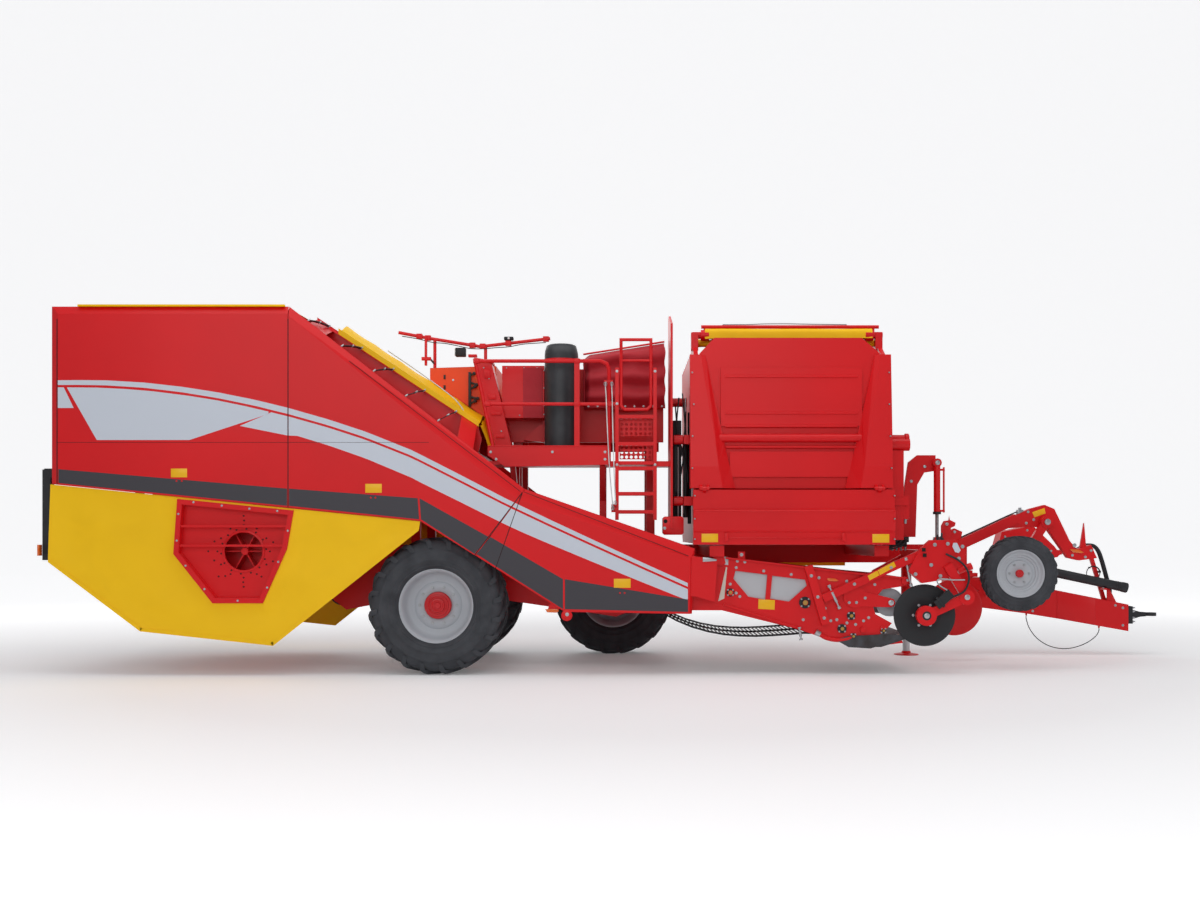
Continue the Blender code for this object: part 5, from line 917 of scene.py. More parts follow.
SKIRT_WAVES = ((4.2, 3.4, 0.4, 0.008), (1.3, -5.6, 1.9, 0.008), (7.5, 1.2, 0.2, 0.003))
for side, word in ((-1, "right"), (1, "left")):
    skirt = hung_sheet("skirt_sheet_" + word, SKIRT, HATCH, side * (SKIRT_OUT - 0.004), side,
                       yellow_tarpaulin, "chassis", SKIRT_WAVES)
    stands_for("skirt_" + word)
    hems = []
    for a, b in zip(SKIRT[1:], SKIRT[2:-1]):
        a, b = Vector(a), Vector(b)
        up = Vector(((b - a).y, (a - b).x)).normalized() * HEM
        up = -up if up.y < 0 else up
        outline = [a.to_tuple(), b.to_tuple(), (b + up).to_tuple(), (a + up).to_tuple()]
        hems.append(prism(outline, side * (SKIRT_OUT - 0.003), side * (SKIRT_OUT + 0.0005)))
    piece("skirt_hem_" + word, hems, yellow_tarpaulin)

# Fan hatches: bolted hexagonal frames of folded sheet, each with a sunk sheet punched round the air inlet.
# The holes, 20 mm wide in rings of a widening pitch, are near-black discs of painted shade; a rolled ring
# edges the inlet.

FAN = (-4.343, 1.347)
HATCH_FACE = 1.66
SUNK_FACE = HATCH_FACE - 0.1
INLET_R = 0.21
# Painted shade: the near-black colour of the hole discs stands for the dark inside behind the sunk sheet.
hole_shade = even_finish("hole_shade_paint", "17090A", 0.8)

for side, word in ((-1, "right"), (1, "left")):
    coat(red_enamel, "fan_hatch_" + word)
    face = side * SUNK_FACE
    holes = []
    for radius, count, turn in ((0.245, 14, 0.1), (0.285, 12, 0.0), (0.335, 10, 0.3), (0.385, 8, 0.0)):
        for i in range(count):
            a = turn + 2 * pi * i / count
            x, z = FAN[0] + radius * cos(a), FAN[1] + radius * sin(a)
            if inside((x, z), HATCH) and nearest_edge((x, z), HATCH) > 0.09:
                holes.append(bar((x, z), 0.01, face, face + side * 0.0012, sides=10))
    piece("hatch_holes_" + word, holes, hole_shade)
    rim = [(INLET_R - 0.004, face - side * 0.01), (INLET_R + 0.016, face - side * 0.01),
           (INLET_R + 0.018, face + side * 0.01), (INLET_R, face + side * 0.016),
           (INLET_R - 0.006, face + side * 0.01)]
    piece("inlet_ring_" + word, [turned(rim, FAN)], red_enamel, smooth=40)
    bolts = []
    for (ax, az), (bx, bz) in zip(HATCH, HATCH[1:] + HATCH[:1]):
        steps = max(1, int(hypot(bx - ax, bz - az) / 0.28))
        for i in range(steps):
            t = (i + 0.5) / steps
            x, z = ax + (bx - ax) * t, az + (bz - az) * t
            pull = 0.028 / max(0.1, hypot(FAN[0] - x, FAN[1] - z))
            bolts += nut(0.008, 0.006, (x + (FAN[0] - x) * pull, side * HATCH_FACE,
                                        z + (FAN[1] - z) * pull), side)
    piece("hatch_bolts_" + word, bolts, zinc)

# Lamp bar across the rear end: black plastic, with two red lamps and an orange reflector at each end.
# Lamps are clear acrylic over moulded reflectors.

black_plastic = rubber("black_plastic", "26272B", 0.45)
orange_lens = even_finish("orange_lens", "E2660C", 0.12)
red_lens = even_finish("red_lens", "A80E12", 0.12)
white_lens = even_finish("white_lens", "DDE1E2", 0.1)
for lens_finish in (orange_lens, red_lens, white_lens):
    lens_finish.node_tree.nodes["Principled BSDF"].inputs["Coat Weight"].default_value = 0.6
coat(black_plastic, "lamp_bar")
low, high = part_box("lamp_bar")
lamps, reflectors = [], []
for side in (-1, 1):
    for step, width in ((0.25, 0.1), (0.38, 0.1)):
        y = side * (PANEL_FACE - step)
        lamps.append(block((low.x - 0.004, low.x + 0.02), (y - width / 2, y + width / 2),
                           (high.z - 0.36, high.z - 0.2)))
    reflectors.append(block((low.x - 0.003, low.x + 0.02),
                            sorted((side * (PANEL_FACE - 0.02), side * (PANEL_FACE - 0.1))),
                            (low.z + 0.05, low.z + 0.17)))
piece("rear_lamps", lamps, red_lens, bevel=0.004)
piece("rear_reflectors", reflectors, orange_lens, bevel=0.003)

# Elevator: a sheet steel trough with leaning shoulders, under a yellow tarpaulin stretched over its bows.
# Rubber straps with zinc buttons hold the shoulders down; a fringe hangs over the lower end.

TROUGH_EDGE = (-3.4, 3.8)
TROUGH_SLOPE = -0.66
TROUGH_HALF = 1.11
COVER_X = (-3.398, -1.832)
COVER_HALF = 1.138
COVER_RISE = 0.128
COVER_LIFT = 0.004  # over the trough's edge
CROWN_SHARE = 0.48  # of the half width, over which the cover rises
PANEL_SLOPE = -0.78
STRAP_X = (-3.5, -3.14, -2.79, -2.44, -2.09)


def trough_z(x):
    return TROUGH_EDGE[1] + TROUGH_SLOPE * (x - TROUGH_EDGE[0])


def cloth(name, rows, finish, body="chassis", thickness=0.0025):
    """A sheet of cloth through rows of points, with a thin wall."""
    wide = len(rows[0])
    faces = []
    for i in range(len(rows) - 1):
        for j in range(wide - 1):
            a = i * wide + j
            faces.append((a, a + 1, a + wide + 1, a + wide))
    mesh = bpy.data.meshes.new(name)
    mesh.from_pydata([tuple(p) for row in rows for p in row], [], faces)
    return walled(name, mesh, finish, body, thickness, 60)


def arched_rows():
    """The stretched tarpaulin: flat on its crown, falling to both hems, and slack between four bows."""
    rows = []
    for i in range(61):
        along = i / 60
        x = COVER_X[0] + (COVER_X[1] - COVER_X[0]) * along
        row = []
        for j in range(81):
            share = -1 + 2 * j / 80
            fall = min(1.0, (1 - abs(share)) / CROWN_SHARE)
            rise = fall * fall * (3 - 2 * fall)
            crease = 0.004 * noise.noise(Vector((x * 5, share * 6, 0)))
            slack = 0.012 * sin(pi * ((along * 5) % 1.0)) * rise + crease
            z = trough_z(x) + COVER_LIFT + COVER_RISE * rise - max(0.0, slack)
            row.append((x, share * COVER_HALF, z))
        rows.append(row)
    return rows


def sheet_piece(name, rows, finish, node, body="chassis", thickness=0.0025):
    """A sheet of cloth through rows of points; the imported node that it stands for, if any, is hidden."""
    made = cloth(name, rows, finish, body, thickness)
    if node:
        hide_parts(node)
    return made


cover = sheet_piece("elevator_tarpaulin", arched_rows(), yellow_tarpaulin, "elevator_cover")
fringe = []
for i in range(25):
    y = -COVER_HALF + 2 * COVER_HALF * i / 24
    fall = min(1.0, (1 - abs(y) / COVER_HALF) / CROWN_SHARE)
    top = trough_z(COVER_X[1]) + COVER_LIFT + COVER_RISE * fall * fall * (3 - 2 * fall)
    fringe.append([(COVER_X[1] + 0.02 + 0.1 * t + 0.012 * sin(i * 1.9 + 2 * t), y,
                    top - 0.02 - 0.3 * t * (1 + 0.2 * sin(i * 2.6))) for t in (k / 8 for k in range(9))])
tail = sheet_piece("elevator_tail", fringe, yellow_tarpaulin, None)
hem_xs = [COVER_X[0] + (COVER_X[1] - COVER_X[0]) * i / 20 for i in range(21)]
for side, word in ((-1, "right"), (1, "left")):
    hem = [[(x, side * (COVER_HALF + 0.003), trough_z(x) + 0.035),
            (x, side * (COVER_HALF + 0.003), trough_z(x) - 0.03),
            (x, side * (COVER_HALF + 0.007), trough_z(x) - 0.03),
            (x, side * (COVER_HALF + 0.007), trough_z(x) + 0.035)] for x in hem_xs]
    piece("cover_hem_" + word, [loft(hem)], yellow_tarpaulin)

pale_rail = enamel("galvanised_tube", "C9CBC8", 0.35, 0.0, 0.001)
pale_rail.node_tree.nodes["Principled BSDF"].inputs["Metallic"].default_value = 0.5
for name, y in (("cover_rail_outer", -1.06), ("cover_rail_inner", -0.98)):
    lift = trough_z(-2.04) + COVER_RISE * 0.2 + 0.02
    round_line(name, [(-2.86, y, trough_z(-2.86) + 0.15), (-2.5, y, trough_z(-2.5) + 0.14),
                      (-2.16, y, trough_z(-2.16) + 0.11), (-2.05, y, lift + 0.03), (-2.02, y, lift - 0.02)],
               0.012, 24, pale_rail)


def shoulder(x, t, side, lift=0.0):
    """A point on a leaning shoulder sheet: from the trough's edge, t 0, down to the side panel, t 1."""
    inner = Vector((x, side * TROUGH_HALF, trough_z(x) - 0.012))
    outer = Vector((x, side * 1.598, KINK[1] + PANEL_SLOPE * (x - KINK[0]) - 0.02))
    out = Vector((0.5, side * 0.28, 0.82)).normalized()
    return inner.lerp(outer, t) + out * lift


def flat_bar(start, end, across, through):
    """A flat bar between two points, given half its width and half its thickness as vectors."""
    start, end = Vector(start), Vector(end)
    return loft([[p - across - through, p + across - through, p + across + through, p - across + through]
                 for p in (start, end)])


def strap_shapes(x, side):
    """One rubber strap over a shoulder sheet, and the buttons at its ends."""
    band, buttons = [], []
    line = [shoulder(x - 0.14 * t, 0.12 + 0.8 * t, side, 0.01 + 0.016 * sin(pi * t))
            for t in (0.0, 0.25, 0.5, 0.75, 1.0)]
    for a, b in zip(line, line[1:]):
        band.append(flat_bar(a, b, Vector((0.011, 0, 0.007)), Vector((-0.002, side * 0.001, 0.003))))
    for p in (line[0], line[2], line[4]):
        buttons.append(flat_bar(p - Vector((0, 0, 0.008)), p + Vector((0, 0, 0.012)),
                                Vector((0.016, 0, 0.01)), Vector((0, 0.01, 0))))
    return band, buttons


for side, word in ((-1, "right"), (1, "left")):
    bands, buttons = [], []
    for x in STRAP_X:
        band, ends = strap_shapes(x, side)
        bands += band
        buttons += ends
    piece("shoulder_straps_" + word, bands, black_plastic)
    piece("shoulder_buttons_" + word, buttons, zinc, bevel=0.002)

# Crown hood at the elevator's head: rotationally moulded polyethylene in orange, satin and slightly wavy.
# Black plastic levers and hooks for the cleaning rollers sit on its near side.

orange_polyethylene = enamel("orange_polyethylene", "EE4E1E", 0.48, 0.0, 0.02)
coat(orange_polyethylene, "orange_hood")
HOOD_NEAR_Y = -0.45
levers = [block((-2.02, -1.99), (HOOD_NEAR_Y - 0.035, HOOD_NEAR_Y), (3.02, 3.42))]
for z, reach, turn in ((3.38, 0.05, 0.02), (3.3, 0.08, -0.03), (3.22, 0.06, 0.03), (3.13, 0.09, -0.02),
                       (3.05, 0.06, 0.03)):
    levers.append(flat_bar((-2.0, HOOD_NEAR_Y - 0.02, z), (-2.0 + reach, HOOD_NEAR_Y - 0.05, z + turn),
                           Vector((0, 0, 0.012)), Vector((0, 0.012, 0))))
    levers.append(turned([(0.0, HOOD_NEAR_Y - 0.068), (0.018, HOOD_NEAR_Y - 0.062),
                          (0.022, HOOD_NEAR_Y - 0.045), (0.018, HOOD_NEAR_Y - 0.03),
                          (0.0, HOOD_NEAR_Y - 0.026)], (-2.0 + reach, z + turn), sides=16))
for z in (3.34, 3.22, 3.1):
    levers.append(flat_bar((-2.3, HOOD_NEAR_Y - 0.004, z), (-2.3, HOOD_NEAR_Y - 0.004, z + 0.05),
                           Vector((0.012, 0, 0)), Vector((0, 0.004, 0))))
piece("hood_levers", levers, black_plastic, bevel=0.002)
piece("hood_studs", [bar((x, z), 0.012, HOOD_NEAR_Y - 0.008, HOOD_NEAR_Y, sides=16)
                     for x, z in ((-2.2, 3.33), (-1.8, 3.36), (-1.84, 3.05))], zinc)

# Lamp frame: a bent red tube with clamps, a work lamp, a small camera, a lever, and a cable tied along it.
# Lamp and camera are cast aluminium housings in black powder coat with clear fronts.

coat(red_enamel, "lamp_frame")
black_powder = enamel("black_powder_coat", "242528", 0.55, 0.0, 0.003)
LAMP_Y = -0.4
TUBE_LINE = ((-2.84, 3.891), (-2.47, 3.821), (-1.887, 3.727), (-1.085, 3.819))


def tube_z(x):
    return between(x, TUBE_LINE)


clamps = []
for x in (-2.6, -2.5, -1.98, -1.86, -1.56, -1.12):
    z = tube_z(x)
    clamps.append(block((x - 0.035, x + 0.035), (LAMP_Y - 0.032, LAMP_Y + 0.032), (z - 0.03, z + 0.03)))
clamps.append(block((-2.535, -2.505), (LAMP_Y - 0.05, LAMP_Y - 0.02), (3.5, 3.84)))
clamps.append(block((-2.57, -2.46), (LAMP_Y - 0.055, LAMP_Y - 0.015), (3.56, 3.6)))
clamps.append(block((-2.02, -1.92), (LAMP_Y - 0.1, LAMP_Y - 0.02), (3.595, 3.625)))
piece("lamp_frame_clamps", clamps, red_enamel, bevel=0.004)
lamps = [block((-2.17, -2.05), (LAMP_Y - 0.12, LAMP_Y - 0.02), (3.6, 3.7)),
         block((-1.61, -1.5), (LAMP_Y - 0.04, LAMP_Y + 0.04), (3.8, 3.84))]
lamps.append(flat_bar((-2.47, LAMP_Y - 0.04, 3.58), (-2.42, LAMP_Y - 0.05, 3.52), Vector((0.008, 0, 0.008)),
                      Vector((0, 0.01, 0))))
piece("lamp_housings", lamps, black_powder, bevel=0.01)
piece("work_lamp_glass", [block((-2.178, -2.169), (LAMP_Y - 0.11, LAMP_Y - 0.03), (3.61, 3.69))],
      white_lens, bevel=0.003)
piece("camera_eye",
      [turned([(0.0, LAMP_Y - 0.045), (0.012, LAMP_Y - 0.045), (0.014, LAMP_Y - 0.04),
               (0.0, LAMP_Y - 0.04)], (-1.555, 3.82), sides=24)], white_lens)
tie_points = [(x, LAMP_Y - 0.024, tube_z(x) - 0.026 - 0.018 * abs(sin(x * 7)))
              for x in (-2.8, -2.62, -2.45, -2.3, -2.15, -2.0, -1.85, -1.7, -1.55, -1.4, -1.25, -1.12)]
round_line("lamp_frame_cable", tie_points, 0.01, 60, cable_jacket)

# Picking table: a folded sheet trough on posts, with the leaning housing and the red box at its right end.
# Seams are stitched with zinc rivets, and the box is lined with red tarpaulin.

coat(red_enamel, "picking_table")
rivets = []
for x, z in ((-1.12, 3.4), (-1.12, 3.2), (-1.12, 3.0), (-1.12, 2.9), (-1.4, 2.89), (-1.25, 2.89),
             (-1.55, 3.43), (-1.35, 3.43), (-1.2, 3.43)):
    rivets.append(turned([(0.0, -0.808), (0.006, -0.806), (0.009, -0.799), (0.0, -0.799)],
                         (x, z), sides=12))
for x, z in ((-1.8, 3.42), (-1.74, 3.3), (-1.66, 3.0), (-1.6, 2.7), (-1.55, 2.45)):
    rivets.append(turned([(0.0, -0.91), (0.007, -0.908), (0.01, -0.899), (0.0, -0.899)], (x, z), sides=12))
piece("table_rivets", rivets, zinc)
ribs = []
for a, b in (((-1.8, 3.4), (-1.72, 3.3)), ((-1.755, 3.12), (-1.66, 3.06)), ((-1.72, 2.92), (-1.6, 2.88)),
             ((-1.67, 2.66), (-1.56, 2.62))):
    ribs.append(prism([(a[0], a[1]), (b[0], a[1] - 0.005), (b[0], b[1]), (a[0] + 0.01, b[1])],
                      -0.912, -0.898))
ribs.append(prism([(-1.905, 3.535), (-1.7, 3.5), (-1.7, 3.47), (-1.905, 3.505)], -0.92, -0.6))
piece("housing_ribs", ribs, red_enamel, bevel=0.004)
lining = []
for i in range(15):
    z = 2.86 + 0.57 * i / 14
    lining.append([(-1.36 + 0.22 * j / 12, -0.806 - 0.006 * abs(sin(z * 16 + j * 0.5)) * (0.3 + j / 12), z)
                   for j in range(13)])
sheet_piece("box_lining", lining, red_tarpaulin, None)

# Platform: a welded deck with kickboard, tube railings and ladder, all in red enamel.
# The non-slip plates are punched with holes 34 mm wide at a pitch of 52 mm.

HOLE_PITCH = 0.052
HOLE_R = 0.017


def punched(name, x, z, y, thick=0.003):
    """An upright plate with rows of round holes."""
    count_x, count_z = int((x[1] - x[0]) / HOLE_PITCH), int((z[1] - z[0]) / HOLE_PITCH)
    points, faces = [], []
    sides = 12
    for i in range(count_x):
        for j in range(count_z):
            cx = (x[0] + x[1]) / 2 + (i - (count_x - 1) / 2) * HOLE_PITCH
            cz = (z[0] + z[1]) / 2 + (j - (count_z - 1) / 2) * HOLE_PITCH
            start = len(points)
            for k in range(sides):
                a = 2 * pi * k / sides + pi / sides
                points.append((cx + HOLE_R * cos(a), y, cz + HOLE_R * sin(a)))
            for k in range(sides):
                a = 2 * pi * k / sides + pi / sides
                reach = HOLE_PITCH / 2 / max(abs(cos(a)), abs(sin(a)))
                points.append((cx + reach * cos(a), y, cz + reach * sin(a)))
            for k in range(sides):
                m = (k + 1) % sides
                faces.append((start + k, start + m, start + sides + m, start + sides + k))
            for k in (1, 4, 7, 10):
                a, b = start + sides + k, start + sides + (k + 1) % sides
                corner = len(points)
                sx = 1 if points[a][0] + points[b][0] > 2 * cx else -1
                sz = 1 if points[a][2] + points[b][2] > 2 * cz else -1
                points.append((cx + sx * HOLE_PITCH / 2, y, cz + sz * HOLE_PITCH / 2))
                faces.append((a, b, corner))
    mesh = bpy.data.meshes.new(name)
    mesh.from_pydata(points, [], faces)
    work = bmesh.new()
    work.from_mesh(mesh)
    bmesh.ops.remove_doubles(work, verts=work.verts, dist=0.0005)
    bmesh.ops.recalc_face_normals(work, faces=work.faces)
    work.to_mesh(mesh)
    work.free()
    walled(name, mesh, red_enamel, "chassis", thick)


LADDER_X = (-0.262, 0.106)
RISER_Y = -1.255
for number, (low_z, high_z) in enumerate(((2.36, 2.52), (2.62, 2.83))):
    punched("punched_riser_%d" % (number + 1), LADDER_X, (low_z, high_z), RISER_Y)
RAIL_PLANE = -1.3
clamps, bolts = [], []
for x, z in ((-1.84, 3.447), (-0.73, 3.447), (-0.73, 2.972), (-1.72, 2.972), (-0.376, 2.972)):
    clamps.append(block((x - 0.035, x + 0.035), (RAIL_PLANE - 0.027, RAIL_PLANE + 0.027),
                        (z - 0.027, z + 0.027)))
bolts += nuts_at(-1.342, ((-0.288, 3.33), (0.132, 3.33), (-0.288, 2.3), (0.132, 2.3), (-0.288, 2.972),
                          (-1.68, 2.44), (-1.0, 2.44), (-0.42, 2.44), (-0.42, 2.36), (-1.62, 2.36)), 0.01,
                 0.008)
piece("rail_clamps", clamps, red_enamel, bevel=0.006)
piece("platform_bolts", bolts, zinc)
piece("kickboard_edge",
      [prism([(-1.713, 2.512), (-0.36, 2.512), (-0.36, 2.496), (-1.713, 2.496)], -1.345, -1.3)],
      red_enamel, bevel=0.003)

rings = []
for (x0, z0), (x1, z1) in (((-0.415, 3.2), (-0.335, 1.8)), ((-0.345, 3.2), (-0.305, 1.86))):
    for x, z in ((x0, z0 - 0.012), (x1, z1 + 0.02)):
        steps = 20
        ring = [(x + 0.016 * cos(2 * pi * i / steps), ROPE_SIDE - 0.012,
                 z + 0.022 * sin(2 * pi * i / steps)) for i in range(steps)]
        body_rings = []
        for i, p in enumerate(ring):
            a = 2 * pi * i / steps
            out = Vector((cos(a), 0, sin(a)))
            body_rings.append([Vector(p) + out * 0.003 * cos(b) + Vector((0, 0.003 * sin(b), 0))
                               for b in (2 * pi * k / 8 for k in range(8))])
        rings.append(loft(body_rings, closed=True))
piece("rope_rings", rings, zinc)

# Canvas hopper: soft red tarpaulin between picking table and bunker, hung from a rod and tied along its
# foot. It sags in slack rolls, with a welded seam across and a bound hem.

BAG_X = (-0.675, 0.262)
BAG_Y = (-0.795, -0.508)


def bag_rows():
    """The hopper's skin, rolled once round: over the top, down the near side and back under."""
    rows = []
    for i in range(49):
        along = i / 48
        x = BAG_X[0] + (BAG_X[1] - BAG_X[0]) * along
        top = 3.6 + 0.145 * along - 0.05 * (1 - min(1.0, along / 0.08)) ** 2
        foot = 2.975 + 0.015 * sin(along * 9)
        row = []
        for j in range(41):
            t = j / 40
            z = top + (foot - top) * t
            roll = 0.5 - 0.5 * cos(2 * pi * (t * 3.1 + 0.08 * sin(along * 5)))
            depth = 0.03 + 0.16 * min(1.0, t / 0.1) + 0.05 * roll * min(1.0, t / 0.1)
            depth += 0.02 * noise.noise(Vector((x * 5.0, 3.0, z * 7.0))) - 0.05 * max(0.0, t - 0.82) / 0.18
            depth *= min(1.0, 0.35 + along / 0.1)
            row.append((x + 0.006 * sin(z * 30), max(BAG_Y[0], BAG_Y[1] - depth),
                        z - 0.01 * sin(along * pi * 3) * sin(pi * t)))
        rows.append(row)
    return rows


bag = sheet_piece("hopper_canvas", bag_rows(), red_tarpaulin, "transfer_bag",
                  thickness=0.004)
round_line("hopper_rod", [(-0.68, -0.56, 3.615), (-0.2, -0.56, 3.69), (0.26, -0.56, 3.762)],
           0.022, 12, red_enamel)
round_line("hopper_hem", [(-0.668, -0.66, z) for z in (3.55, 3.4, 3.2, 3.02)], 0.018, 16, red_tarpaulin)
eyelets = []
for i in range(9):
    x = BAG_X[0] + 0.06 + i * 0.105
    eyelets.append(turned([(0.004, -0.7745), (0.01, -0.7745), (0.011, -0.771), (0.004, -0.771)],
                          (x, 2.995), sides=16))
piece("hopper_eyelets", eyelets, zinc)

# Waste duct: a deep-drawn chute in black polyethylene, with a round front and a sloping cap.
# A collar of red enamelled sheet holds it.

black_polyethylene = rubber("black_polyethylene", "2E3034", 0.42)
DUCT = (-0.918, -0.98, 0.187)
DUCT_BACK = -0.72


def duct_ring(z, inset=0.0, forward=0.0):
    x, y, r = DUCT
    line = [(x + (r - inset) * cos(a), y + forward + (r - inset) * sin(a), z)
            for a in (pi + pi * i / 28 for i in range(29))]
    return line + [(x + r - inset, DUCT_BACK, z), (x - r + inset, DUCT_BACK, z)]


duct = piece("waste_duct",
             [loft([duct_ring(2.3404), duct_ring(2.9), duct_ring(3.55), duct_ring(3.6, 0.004, 0.02),
                    duct_ring(3.66, 0.02, 0.045), duct_ring(3.678, 0.05, 0.07)])],
             black_polyethylene, smooth=50)
stands_for("waste_chute")
x, y, r = DUCT
collar = [[(x + (r + w) * cos(a), y + (r + w) * sin(a), z)
           for w, z in ((0.001, 3.47), (0.012, 3.47), (0.012, 3.5), (0.001, 3.5))]
          for a in (pi + pi * i / 28 for i in range(29))]
piece("duct_collar", [loft(collar)], red_enamel)

# Bunker: welded side sheets and a pressed folding wall on the right, in red enamel, with zinc screws round
# the edges. The moving floor is black rubber, and a yellow tarpaulin lies rolled on the wall's tube rim.

coat(red_enamel, "bunker", "bunker_chute")
coat(black_plastic, "bunker_floor")
ROLL_AXIS = (-0.88, 3.7)  # Y and Z
roll_low, roll_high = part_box("bunker_cover_roll")
rings = []
for i in range(61):
    x = roll_low.x + 0.004 + (roll_high.x - roll_low.x - 0.008) * i / 60
    ring = []
    for j in range(28):
        a = 2 * pi * j / 28
        crease = 0.003 * noise.noise(Vector((x * 9, cos(a) * 2, sin(a) * 2)))
        r = 0.042 + 0.004 * sin(x * 9 + j) * sin(x * 23) + crease
        ring.append((x, ROLL_AXIS[0] + r * cos(a), ROLL_AXIS[1] + r * sin(a)))
    rings.append(ring)
roll = piece("rolled_tarpaulin", [loft(rings)], yellow_tarpaulin, smooth=60)
stands_for("bunker_cover_roll")
ties, holders = [], []
for x in (0.8, 1.3, 1.95, 2.45):
    ties.append(turned([(0.043, x - 0.014), (0.049, x - 0.014), (0.049, x + 0.014), (0.043, x + 0.014)],
                       ROLL_AXIS, "x", 40))
for x in (roll_low.x + 0.004, roll_high.x - 0.034):
    holders.append(block((x, x + 0.03), (-0.9, -0.76), (3.621, 3.7)))
piece("roll_ties", ties, black_plastic)
piece("roll_holders", holders, red_enamel, bevel=0.003)
skin = []
RIM_TUBE = (-1.0, 3.772)  # Y and Z of the folding wall's rim
FLAP_LINE = ((-0.9, 3.742), (-0.93, 3.775), (-0.965, 3.812), (-1.0, 3.838), (-1.03, 3.842), (-1.048, 3.825),
             (-1.053, 3.8), (-1.054, 3.775), (-1.054, 3.75), (-1.053, 3.73))
for i in range(81):
    x = 0.7 + 1.88 * i / 80
    row = []
    for t, (y, z) in enumerate(FLAP_LINE):
        loose = (t / 9) ** 2
        row.append((x, y - 0.003 * loose * (1 + sin(x * 17 + 0.5)), z + 0.006 * loose * sin(x * 8)))
    skin.append(row)
flap = sheet_piece("roll_flap", skin, yellow_tarpaulin, None)

screws = []
EDGE_SCREWS = (  # X and Z along the folding wall's wings and the apron's edge
    (0.535, 3.3), (0.55, 2.95), (0.535, 2.6), (0.53, 2.25), (2.685, 3.3), (2.68, 2.95), (2.685, 2.6),
    (2.69, 2.25), (0.555, 1.95), (0.555, 1.7), (0.555, 1.48), (2.715, 1.95), (2.715, 1.7), (2.715, 1.48),
)
for x, z in EDGE_SCREWS:
    y = -1.636 if z < 2.1 else -1.46 - 0.165 * (3.5 - z) / 1.5
    screws.append(turned([(0.0, y - 0.012), (0.007, y - 0.011), (0.01, y), (0.01, y + 0.03),
                          (0.0, y + 0.03)], (x, z), sides=12))
piece("bunker_screws", screws[8:], zinc)
piece("wall_screws", screws[:8], zinc, "chute")
folds = []
for z in (3.262, 2.86, 2.719, 2.491):
    folds.append(prism([(-1.44, z - 0.01), (-1.428, z - 0.016), (-1.428, z + 0.016), (-1.44, z + 0.01)],
                       0.9, 2.35, "x"))
piece("wall_folds", folds, red_enamel, "chute")
apron = [prism([(-1.64, 1.785), (-1.632, 1.795), (-1.632, 1.775)], 0.55, 2.72, "x")]
apron.append(prism([(-1.612, 1.565), (-1.598, 1.575), (-1.598, 1.552)], 0.55, 2.72, "x"))
for x in (0.9, 2.17):
    apron.append(block((x - 0.02, x + 0.02), (-1.622, -1.598), (1.455, 1.545)))
apron.append(block((0.92, 2.15), (-1.612, -1.604), (1.485, 1.5)))
piece("apron_strips", apron, red_enamel, bevel=0.002)
stays = []
for x in (0.7, 2.55):
    stays.append(bar(RIM_TUBE, 0.062, x - 0.045, x + 0.045, "x", 32))
piece("rim_collars", stays, red_enamel, smooth=40)
round_line("rim_pipe", [(0.9, -1.0, 3.895), (1.2, -1.0, 3.897), (1.35, -1.0, 3.903), (1.6, -1.0, 3.905),
                        (1.9, -1.0, 3.9), (2.3, -1.0, 3.895)], 0.013, 32, zinc)

# Behind the ladder stands the bunker's drive: chain case, two axles, rams and four hydraulic lines.
# The lines are rubber hose in a woven sleeve; the chain case and the rams are painted black.

DRIVE_Y = -1.12
drive = [block((0.335, 0.43), (DRIVE_Y - 0.06, DRIVE_Y + 0.1), (1.62, 2.8)),
         block((0.345, 0.42), (DRIVE_Y - 0.1, DRIVE_Y - 0.06), (2.0, 2.55))]
piece("chain_case", drive, black_powder, bevel=0.006)
rams = [bar((0.475, DRIVE_Y - 0.02), 0.026, 1.72, 2.62, "z"),
        bar((0.525, DRIVE_Y + 0.08), 0.02, 1.65, 2.9, "z")]
piece("chute_rams", rams, black_powder, smooth=40)
rods = [bar((0.475, DRIVE_Y - 0.02), 0.013, 2.62, 3.05, "z"),
        bar((0.39, DRIVE_Y - 0.13), 0.006, 1.7, 2.5, "z")]
piece("ram_rods", rods, zinc, smooth=40)
axles = []
for z in (1.9, 2.58):
    axles.append(turned([(0.0, 0.335), (0.04, 0.335), (0.052, 0.345), (0.052, 0.44), (0.034, 0.45),
                         (0.034, 0.505), (0.0, 0.505)], (-1.26, z), "x", 32))
axles.append(bar((-0.95, 3.02), 0.05, 0.34, 0.5, "x"))
piece("drive_axles", axles, red_enamel, smooth=40)
LINES = (  # start X, Z, end X, Z, bow, Y
    (0.36, 2.95, 0.45, 1.75, 0.05, -1.24), (0.4, 3.05, 0.5, 2.1, -0.04, -1.22),
    (0.44, 3.1, 0.36, 1.66, 0.05, -1.2), (0.48, 2.9, 0.4, 1.6, -0.05, -1.18),
)
for number, (ax, az, bx, bz, bow, y) in enumerate(LINES):
    route = [(ax, y, az), (ax + bow * 0.6, y - 0.01, az + (bz - az) * 0.3),
             ((ax + bx) / 2 + bow, y, (az + bz) / 2), (bx + bow * 0.5, y, az + (bz - az) * 0.8),
             (bx, y, bz)]
    round_line("drive_line_%d" % (number + 1), route, 0.016, 28, hose_sleeve)

# Digging unit: laser-cut side plates with pressed flanges, bolted bearings and braces, in red enamel.
# Its webs are endless chains: spring steel rods riveted to two rubber belts, worn bright by the soil.

RIGHT_PLATE_Y = -1.455
WEB_Y = (-1.4, 0.02)
CLEAN_Y = (-0.55, 0.55)
BELT_W, BELT_T = 0.05, 0.018
ROD_R = 0.0065
ROD_PITCH = 0.045
SEAT = 0.0003


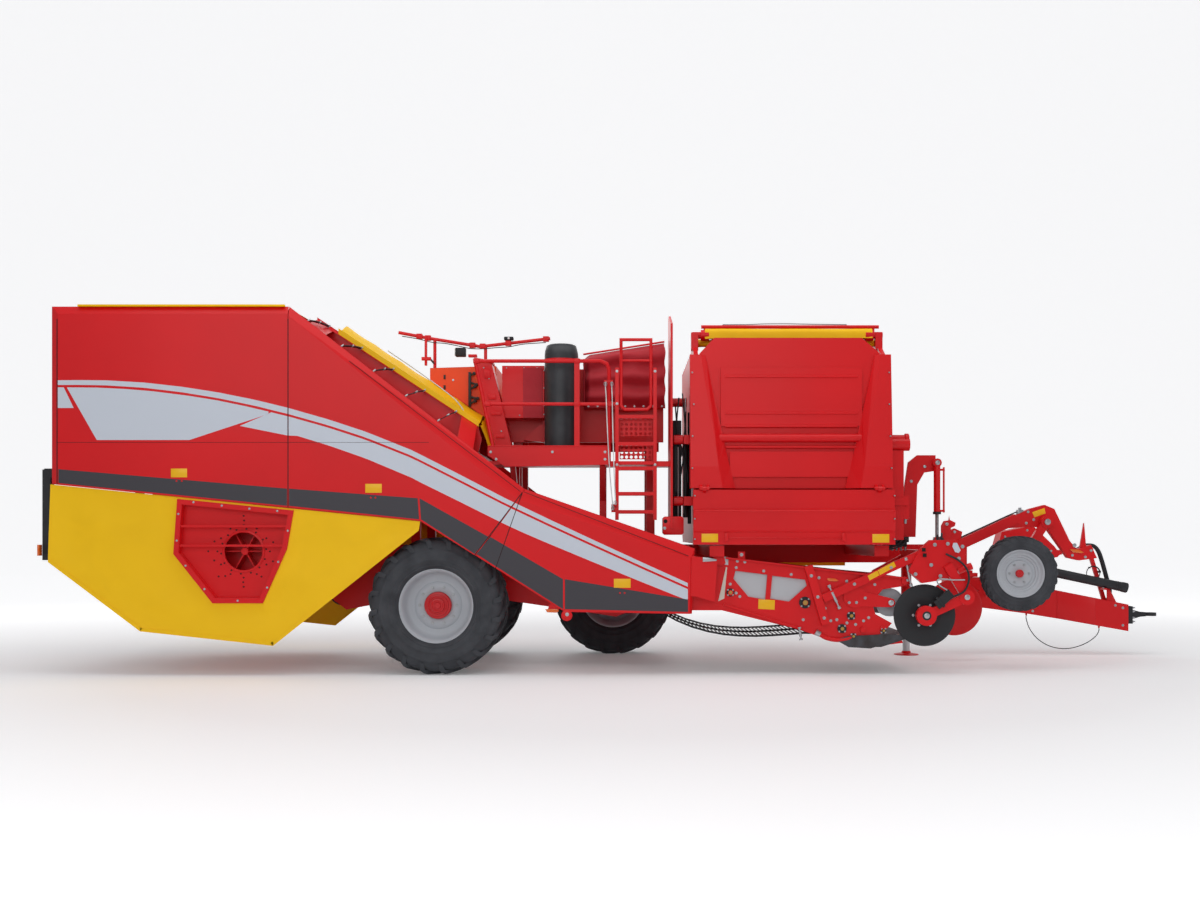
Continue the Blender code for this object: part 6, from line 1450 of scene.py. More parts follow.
def worn_steel(name, code, roughness):
    """Rolled steel polished by soil: grey with bright and dull clouds and a brown tinge of rust."""
    made, tree, shader = new_finish(name)
    shader.inputs["Metallic"].default_value = 0.75
    place = add(tree, "ShaderNodeTexCoord")
    cloud = clouded(tree, shader, place, {"Scale": 9.0, "Detail": 6.0}, code, (0.35, 0.65),
                    (0.7, 0.62, 0.55), (1.1,) * 3)
    sheen = add(tree, "ShaderNodeMapRange", {"To Min": roughness - 0.1, "To Max": roughness + 0.15},
                {"Value": cloud.outputs["Fac"]})
    tree.links.new(sheen.outputs["Result"], shader.inputs["Roughness"])
    return made


bright_steel = worn_steel("worn_steel", "8E8F92", 0.4)
dark_steel = worn_steel("web_rod_steel", "4A4B4F", 0.5)
belt_rubber = rubber("belt_rubber", "222327", 0.8)


def drum_arc(drum, start, end, steps=10):
    """Places round a drum, at the middle of the belt that runs over it."""
    x, z, r = drum
    r += SEAT + 0.011
    return [(x + r * cos(radians(start + (end - start) * i / steps)),
             z + r * sin(radians(start + (end - start) * i / steps))) for i in range(steps + 1)]


def digging_loop():
    """The digging web's run: up over the rollers, round the rear drum, and back in a slack arc."""
    gap = 0.011 + SEAT
    (mx, mz, mr), (px, pz, pr) = (1.77, 0.785, 0.054), (0.954, 0.894, 0.085)
    top = [(mx + 0.02, mz + mr + gap), (mx - 0.02, mz + mr + gap + 0.003), (px + 0.03, pz + pr + gap),
           (px - 0.03, pz + pr + gap)]
    sag = [(0.45, 0.54), (0.8, 0.44), (1.15, 0.41), (1.5, 0.425), (1.85, 0.455), (2.2, 0.42)]
    rear, front = drum_arc((0.16, 0.84, 0.118), 95, 255), drum_arc((2.4, 0.49, 0.063), 262, 475)
    return (top + rear + sag + front)[::-1]


def cleaning_loop():
    """The main web's run from the front drum up to the rear one, lifted over the axle by two idlers."""
    idlers = ((-2.55, 0.824, 0.04), (-1.95, 0.824, 0.04))  # X, Z and radius
    over = [(x, z + (r + SEAT + 0.011) / cos(radians(8))) for x, z, r in idlers]
    return drum_arc((-3.46, 0.88, 0.155), 86, 280) + over + drum_arc((-0.25, 0.72, 0.085), 261.5, 446)


def run_tree():
    """Geometry nodes: copies of one rod at an even pitch along a closed run, turned with it."""
    tree = bpy.data.node_groups.new("along_a_run", "GeometryNodeTree")
    for name, kind in (("Shape", "Geometry"), ("Run", "Object"), ("Pitch", "Float"),
                       ("Finish", "Material")):
        tree.interface.new_socket(name=name, in_out="INPUT", socket_type="NodeSocket" + kind)
    tree.interface.new_socket(name="Geometry", in_out="OUTPUT", socket_type="NodeSocketGeometry")
    start = add(tree, "NodeGroupInput")
    run = add(tree, "GeometryNodeObjectInfo", {}, {"Object": start.outputs["Run"]})
    line = add(tree, "GeometryNodeMeshToCurve", {}, {"Mesh": run.outputs["Geometry"]})
    even = add(tree, "GeometryNodeResampleCurve", {},
               {"Curve": line.outputs[0], "Length": start.outputs["Pitch"]}, mode="LENGTH")
    along = add(tree, "GeometryNodeInputTangent")
    turn = add(tree, "FunctionNodeAlignRotationToVector", {}, {"Vector": along.outputs[0]},
               axis="X", pivot_axis="Y")
    copies = add(tree, "GeometryNodeInstanceOnPoints", {},
                 {"Points": even.outputs[0], "Instance": start.outputs["Shape"],
                  "Rotation": turn.outputs[0]})
    real = add(tree, "GeometryNodeRealizeInstances", {}, {"Geometry": copies.outputs["Instances"]})
    coated = add(tree, "GeometryNodeSetMaterial", {},
                 {"Geometry": real.outputs[0], "Material": start.outputs["Finish"]})
    add(tree, "NodeGroupOutput", {}, {0: coated.outputs[0]})
    return tree


along_a_run = run_tree()


def belt_shape(points, y):
    """One endless belt: a closed band round the run of points."""
    rings = []
    for i, p in enumerate(points):
        before, after = points[i - 1], points[(i + 1) % len(points)]
        along = Vector((after[0] - before[0], after[1] - before[1])).normalized()
        out = Vector((along.y, -along.x)) * BELT_T / 2
        rings.append([(p[0] + b * out.x, y + a * BELT_W / 2, p[1] + b * out.y)
                      for a, b in ((-1, -1), (1, -1), (1, 1), (-1, 1))])
    return loft(rings, closed=True)


def rounded(points, rounds=2):
    """Cuts the corners of a closed run so that a belt bends smoothly."""
    for _ in range(rounds):
        finer = []
        for a, b in zip(points, points[1:] + points[:1]):
            finer.append((a[0] * 0.75 + b[0] * 0.25, a[1] * 0.75 + b[1] * 0.25))
            finer.append((a[0] * 0.25 + b[0] * 0.75, a[1] * 0.25 + b[1] * 0.75))
        points = finer
    return points


def rod_web(name, loop, y, node, body):
    """A web: rubber belts, and rods of round spring steel at an even pitch."""
    places = (y[0] + BELT_W / 2, y[1] - BELT_W / 2, (y[0] + y[1]) / 2)
    belts = piece(name + "_belts", [belt_shape(loop, place) for place in places], belt_rubber, body, 40)
    stands_for(node)
    shape = bar((0.0, 0.0), ROD_R, y[0] + 0.012, y[1] - 0.012, sides=8)
    rods = piece(name + "_rods", [shape], dark_steel, body)
    mesh = bpy.data.meshes.new(name + "_run")
    mesh.from_pydata([(x, 0.0, z) for x, z in loop], [(i, (i + 1) % len(loop)) for i in range(len(loop))],
                     [])
    run = new_object(name + "_run", mesh)
    grown(rods, along_a_run, run=run, pitch=ROD_PITCH, finish=dark_steel)
    bpy.data.objects.remove(run)


rod_web("digging_web", rounded(digging_loop(), 1), WEB_Y, "digging_web", "digging_unit")
rod_web("main_web", rounded(cleaning_loop(), 1), CLEAN_Y, "main_web", "chassis")


def node_tree_of(name):
    """A search tree of a CAD node's faces."""
    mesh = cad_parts[name].data
    return BVHTree.FromPolygons([v.co for v in mesh.vertices], [tuple(p.vertices) for p in mesh.polygons])


SEARCH = {}


def near_face(x, z, *nodes):
    """Y of the first CAD face that a line along Y meets from the right side, or None."""
    found = []
    for name in nodes:
        if name not in SEARCH:
            SEARCH[name] = node_tree_of(name)
        place = SEARCH[name].ray_cast(Vector((x, -3.0, z)), Vector((0.0, 1.0, 0.0)))[0]
        if place:
            found.append(place.y)
    return min(found) if found else None


coat(red_enamel, "digging_frame")
coat(dark_steel, "shares")
WINDOWS = (  # X and Z round each window
    ((1.008, 1.133), (1.357, 1.09), (1.335, 0.817), (1.15, 0.85), (0.986, 1.046)),
    ((1.411, 1.079), (1.77, 1.035), (1.79, 0.97), (1.596, 0.796), (1.389, 0.828)),
)
grey_polycarbonate = even_finish("grey_polycarbonate", "B9BCC0", 0.35)
panes = []
for window in WINDOWS:
    middle = Vector((sum(x for x, _ in window) / 5, sum(z for _, z in window) / 5))
    wider = [tuple(middle + (Vector(p) - middle) * 1.08) for p in window]
    panes.append(prism(wider, RIGHT_PLATE_Y + 0.0215, RIGHT_PLATE_Y + 0.0255))
piece("window_panes", panes, grey_polycarbonate, "digging_unit")

FRAME_BOLTS = (  # X and Z on the right side plate
    (1.017, 1.168), (1.317, 1.131), (1.618, 1.093), (1.922, 1.057), (2.226, 1.019), (0.951, 0.988),
    (1.016, 0.89), (1.056, 0.852), (1.75, 0.598), (1.989, 0.722), (2.051, 0.586), (2.117, 0.598),
    (1.029, 1.238), (1.111, 1.23), (2.25, 0.786), (2.533, 0.983), (2.329, 0.787), (2.425, 0.836),
    (2.228, 0.563), (2.323, 0.546), (2.41, 0.586), (2.465, 0.62), (2.333, 0.361), (2.43, 0.37),
    (2.889, 1.032), (0.2, 0.76), (0.12, 0.9), (0.45, 0.98),
)
bolts = []
for x, z in FRAME_BOLTS:
    y = near_face(x, z, "digging_frame")
    if y is not None and y < -1.3:
        bolts += nut(0.011, 0.009, (x, y, z), -1)
BRACE_Y = RIGHT_PLATE_Y - 0.065
bolts += nuts_at(BRACE_Y + 0.0005, ((1.83, 1.08), (1.9, 0.85), (1.97, 0.62), (2.3, 0.99), (2.7, 1.17),
                                    (3.0, 1.31)), 0.012, 0.01)
piece("digging_bolts", bolts, zinc, "digging_unit")

brass = enamel("brass_bush", "B08A4A", 0.35, 0.0, 0.001)
brass.node_tree.nodes["Principled BSDF"].inputs["Metallic"].default_value = 0.9
BEARINGS = (  # X, Z, radius of the housing on the right side plate
    (1.768, 0.786, 0.064), (0.952, 0.897, 0.044), (2.273, 0.642, 0.046), (2.173, 0.501, 0.05),
    (2.296, 0.418, 0.034), (2.625, 0.48, 0.034),
)
housings, bushes, screws = [], [], []
for x, z, r in BEARINGS:
    y = RIGHT_PLATE_Y
    housings.append(turned([(0.0, y), (r, y), (r, y - 0.012), (r * 0.86, y - 0.018), (r * 0.6, y - 0.02),
                            (r * 0.55, y - 0.034), (0.0, y - 0.034)], (x, z), sides=32))
    bushes.append(turned([(0.0, y - 0.033), (r * 0.42, y - 0.034), (r * 0.4, y - 0.042), (0.0, y - 0.042)],
                         (x, z), sides=24))
    for k in range(4):
        a = pi / 4 + pi / 2 * k
        screws += nut(0.008, 0.008, (x + r * 0.8 * cos(a), y - 0.016, z + r * 0.8 * sin(a)), -1)
piece("roller_bearings", housings, black_powder, "digging_unit", 40)
piece("bearing_bushes", bushes, brass, "digging_unit", 40)
piece("bearing_screws", screws, zinc, "digging_unit")

adjusters = []
for (ax, az), (bx, bz) in (((2.86, 1.28), (2.92, 0.96)), ((2.02, 0.98), (2.14, 0.72)),
                           ((1.7, 0.52), (1.72, 0.38))):
    y = RIGHT_PLATE_Y - 0.055
    a, b = Vector((ax, y, az)), Vector((bx, y, bz))
    along = (b - a).normalized()
    across = Vector((along.z, 0, -along.x))
    for start, end, r in ((0.0, 1.0, 0.009), (0.3, 0.72, 0.016), (0.0, 0.1, 0.02), (0.9, 1.0, 0.02)):
        p, q = a.lerp(b, start), a.lerp(b, end)
        adjusters.append(loft([[m + across * r * cos(t) + Vector((0, r * sin(t), 0))
                                for t in (2 * pi * k / 12 for k in range(12))] for m in (p, q)]))
piece("turnbuckles", adjusters, zinc, "digging_unit", 40)

# Disc coulters and depth roller: a black disc on the right and a red one on the left, each on a cast hub.
# The roller is two waisted drums of rolled sheet in grey; a hydraulic motor turns the right disc.

DISC_HALF, DISC_R = 0.01, 0.338  # half thickness and radius
RIGHT_DISC = (3.066, 0.65)  # X and Z
ROLLER = (2.706, 0.785)  # X and Z
ROLLER_R = 0.155
DISCS = (  # name, node, body, X, Y, Z, side, finish
    ("disc_right_turned", "disc_right", "right_disc", RIGHT_DISC[0], -1.5, RIGHT_DISC[1], -1, black_powder),
    ("disc_left_turned", "disc_left", "left_disc", 3.765, 0.06, 0.652, 1, red_enamel),
)
for name, node, body, x, y, z, side, finish in DISCS:
    t, rim = DISC_HALF, DISC_R
    face = side * (0.045 - SEAT)
    profile = [(0.031, y + face), (0.07, y + face), (0.07, y + side * t), (0.16, y + side * t),
               (0.17, y + side * (t + 0.004)), (rim - 0.05, y + side * (t + 0.003)),
               (rim - 0.03, y + side * t), (rim, y), (rim - 0.03, y - side * t), (0.17, y - side * t),
               (0.031, y - side * t)]
    disc = piece(name, [turned(profile, (x, z))], finish, body, 25)
    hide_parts(node)
    hub_nuts = []
    for k in range(6):
        a = 2 * pi * k / 6
        hub_nuts += nut(0.01, 0.008, (x + 0.125 * cos(a), y + side * t, z + 0.125 * sin(a)), side)
    piece(node + "_nuts", hub_nuts, zinc, body)

r = ROLLER_R
low_y, high_y = WEB_Y[0] + 0.005, WEB_Y[1] - 0.005
drum = (high_y - low_y) / 2
profile = [(0.0228, low_y), (0.05, low_y), (0.055, low_y + 0.02), (r - 0.012, low_y + 0.02),
           (r - 0.012, low_y), (r, low_y)]
for part in range(2):
    for k in range(13):
        t = k / 12
        across = low_y + drum * part + 0.045 + (drum - 0.09) * t
        profile.append((0.075 + (r - 0.075) * (2 * t - 1) ** 2, across))
    if part == 0:
        profile += [(r, low_y + drum - 0.03), (r, low_y + drum + 0.03)]
profile += [(r, high_y), (r - 0.012, high_y), (r - 0.012, high_y - 0.02), (0.055, high_y - 0.02),
            (0.05, high_y), (0.0228, high_y)]
drums = piece("depth_roller_drums", [turned(profile, ROLLER, sides=72)], silver_enamel, "depth_roller", 40)
stands_for("depth_roller")

motor = [turned([(0.0, -1.63), (0.045, -1.63), (0.05, -1.625), (0.05, -1.585), (0.04, -1.58), (0.0, -1.58)],
                RIGHT_DISC, sides=32)]
motor.append(flat_bar((3.17, -1.6, 0.76), (3.33, -1.6, 0.9), Vector((-0.033, 0, 0.038)),
                      Vector((0, 0.038, 0))))
motor.append(flat_bar((3.2, -1.6, 0.79), (3.22, -1.6, 0.81), Vector((-0.045, 0, 0.052)),
                      Vector((0, 0.045, 0))))
piece("disc_motor", motor, black_powder, "digging_unit", bevel=0.005)
round_line("motor_pipe", [(3.28, -1.64, 0.93), (3.2, -1.65, 0.98), (3.17, -1.65, 1.03), (3.22, -1.65, 1.05),
                          (3.34, -1.65, 1.04), (3.47, -1.65, 1.04)], 0.016, 28, zinc, "digging_unit")
round_line("motor_hose", [(3.36, -1.62, 0.86), (3.47, -1.63, 0.92), (3.52, -1.63, 1.05),
                          (3.49, -1.62, 1.17), (3.4, -1.6, 1.26), (3.28, -1.58, 1.32)], 0.022, 32,
           hose_sleeve, "digging_unit")
arm_caps = []
for place, y in ((RIGHT_DISC, -1.6255), ((3.506, 0.85), -1.6105), (ROLLER, -1.4855)):
    arm_caps.append(turned([(0.0, y), (0.03, y), (0.03, y - 0.006), (0.022, y - 0.01), (0.0, y - 0.01)],
                           place, sides=24))
piece("pin_caps", arm_caps, zinc, "digging_unit", 40)
PORTAL_FACE = -1.587
window_y = (PORTAL_FACE - 0.005, PORTAL_FACE + 0.001)
# The portal's windows are near-black blocks of painted shade, for the dark inside seen through them.
portal = [block((3.02, 3.06), window_y, (1.345, 1.385)), block((3.03, 3.07), window_y, (1.285, 1.325))]
piece("portal_windows", portal, hole_shade, "digging_unit")
piece("portal_blank_plate",
      [prism([(3.36, 1.44), (3.4, 1.44), (3.44, 1.36), (3.42, 1.33), (3.38, 1.34), (3.35, 1.4)], -1.589,
             -1.5865)], pale_foil, "digging_unit")
bolts = []
bolts += nuts_at(PORTAL_FACE, ((3.16, 1.42), (3.22, 1.08), (3.42, 1.27), (2.95, 1.1), (3.3, 1.43),
                               (3.46, 1.4), (3.12, 1.2)), 0.014, 0.012)
piece("portal_bolts", bolts, zinc, "digging_unit")

# Front: boom with the depth wheel's arm, lift cylinder, valve and lines on the bridge, bolted or pinned.
# Sheet and box steel in red enamel, zinc-plated pins and fittings, rubber hoses, a bright rod.

coat(bright_steel, "lift_rod")
coat(black_powder, "hitch_eye")


def aimed(shape, start, direction):
    """Turns a shape made along X to another direction and moves it to a place."""
    turn = Vector(direction).to_track_quat("X", "Z")
    return [Vector(start) + turn @ Vector(p) for p in shape[0]], shape[1]


def cap(x, z, y, radius, height=0.014):
    """A pin's end with its retaining washer, facing the right side."""
    rim = radius * 1.35
    profile = [(0.0, y), (rim, y), (rim, y - height * 0.4), (radius, y - height * 0.45),
               (radius, y - height * 0.9), (radius * 0.8, y - height), (0.0, y - height)]
    return turned(profile, (x, z), sides=28)


BOOM_FACE = -0.67
boom_pins = [cap(4.633, 1.674, -0.78, 0.026), cap(4.975, 1.405, BOOM_FACE, 0.017)]
boom_pins += nuts_at(BOOM_FACE, ((4.505, 1.7), (4.42, 1.66), (5.165, 1.345), (5.1, 1.27), (4.95, 1.29),
                                 (4.44, 1.79)), 0.011, 0.01)
piece("boom_pins", boom_pins, zinc, "digging_unit", 40)
ear = [(3.44, 1.43), (3.44, 1.63), (3.47, 1.685), (3.55, 1.695), (3.61, 1.665), (3.6, 1.625),
       (3.555, 1.605), (3.56, 1.43)]
ears = [prism(ear, -0.664, -0.65), prism([(3.525, 1.69), (3.535, 1.745), (3.545, 1.69)], -0.662, -0.652)]
piece("boom_ear", ears, red_enamel, "digging_unit", bevel=0.002)
ear_pins = [cap(3.507, 1.65, -0.664, 0.014), cap(3.6, 1.56, -0.65, 0.012), cap(3.374, 1.46, -0.8, 0.018)]
piece("boom_ear_pins", ear_pins, zinc, "digging_unit", 40)
valve = [block((4.325, 4.395), (-0.655, -0.585), (1.765, 1.815)),
         block((4.345, 4.375), (-0.64, -0.6), (1.81, 1.84))]
piece("boom_valve", valve, zinc, "digging_unit", bevel=0.004)

ARM = (Vector((3.42, 0.0, 1.3)), Vector((4.31, 0.0, 1.71)))  # the box arm's centre line
ARM_UP = Vector((-0.418, 0.0, 0.908))
for number, (y, share) in enumerate(((-0.6, 0.92), (-0.58, 0.9))):
    route = []
    for t in (0.12, 0.3, 0.5, 0.7, share):
        place = ARM[0].lerp(ARM[1], t) + ARM_UP * 0.067
        route.append((place.x, y, place.z))
    route.append((4.33, y, 1.79))
    round_line("boom_line_%d" % (number + 1), route, 0.013, 30, hose_sleeve, "digging_unit")

BRIDGE_TOP = 1.39
fittings = []
for number, (x, y, reach, rise) in enumerate((
        (3.3, -1.22, 0.24, 0.11), (3.33, -1.16, 0.22, 0.15), (3.36, -1.1, 0.24, 0.09),
        (3.31, -1.02, 0.17, 0.13))):
    route = [(x, y, BRIDGE_TOP), (x, y, BRIDGE_TOP + 0.05),
             (x + 0.015, y + reach * 0.25, BRIDGE_TOP + rise * 0.9),
             (x + 0.03, y + reach * 0.5, BRIDGE_TOP + rise),
             (x + 0.045, y + reach * 0.8, BRIDGE_TOP + rise * 0.8),
             (x + 0.05, y + reach, BRIDGE_TOP + 0.05), (x + 0.05, y + reach, BRIDGE_TOP)]
    round_line("bridge_hose_%d" % (number + 1), route, 0.02, 30, hose_sleeve, "digging_unit")
    for place_x, place_y in ((x, y), (x + 0.05, y + reach)):
        fittings.append(bar((place_x, place_y), 0.013, BRIDGE_TOP, BRIDGE_TOP + 0.035, "z", 12))
        fittings.append(bar((place_x, place_y), 0.017, BRIDGE_TOP, BRIDGE_TOP + 0.014, "z", 6))
piece("bridge_fittings", fittings, zinc, "digging_unit", 35)
arm_tube = aimed(bar((0.0, 0.0), 0.034, 0.0, 0.16, "x", 28), (3.42, -1.545, 1.13), (0.93, 0.0, 0.36))
arm_end = aimed(bar((0.0, 0.0), 0.04, 0.12, 0.16, "x", 28), (3.42, -1.545, 1.13), (0.93, 0.0, 0.36))
piece("disc_arm_tube", [arm_tube, arm_end], red_enamel, "digging_unit", 40)

# The valve block hangs under the gooseneck's plate; its lines run in under the bunker.
# The gooseneck's pin and bolts are zinc plated; the leak-off pipe beside the cylinder is steel tube in red.

VALVE_X = (2.78, 3.05)
blocks = [block(VALVE_X, (-0.77, -0.62), (1.44, 1.503)), block((2.8, 3.03), (-0.76, -0.68), (1.39, 1.442))]
piece("valve_block", blocks, black_powder, bevel=0.004)
spools, heads = [], []
for k in range(5):
    x = 2.815 + 0.05 * k
    spools.append(bar((x, -0.735), 0.015, 1.345, 1.392, "z", 20))
    heads.append(bar((x, 1.475), 0.013, -0.8, -0.77, "y", 6))
    round_line("valve_hose_%d" % (k + 1), [(x, -0.798, 1.475), (x - 0.01, -0.84, 1.472),
                                           (x - 0.06, -0.86, 1.45 - 0.012 * k),
                                           ((x + 2.6) / 2 - 0.03, -0.85 - 0.01 * k, 1.4 - 0.01 * k),
                                           (2.66, -0.82, 1.385), (2.58, -0.8, 1.43)], 0.019,
               32, hose_sleeve)
piece("valve_spools", spools + heads, zinc, smooth=35)
for k, x in enumerate((2.735, 2.765)):
    round_line("front_pipe_%d" % (k + 1), [(x + 0.04, -0.745, 1.49), (x + 0.01, -0.745, 1.56),
                                           (x, -0.76, 1.66), (x, -0.76, 2.0), (x, -0.76, 2.36),
                                           (x - 0.03, -0.76, 2.44), (2.66, -0.76, 2.46)], 0.012, 36, zinc)
POST_FACE = -0.7
post_bolts = [cap(3.374, 2.35, -0.79, 0.02), cap(3.245, 2.31, POST_FACE, 0.013)]
post_bolts += nuts_at(POST_FACE, ((2.76, 1.57), (2.76, 1.36), (2.95, 1.57), (3.05, 1.72), (3.09, 2.14)),
                      0.012, 0.01)
piece("post_bolts", post_bolts, zinc, smooth=40)
CYLINDER = (3.374, -0.75)  # X and Y of the lift cylinder
pipe = [bar((3.452, CYLINDER[1]), 0.011, 1.78, 2.3, "z", 20)]
for z in (2.27, 1.8):
    pipe.append(block((3.4, 3.462), (-0.762, -0.738), (z - 0.012, z + 0.012)))
piece("cylinder_pipe", pipe, red_enamel, "lift_cylinder", 40)
collar = [turned([(0.0386, 1.76), (0.046, 1.76), (0.046, 1.79), (0.0386, 1.79)], CYLINDER, "z", 40)]
piece("barrel_collar", collar, black_powder, "lift_cylinder", 40)
stubs = [turned([(0.0, 2.68), (0.045, 2.68), (0.045, 2.9), (0.06, 2.905), (0.06, 2.94), (0.052, 2.948),
                 (0.0, 2.948)], (-1.24, 2.59), "x", 36), bar((-1.24, 1.9), 0.034, 2.68, 2.88, "x", 32),
         block((2.87, 2.945), (-1.285, -1.195), (1.7, 1.96))]
piece("bunker_front_tubes", stubs, red_enamel, smooth=40)
nozzles = []
for x, z in ((2.9, 2.5), (2.91, 1.66)):
    nozzles.append(bar((x, -1.24), 0.016, z - 0.01, z + 0.05, "z", 6))
piece("front_tube_nipples", nozzles, zinc, smooth=35)

# Drawbar: folded plate box with a doubler plate, gearbox cover and hose post, all in red enamel.
# The shaft turns inside a moulded black guard; jack, flange bolts and clips are zinc plated.

DRAWBAR_FACE = 0.9
for side, word in ((DRAWBAR_FACE, "near"), (1.1, "far")):
    outward = -1 if side < 1.0 else 1
    doubler = [(5.267, 0.815), (5.748, 0.719), (5.748, 0.389), (5.267, 0.474)]
    piece("drawbar_doubler_" + word, [prism(doubler, side, side + outward * 0.006)], red_enamel,
          "tongue", bevel=0.0015)
gusset = [prism([(5.905, 0.69), (5.905, 0.865), (5.93, 0.865), (6.03, 0.665)], 0.925, 0.935)]
piece("drawbar_gusset", gusset, red_enamel, "tongue", bevel=0.002)
nuts = []
nuts += nuts_at(DRAWBAR_FACE, ((6.005, 0.632), (6.1, 0.6), (6.1, 0.38), (4.96, 0.84), (4.96, 0.56)), 0.011,
                0.009)
nuts += nuts_at(0.86, ((4.53, 1.15), (4.6, 1.5), (4.88, 1.58), (5.18, 1.32), (4.84, 0.95)), 0.01, 0.008)
for y in (0.922, 1.078):
    for z in (0.425, 0.475, 0.555, 0.6):
        nuts.append(turned([(0.0, 6.225), (0.015, 6.225), (0.015, 6.243), (0.009, 6.244), (0.009, 6.262),
                            (0.0, 6.262)], (y, z), "x", 6))
piece("drawbar_nuts", nuts, zinc, "tongue")

START, RUN = Vector((4.8, 1.0, 1.143)), Vector((1.252, -0.09, -0.27)).normalized()
profile = [(0.0, 0.1304), (0.05, 0.1304), (0.058, 0.14)]
for k in range(4):
    t = 0.17 + 0.03 * k
    profile += [(0.058, t), (0.0545, t + 0.006), (0.0545, t + 0.012), (0.058, t + 0.018)]
profile += [(0.058, 1.23)]
for k in range(3):
    t = 1.24 + 0.022 * k
    profile += [(0.058, t), (0.061, t + 0.004), (0.061, t + 0.01), (0.058, t + 0.014)]
profile += [(0.062, 1.315), (0.064, 1.33), (0.064, 1.38), (0.058, 1.39), (0.036, 1.39),
            (0.036, 1.375), (0.0, 1.375)]
guard = piece("shaft_guard", [aimed(turned(profile, (0.0, 0.0), "x", 56), START, RUN)],
              black_plastic, "tongue", 35)
stands_for("drive_shaft")

WIRE_RING = (5.756, 1.038)  # X and Z of its middle
WIRE_TURNS = 2.5
ring = []
for k in range(61):
    a = 2 * pi * WIRE_TURNS * k / 60
    r = 0.09 - 0.01 * k / 60
    ring.append((WIRE_RING[0] + r * cos(a), 0.99 + 0.014 * (k / 60) - 0.007, WIRE_RING[1] + r * sin(a)))
round_line("tied_wire_ring", ring, 0.007, 150, cable_jacket, "tongue")
ties = []
for a in (0.25, 2.2):
    x, z = WIRE_RING[0] + 0.085 * cos(a), WIRE_RING[1] + 0.085 * sin(a)
    ties.append(block((x - 0.012, x + 0.012), (0.975, 1.005), (z - 0.01, z + 0.01)))
ties.append(block((5.825, 5.85), (0.975, 1.04), (1.04, 1.065)))
piece("ring_ties", ties, black_plastic, "tongue", bevel=0.003)

JACK = (3.382, 1.0)  # X and Y
foot = turned([(0.0, 0.0), (0.15, 0.0), (0.155, 0.006), (0.153, 0.012), (0.06, 0.028), (0.052, 0.05),
               (0.0, 0.05)], JACK, "z", 48)
leg = bar(JACK, 0.045, 0.04, 1.3, "z", 40)
piece("jack_foot", [foot], red_enamel, "jack", 40)
jack_tube = piece("jack_tube", [leg], zinc, "jack", 40)
stands_for("jack_leg")

# Small parts along the right side: hasp, latch and tab, skid beam, red box by the ladder, hinge reflector.
# They are zinc-plated forgings, red-enamelled plate and a moulded orange lens, bolted in place.

y = near_face(0.72, 1.25, "panel_front_right")
hasp = [prism([(0.64, 1.285), (0.7, 1.28), (0.79, 1.262), (0.79, 1.245), (0.7, 1.238), (0.64, 1.235)],
              y - 0.012, y)]
piece("cover_hasp", hasp, zinc, bevel=0.003)
y = near_face(0.98, 1.15, "digging_frame")
latch = [prism([(0.81, 1.295), (0.93, 1.285), (0.93, 1.195), (0.87, 1.205), (0.81, 1.26)],
               y - 0.008, y + 0.004)]
piece("unit_latch", latch, zinc, "digging_unit", bevel=0.003)
latch_pin = [turned([(0.018, y - 0.016), (0.03, y - 0.016), (0.03, y - 0.006), (0.018, y - 0.006)],
                    (0.85, 1.25), sides=28)]
piece("latch_ring", latch_pin, red_enamel, "digging_unit", 40)
strip = [prism([(0.905, 1.175), (0.918, 1.17), (0.885, 0.83), (0.82, 0.8), (0.855, 0.95)],
               y - 0.006, y - 0.001)]
piece("unit_end_strip", strip, even_finish("cream_rubber", "D6CFC2", 0.6), "digging_unit")
top_tab = [block((1.035, 1.114), (y - 0.004, y + 0.02), (1.245, 1.345))]
piece("unit_tab", top_tab, red_enamel, "digging_unit", bevel=0.004)
piece("unit_tab_bolt", nut(0.013, 0.01, (1.075, y - 0.004, 1.31), -1), zinc, "digging_unit")

y = near_face(2.43, 0.4, "digging_frame")
skid = [prism([(2.275, 0.365), (2.485, 0.3), (2.84, 0.345), (2.82, 0.388), (2.49, 0.352), (2.33, 0.4)],
              y - 0.014, y + 0.006)]
skid.append(prism([(2.45, 0.402), (2.8, 0.418), (2.8, 0.436), (2.45, 0.42)], y - 0.01, y + 0.006))
piece("skid_beam", skid[:1], red_enamel, "digging_unit", bevel=0.003)
piece("skid_strip", skid[1:], even_finish("cream_strip", "CFC7B8", 0.6), "digging_unit")
round_line("skid_tube", [(1.93, y - 0.012, 0.44), (1.98, y - 0.012, 0.408), (2.06, y - 0.012, 0.384),
                         (2.15, y - 0.012, 0.378), (2.23, y - 0.012, 0.392), (2.29, y - 0.006, 0.412)],
           0.048, 24, red_enamel, "digging_unit")
tube_end = aimed(bar((0.0, 0.0), 0.031, 0.0, 0.055, "x", 28), (1.885, y - 0.012, 0.466), (0.8, 0.0, -0.45))
piece("skid_tube_end", [tube_end], zinc, "digging_unit", 40)

BOX_FRONT = -1.4
HOLE_X, HOLE_Z, HOLE_RADIUS = 0.245, 1.675, 0.022
outline = [(0.235, 1.526), (0.425, 1.526), (0.445, 1.546), (0.445, 1.708), (0.425, 1.728), (0.235, 1.728),
           (0.215, 1.708), (0.215, 1.546)]
piece("ladder_foot_box", [prism(outline, BOX_FRONT, -1.17)], red_enamel, bevel=0.004)
piece("box_screws", nut(0.012, 0.01, (0.235, BOX_FRONT, 1.6), -1), zinc)
# The box's hole is a near-black disc of painted shade, for the dark inside of the box.
piece("box_hole", [bar((HOLE_X, HOLE_Z), HOLE_RADIUS, BOX_FRONT - 0.001, BOX_FRONT + 0.002, sides=28)],
      hole_shade)

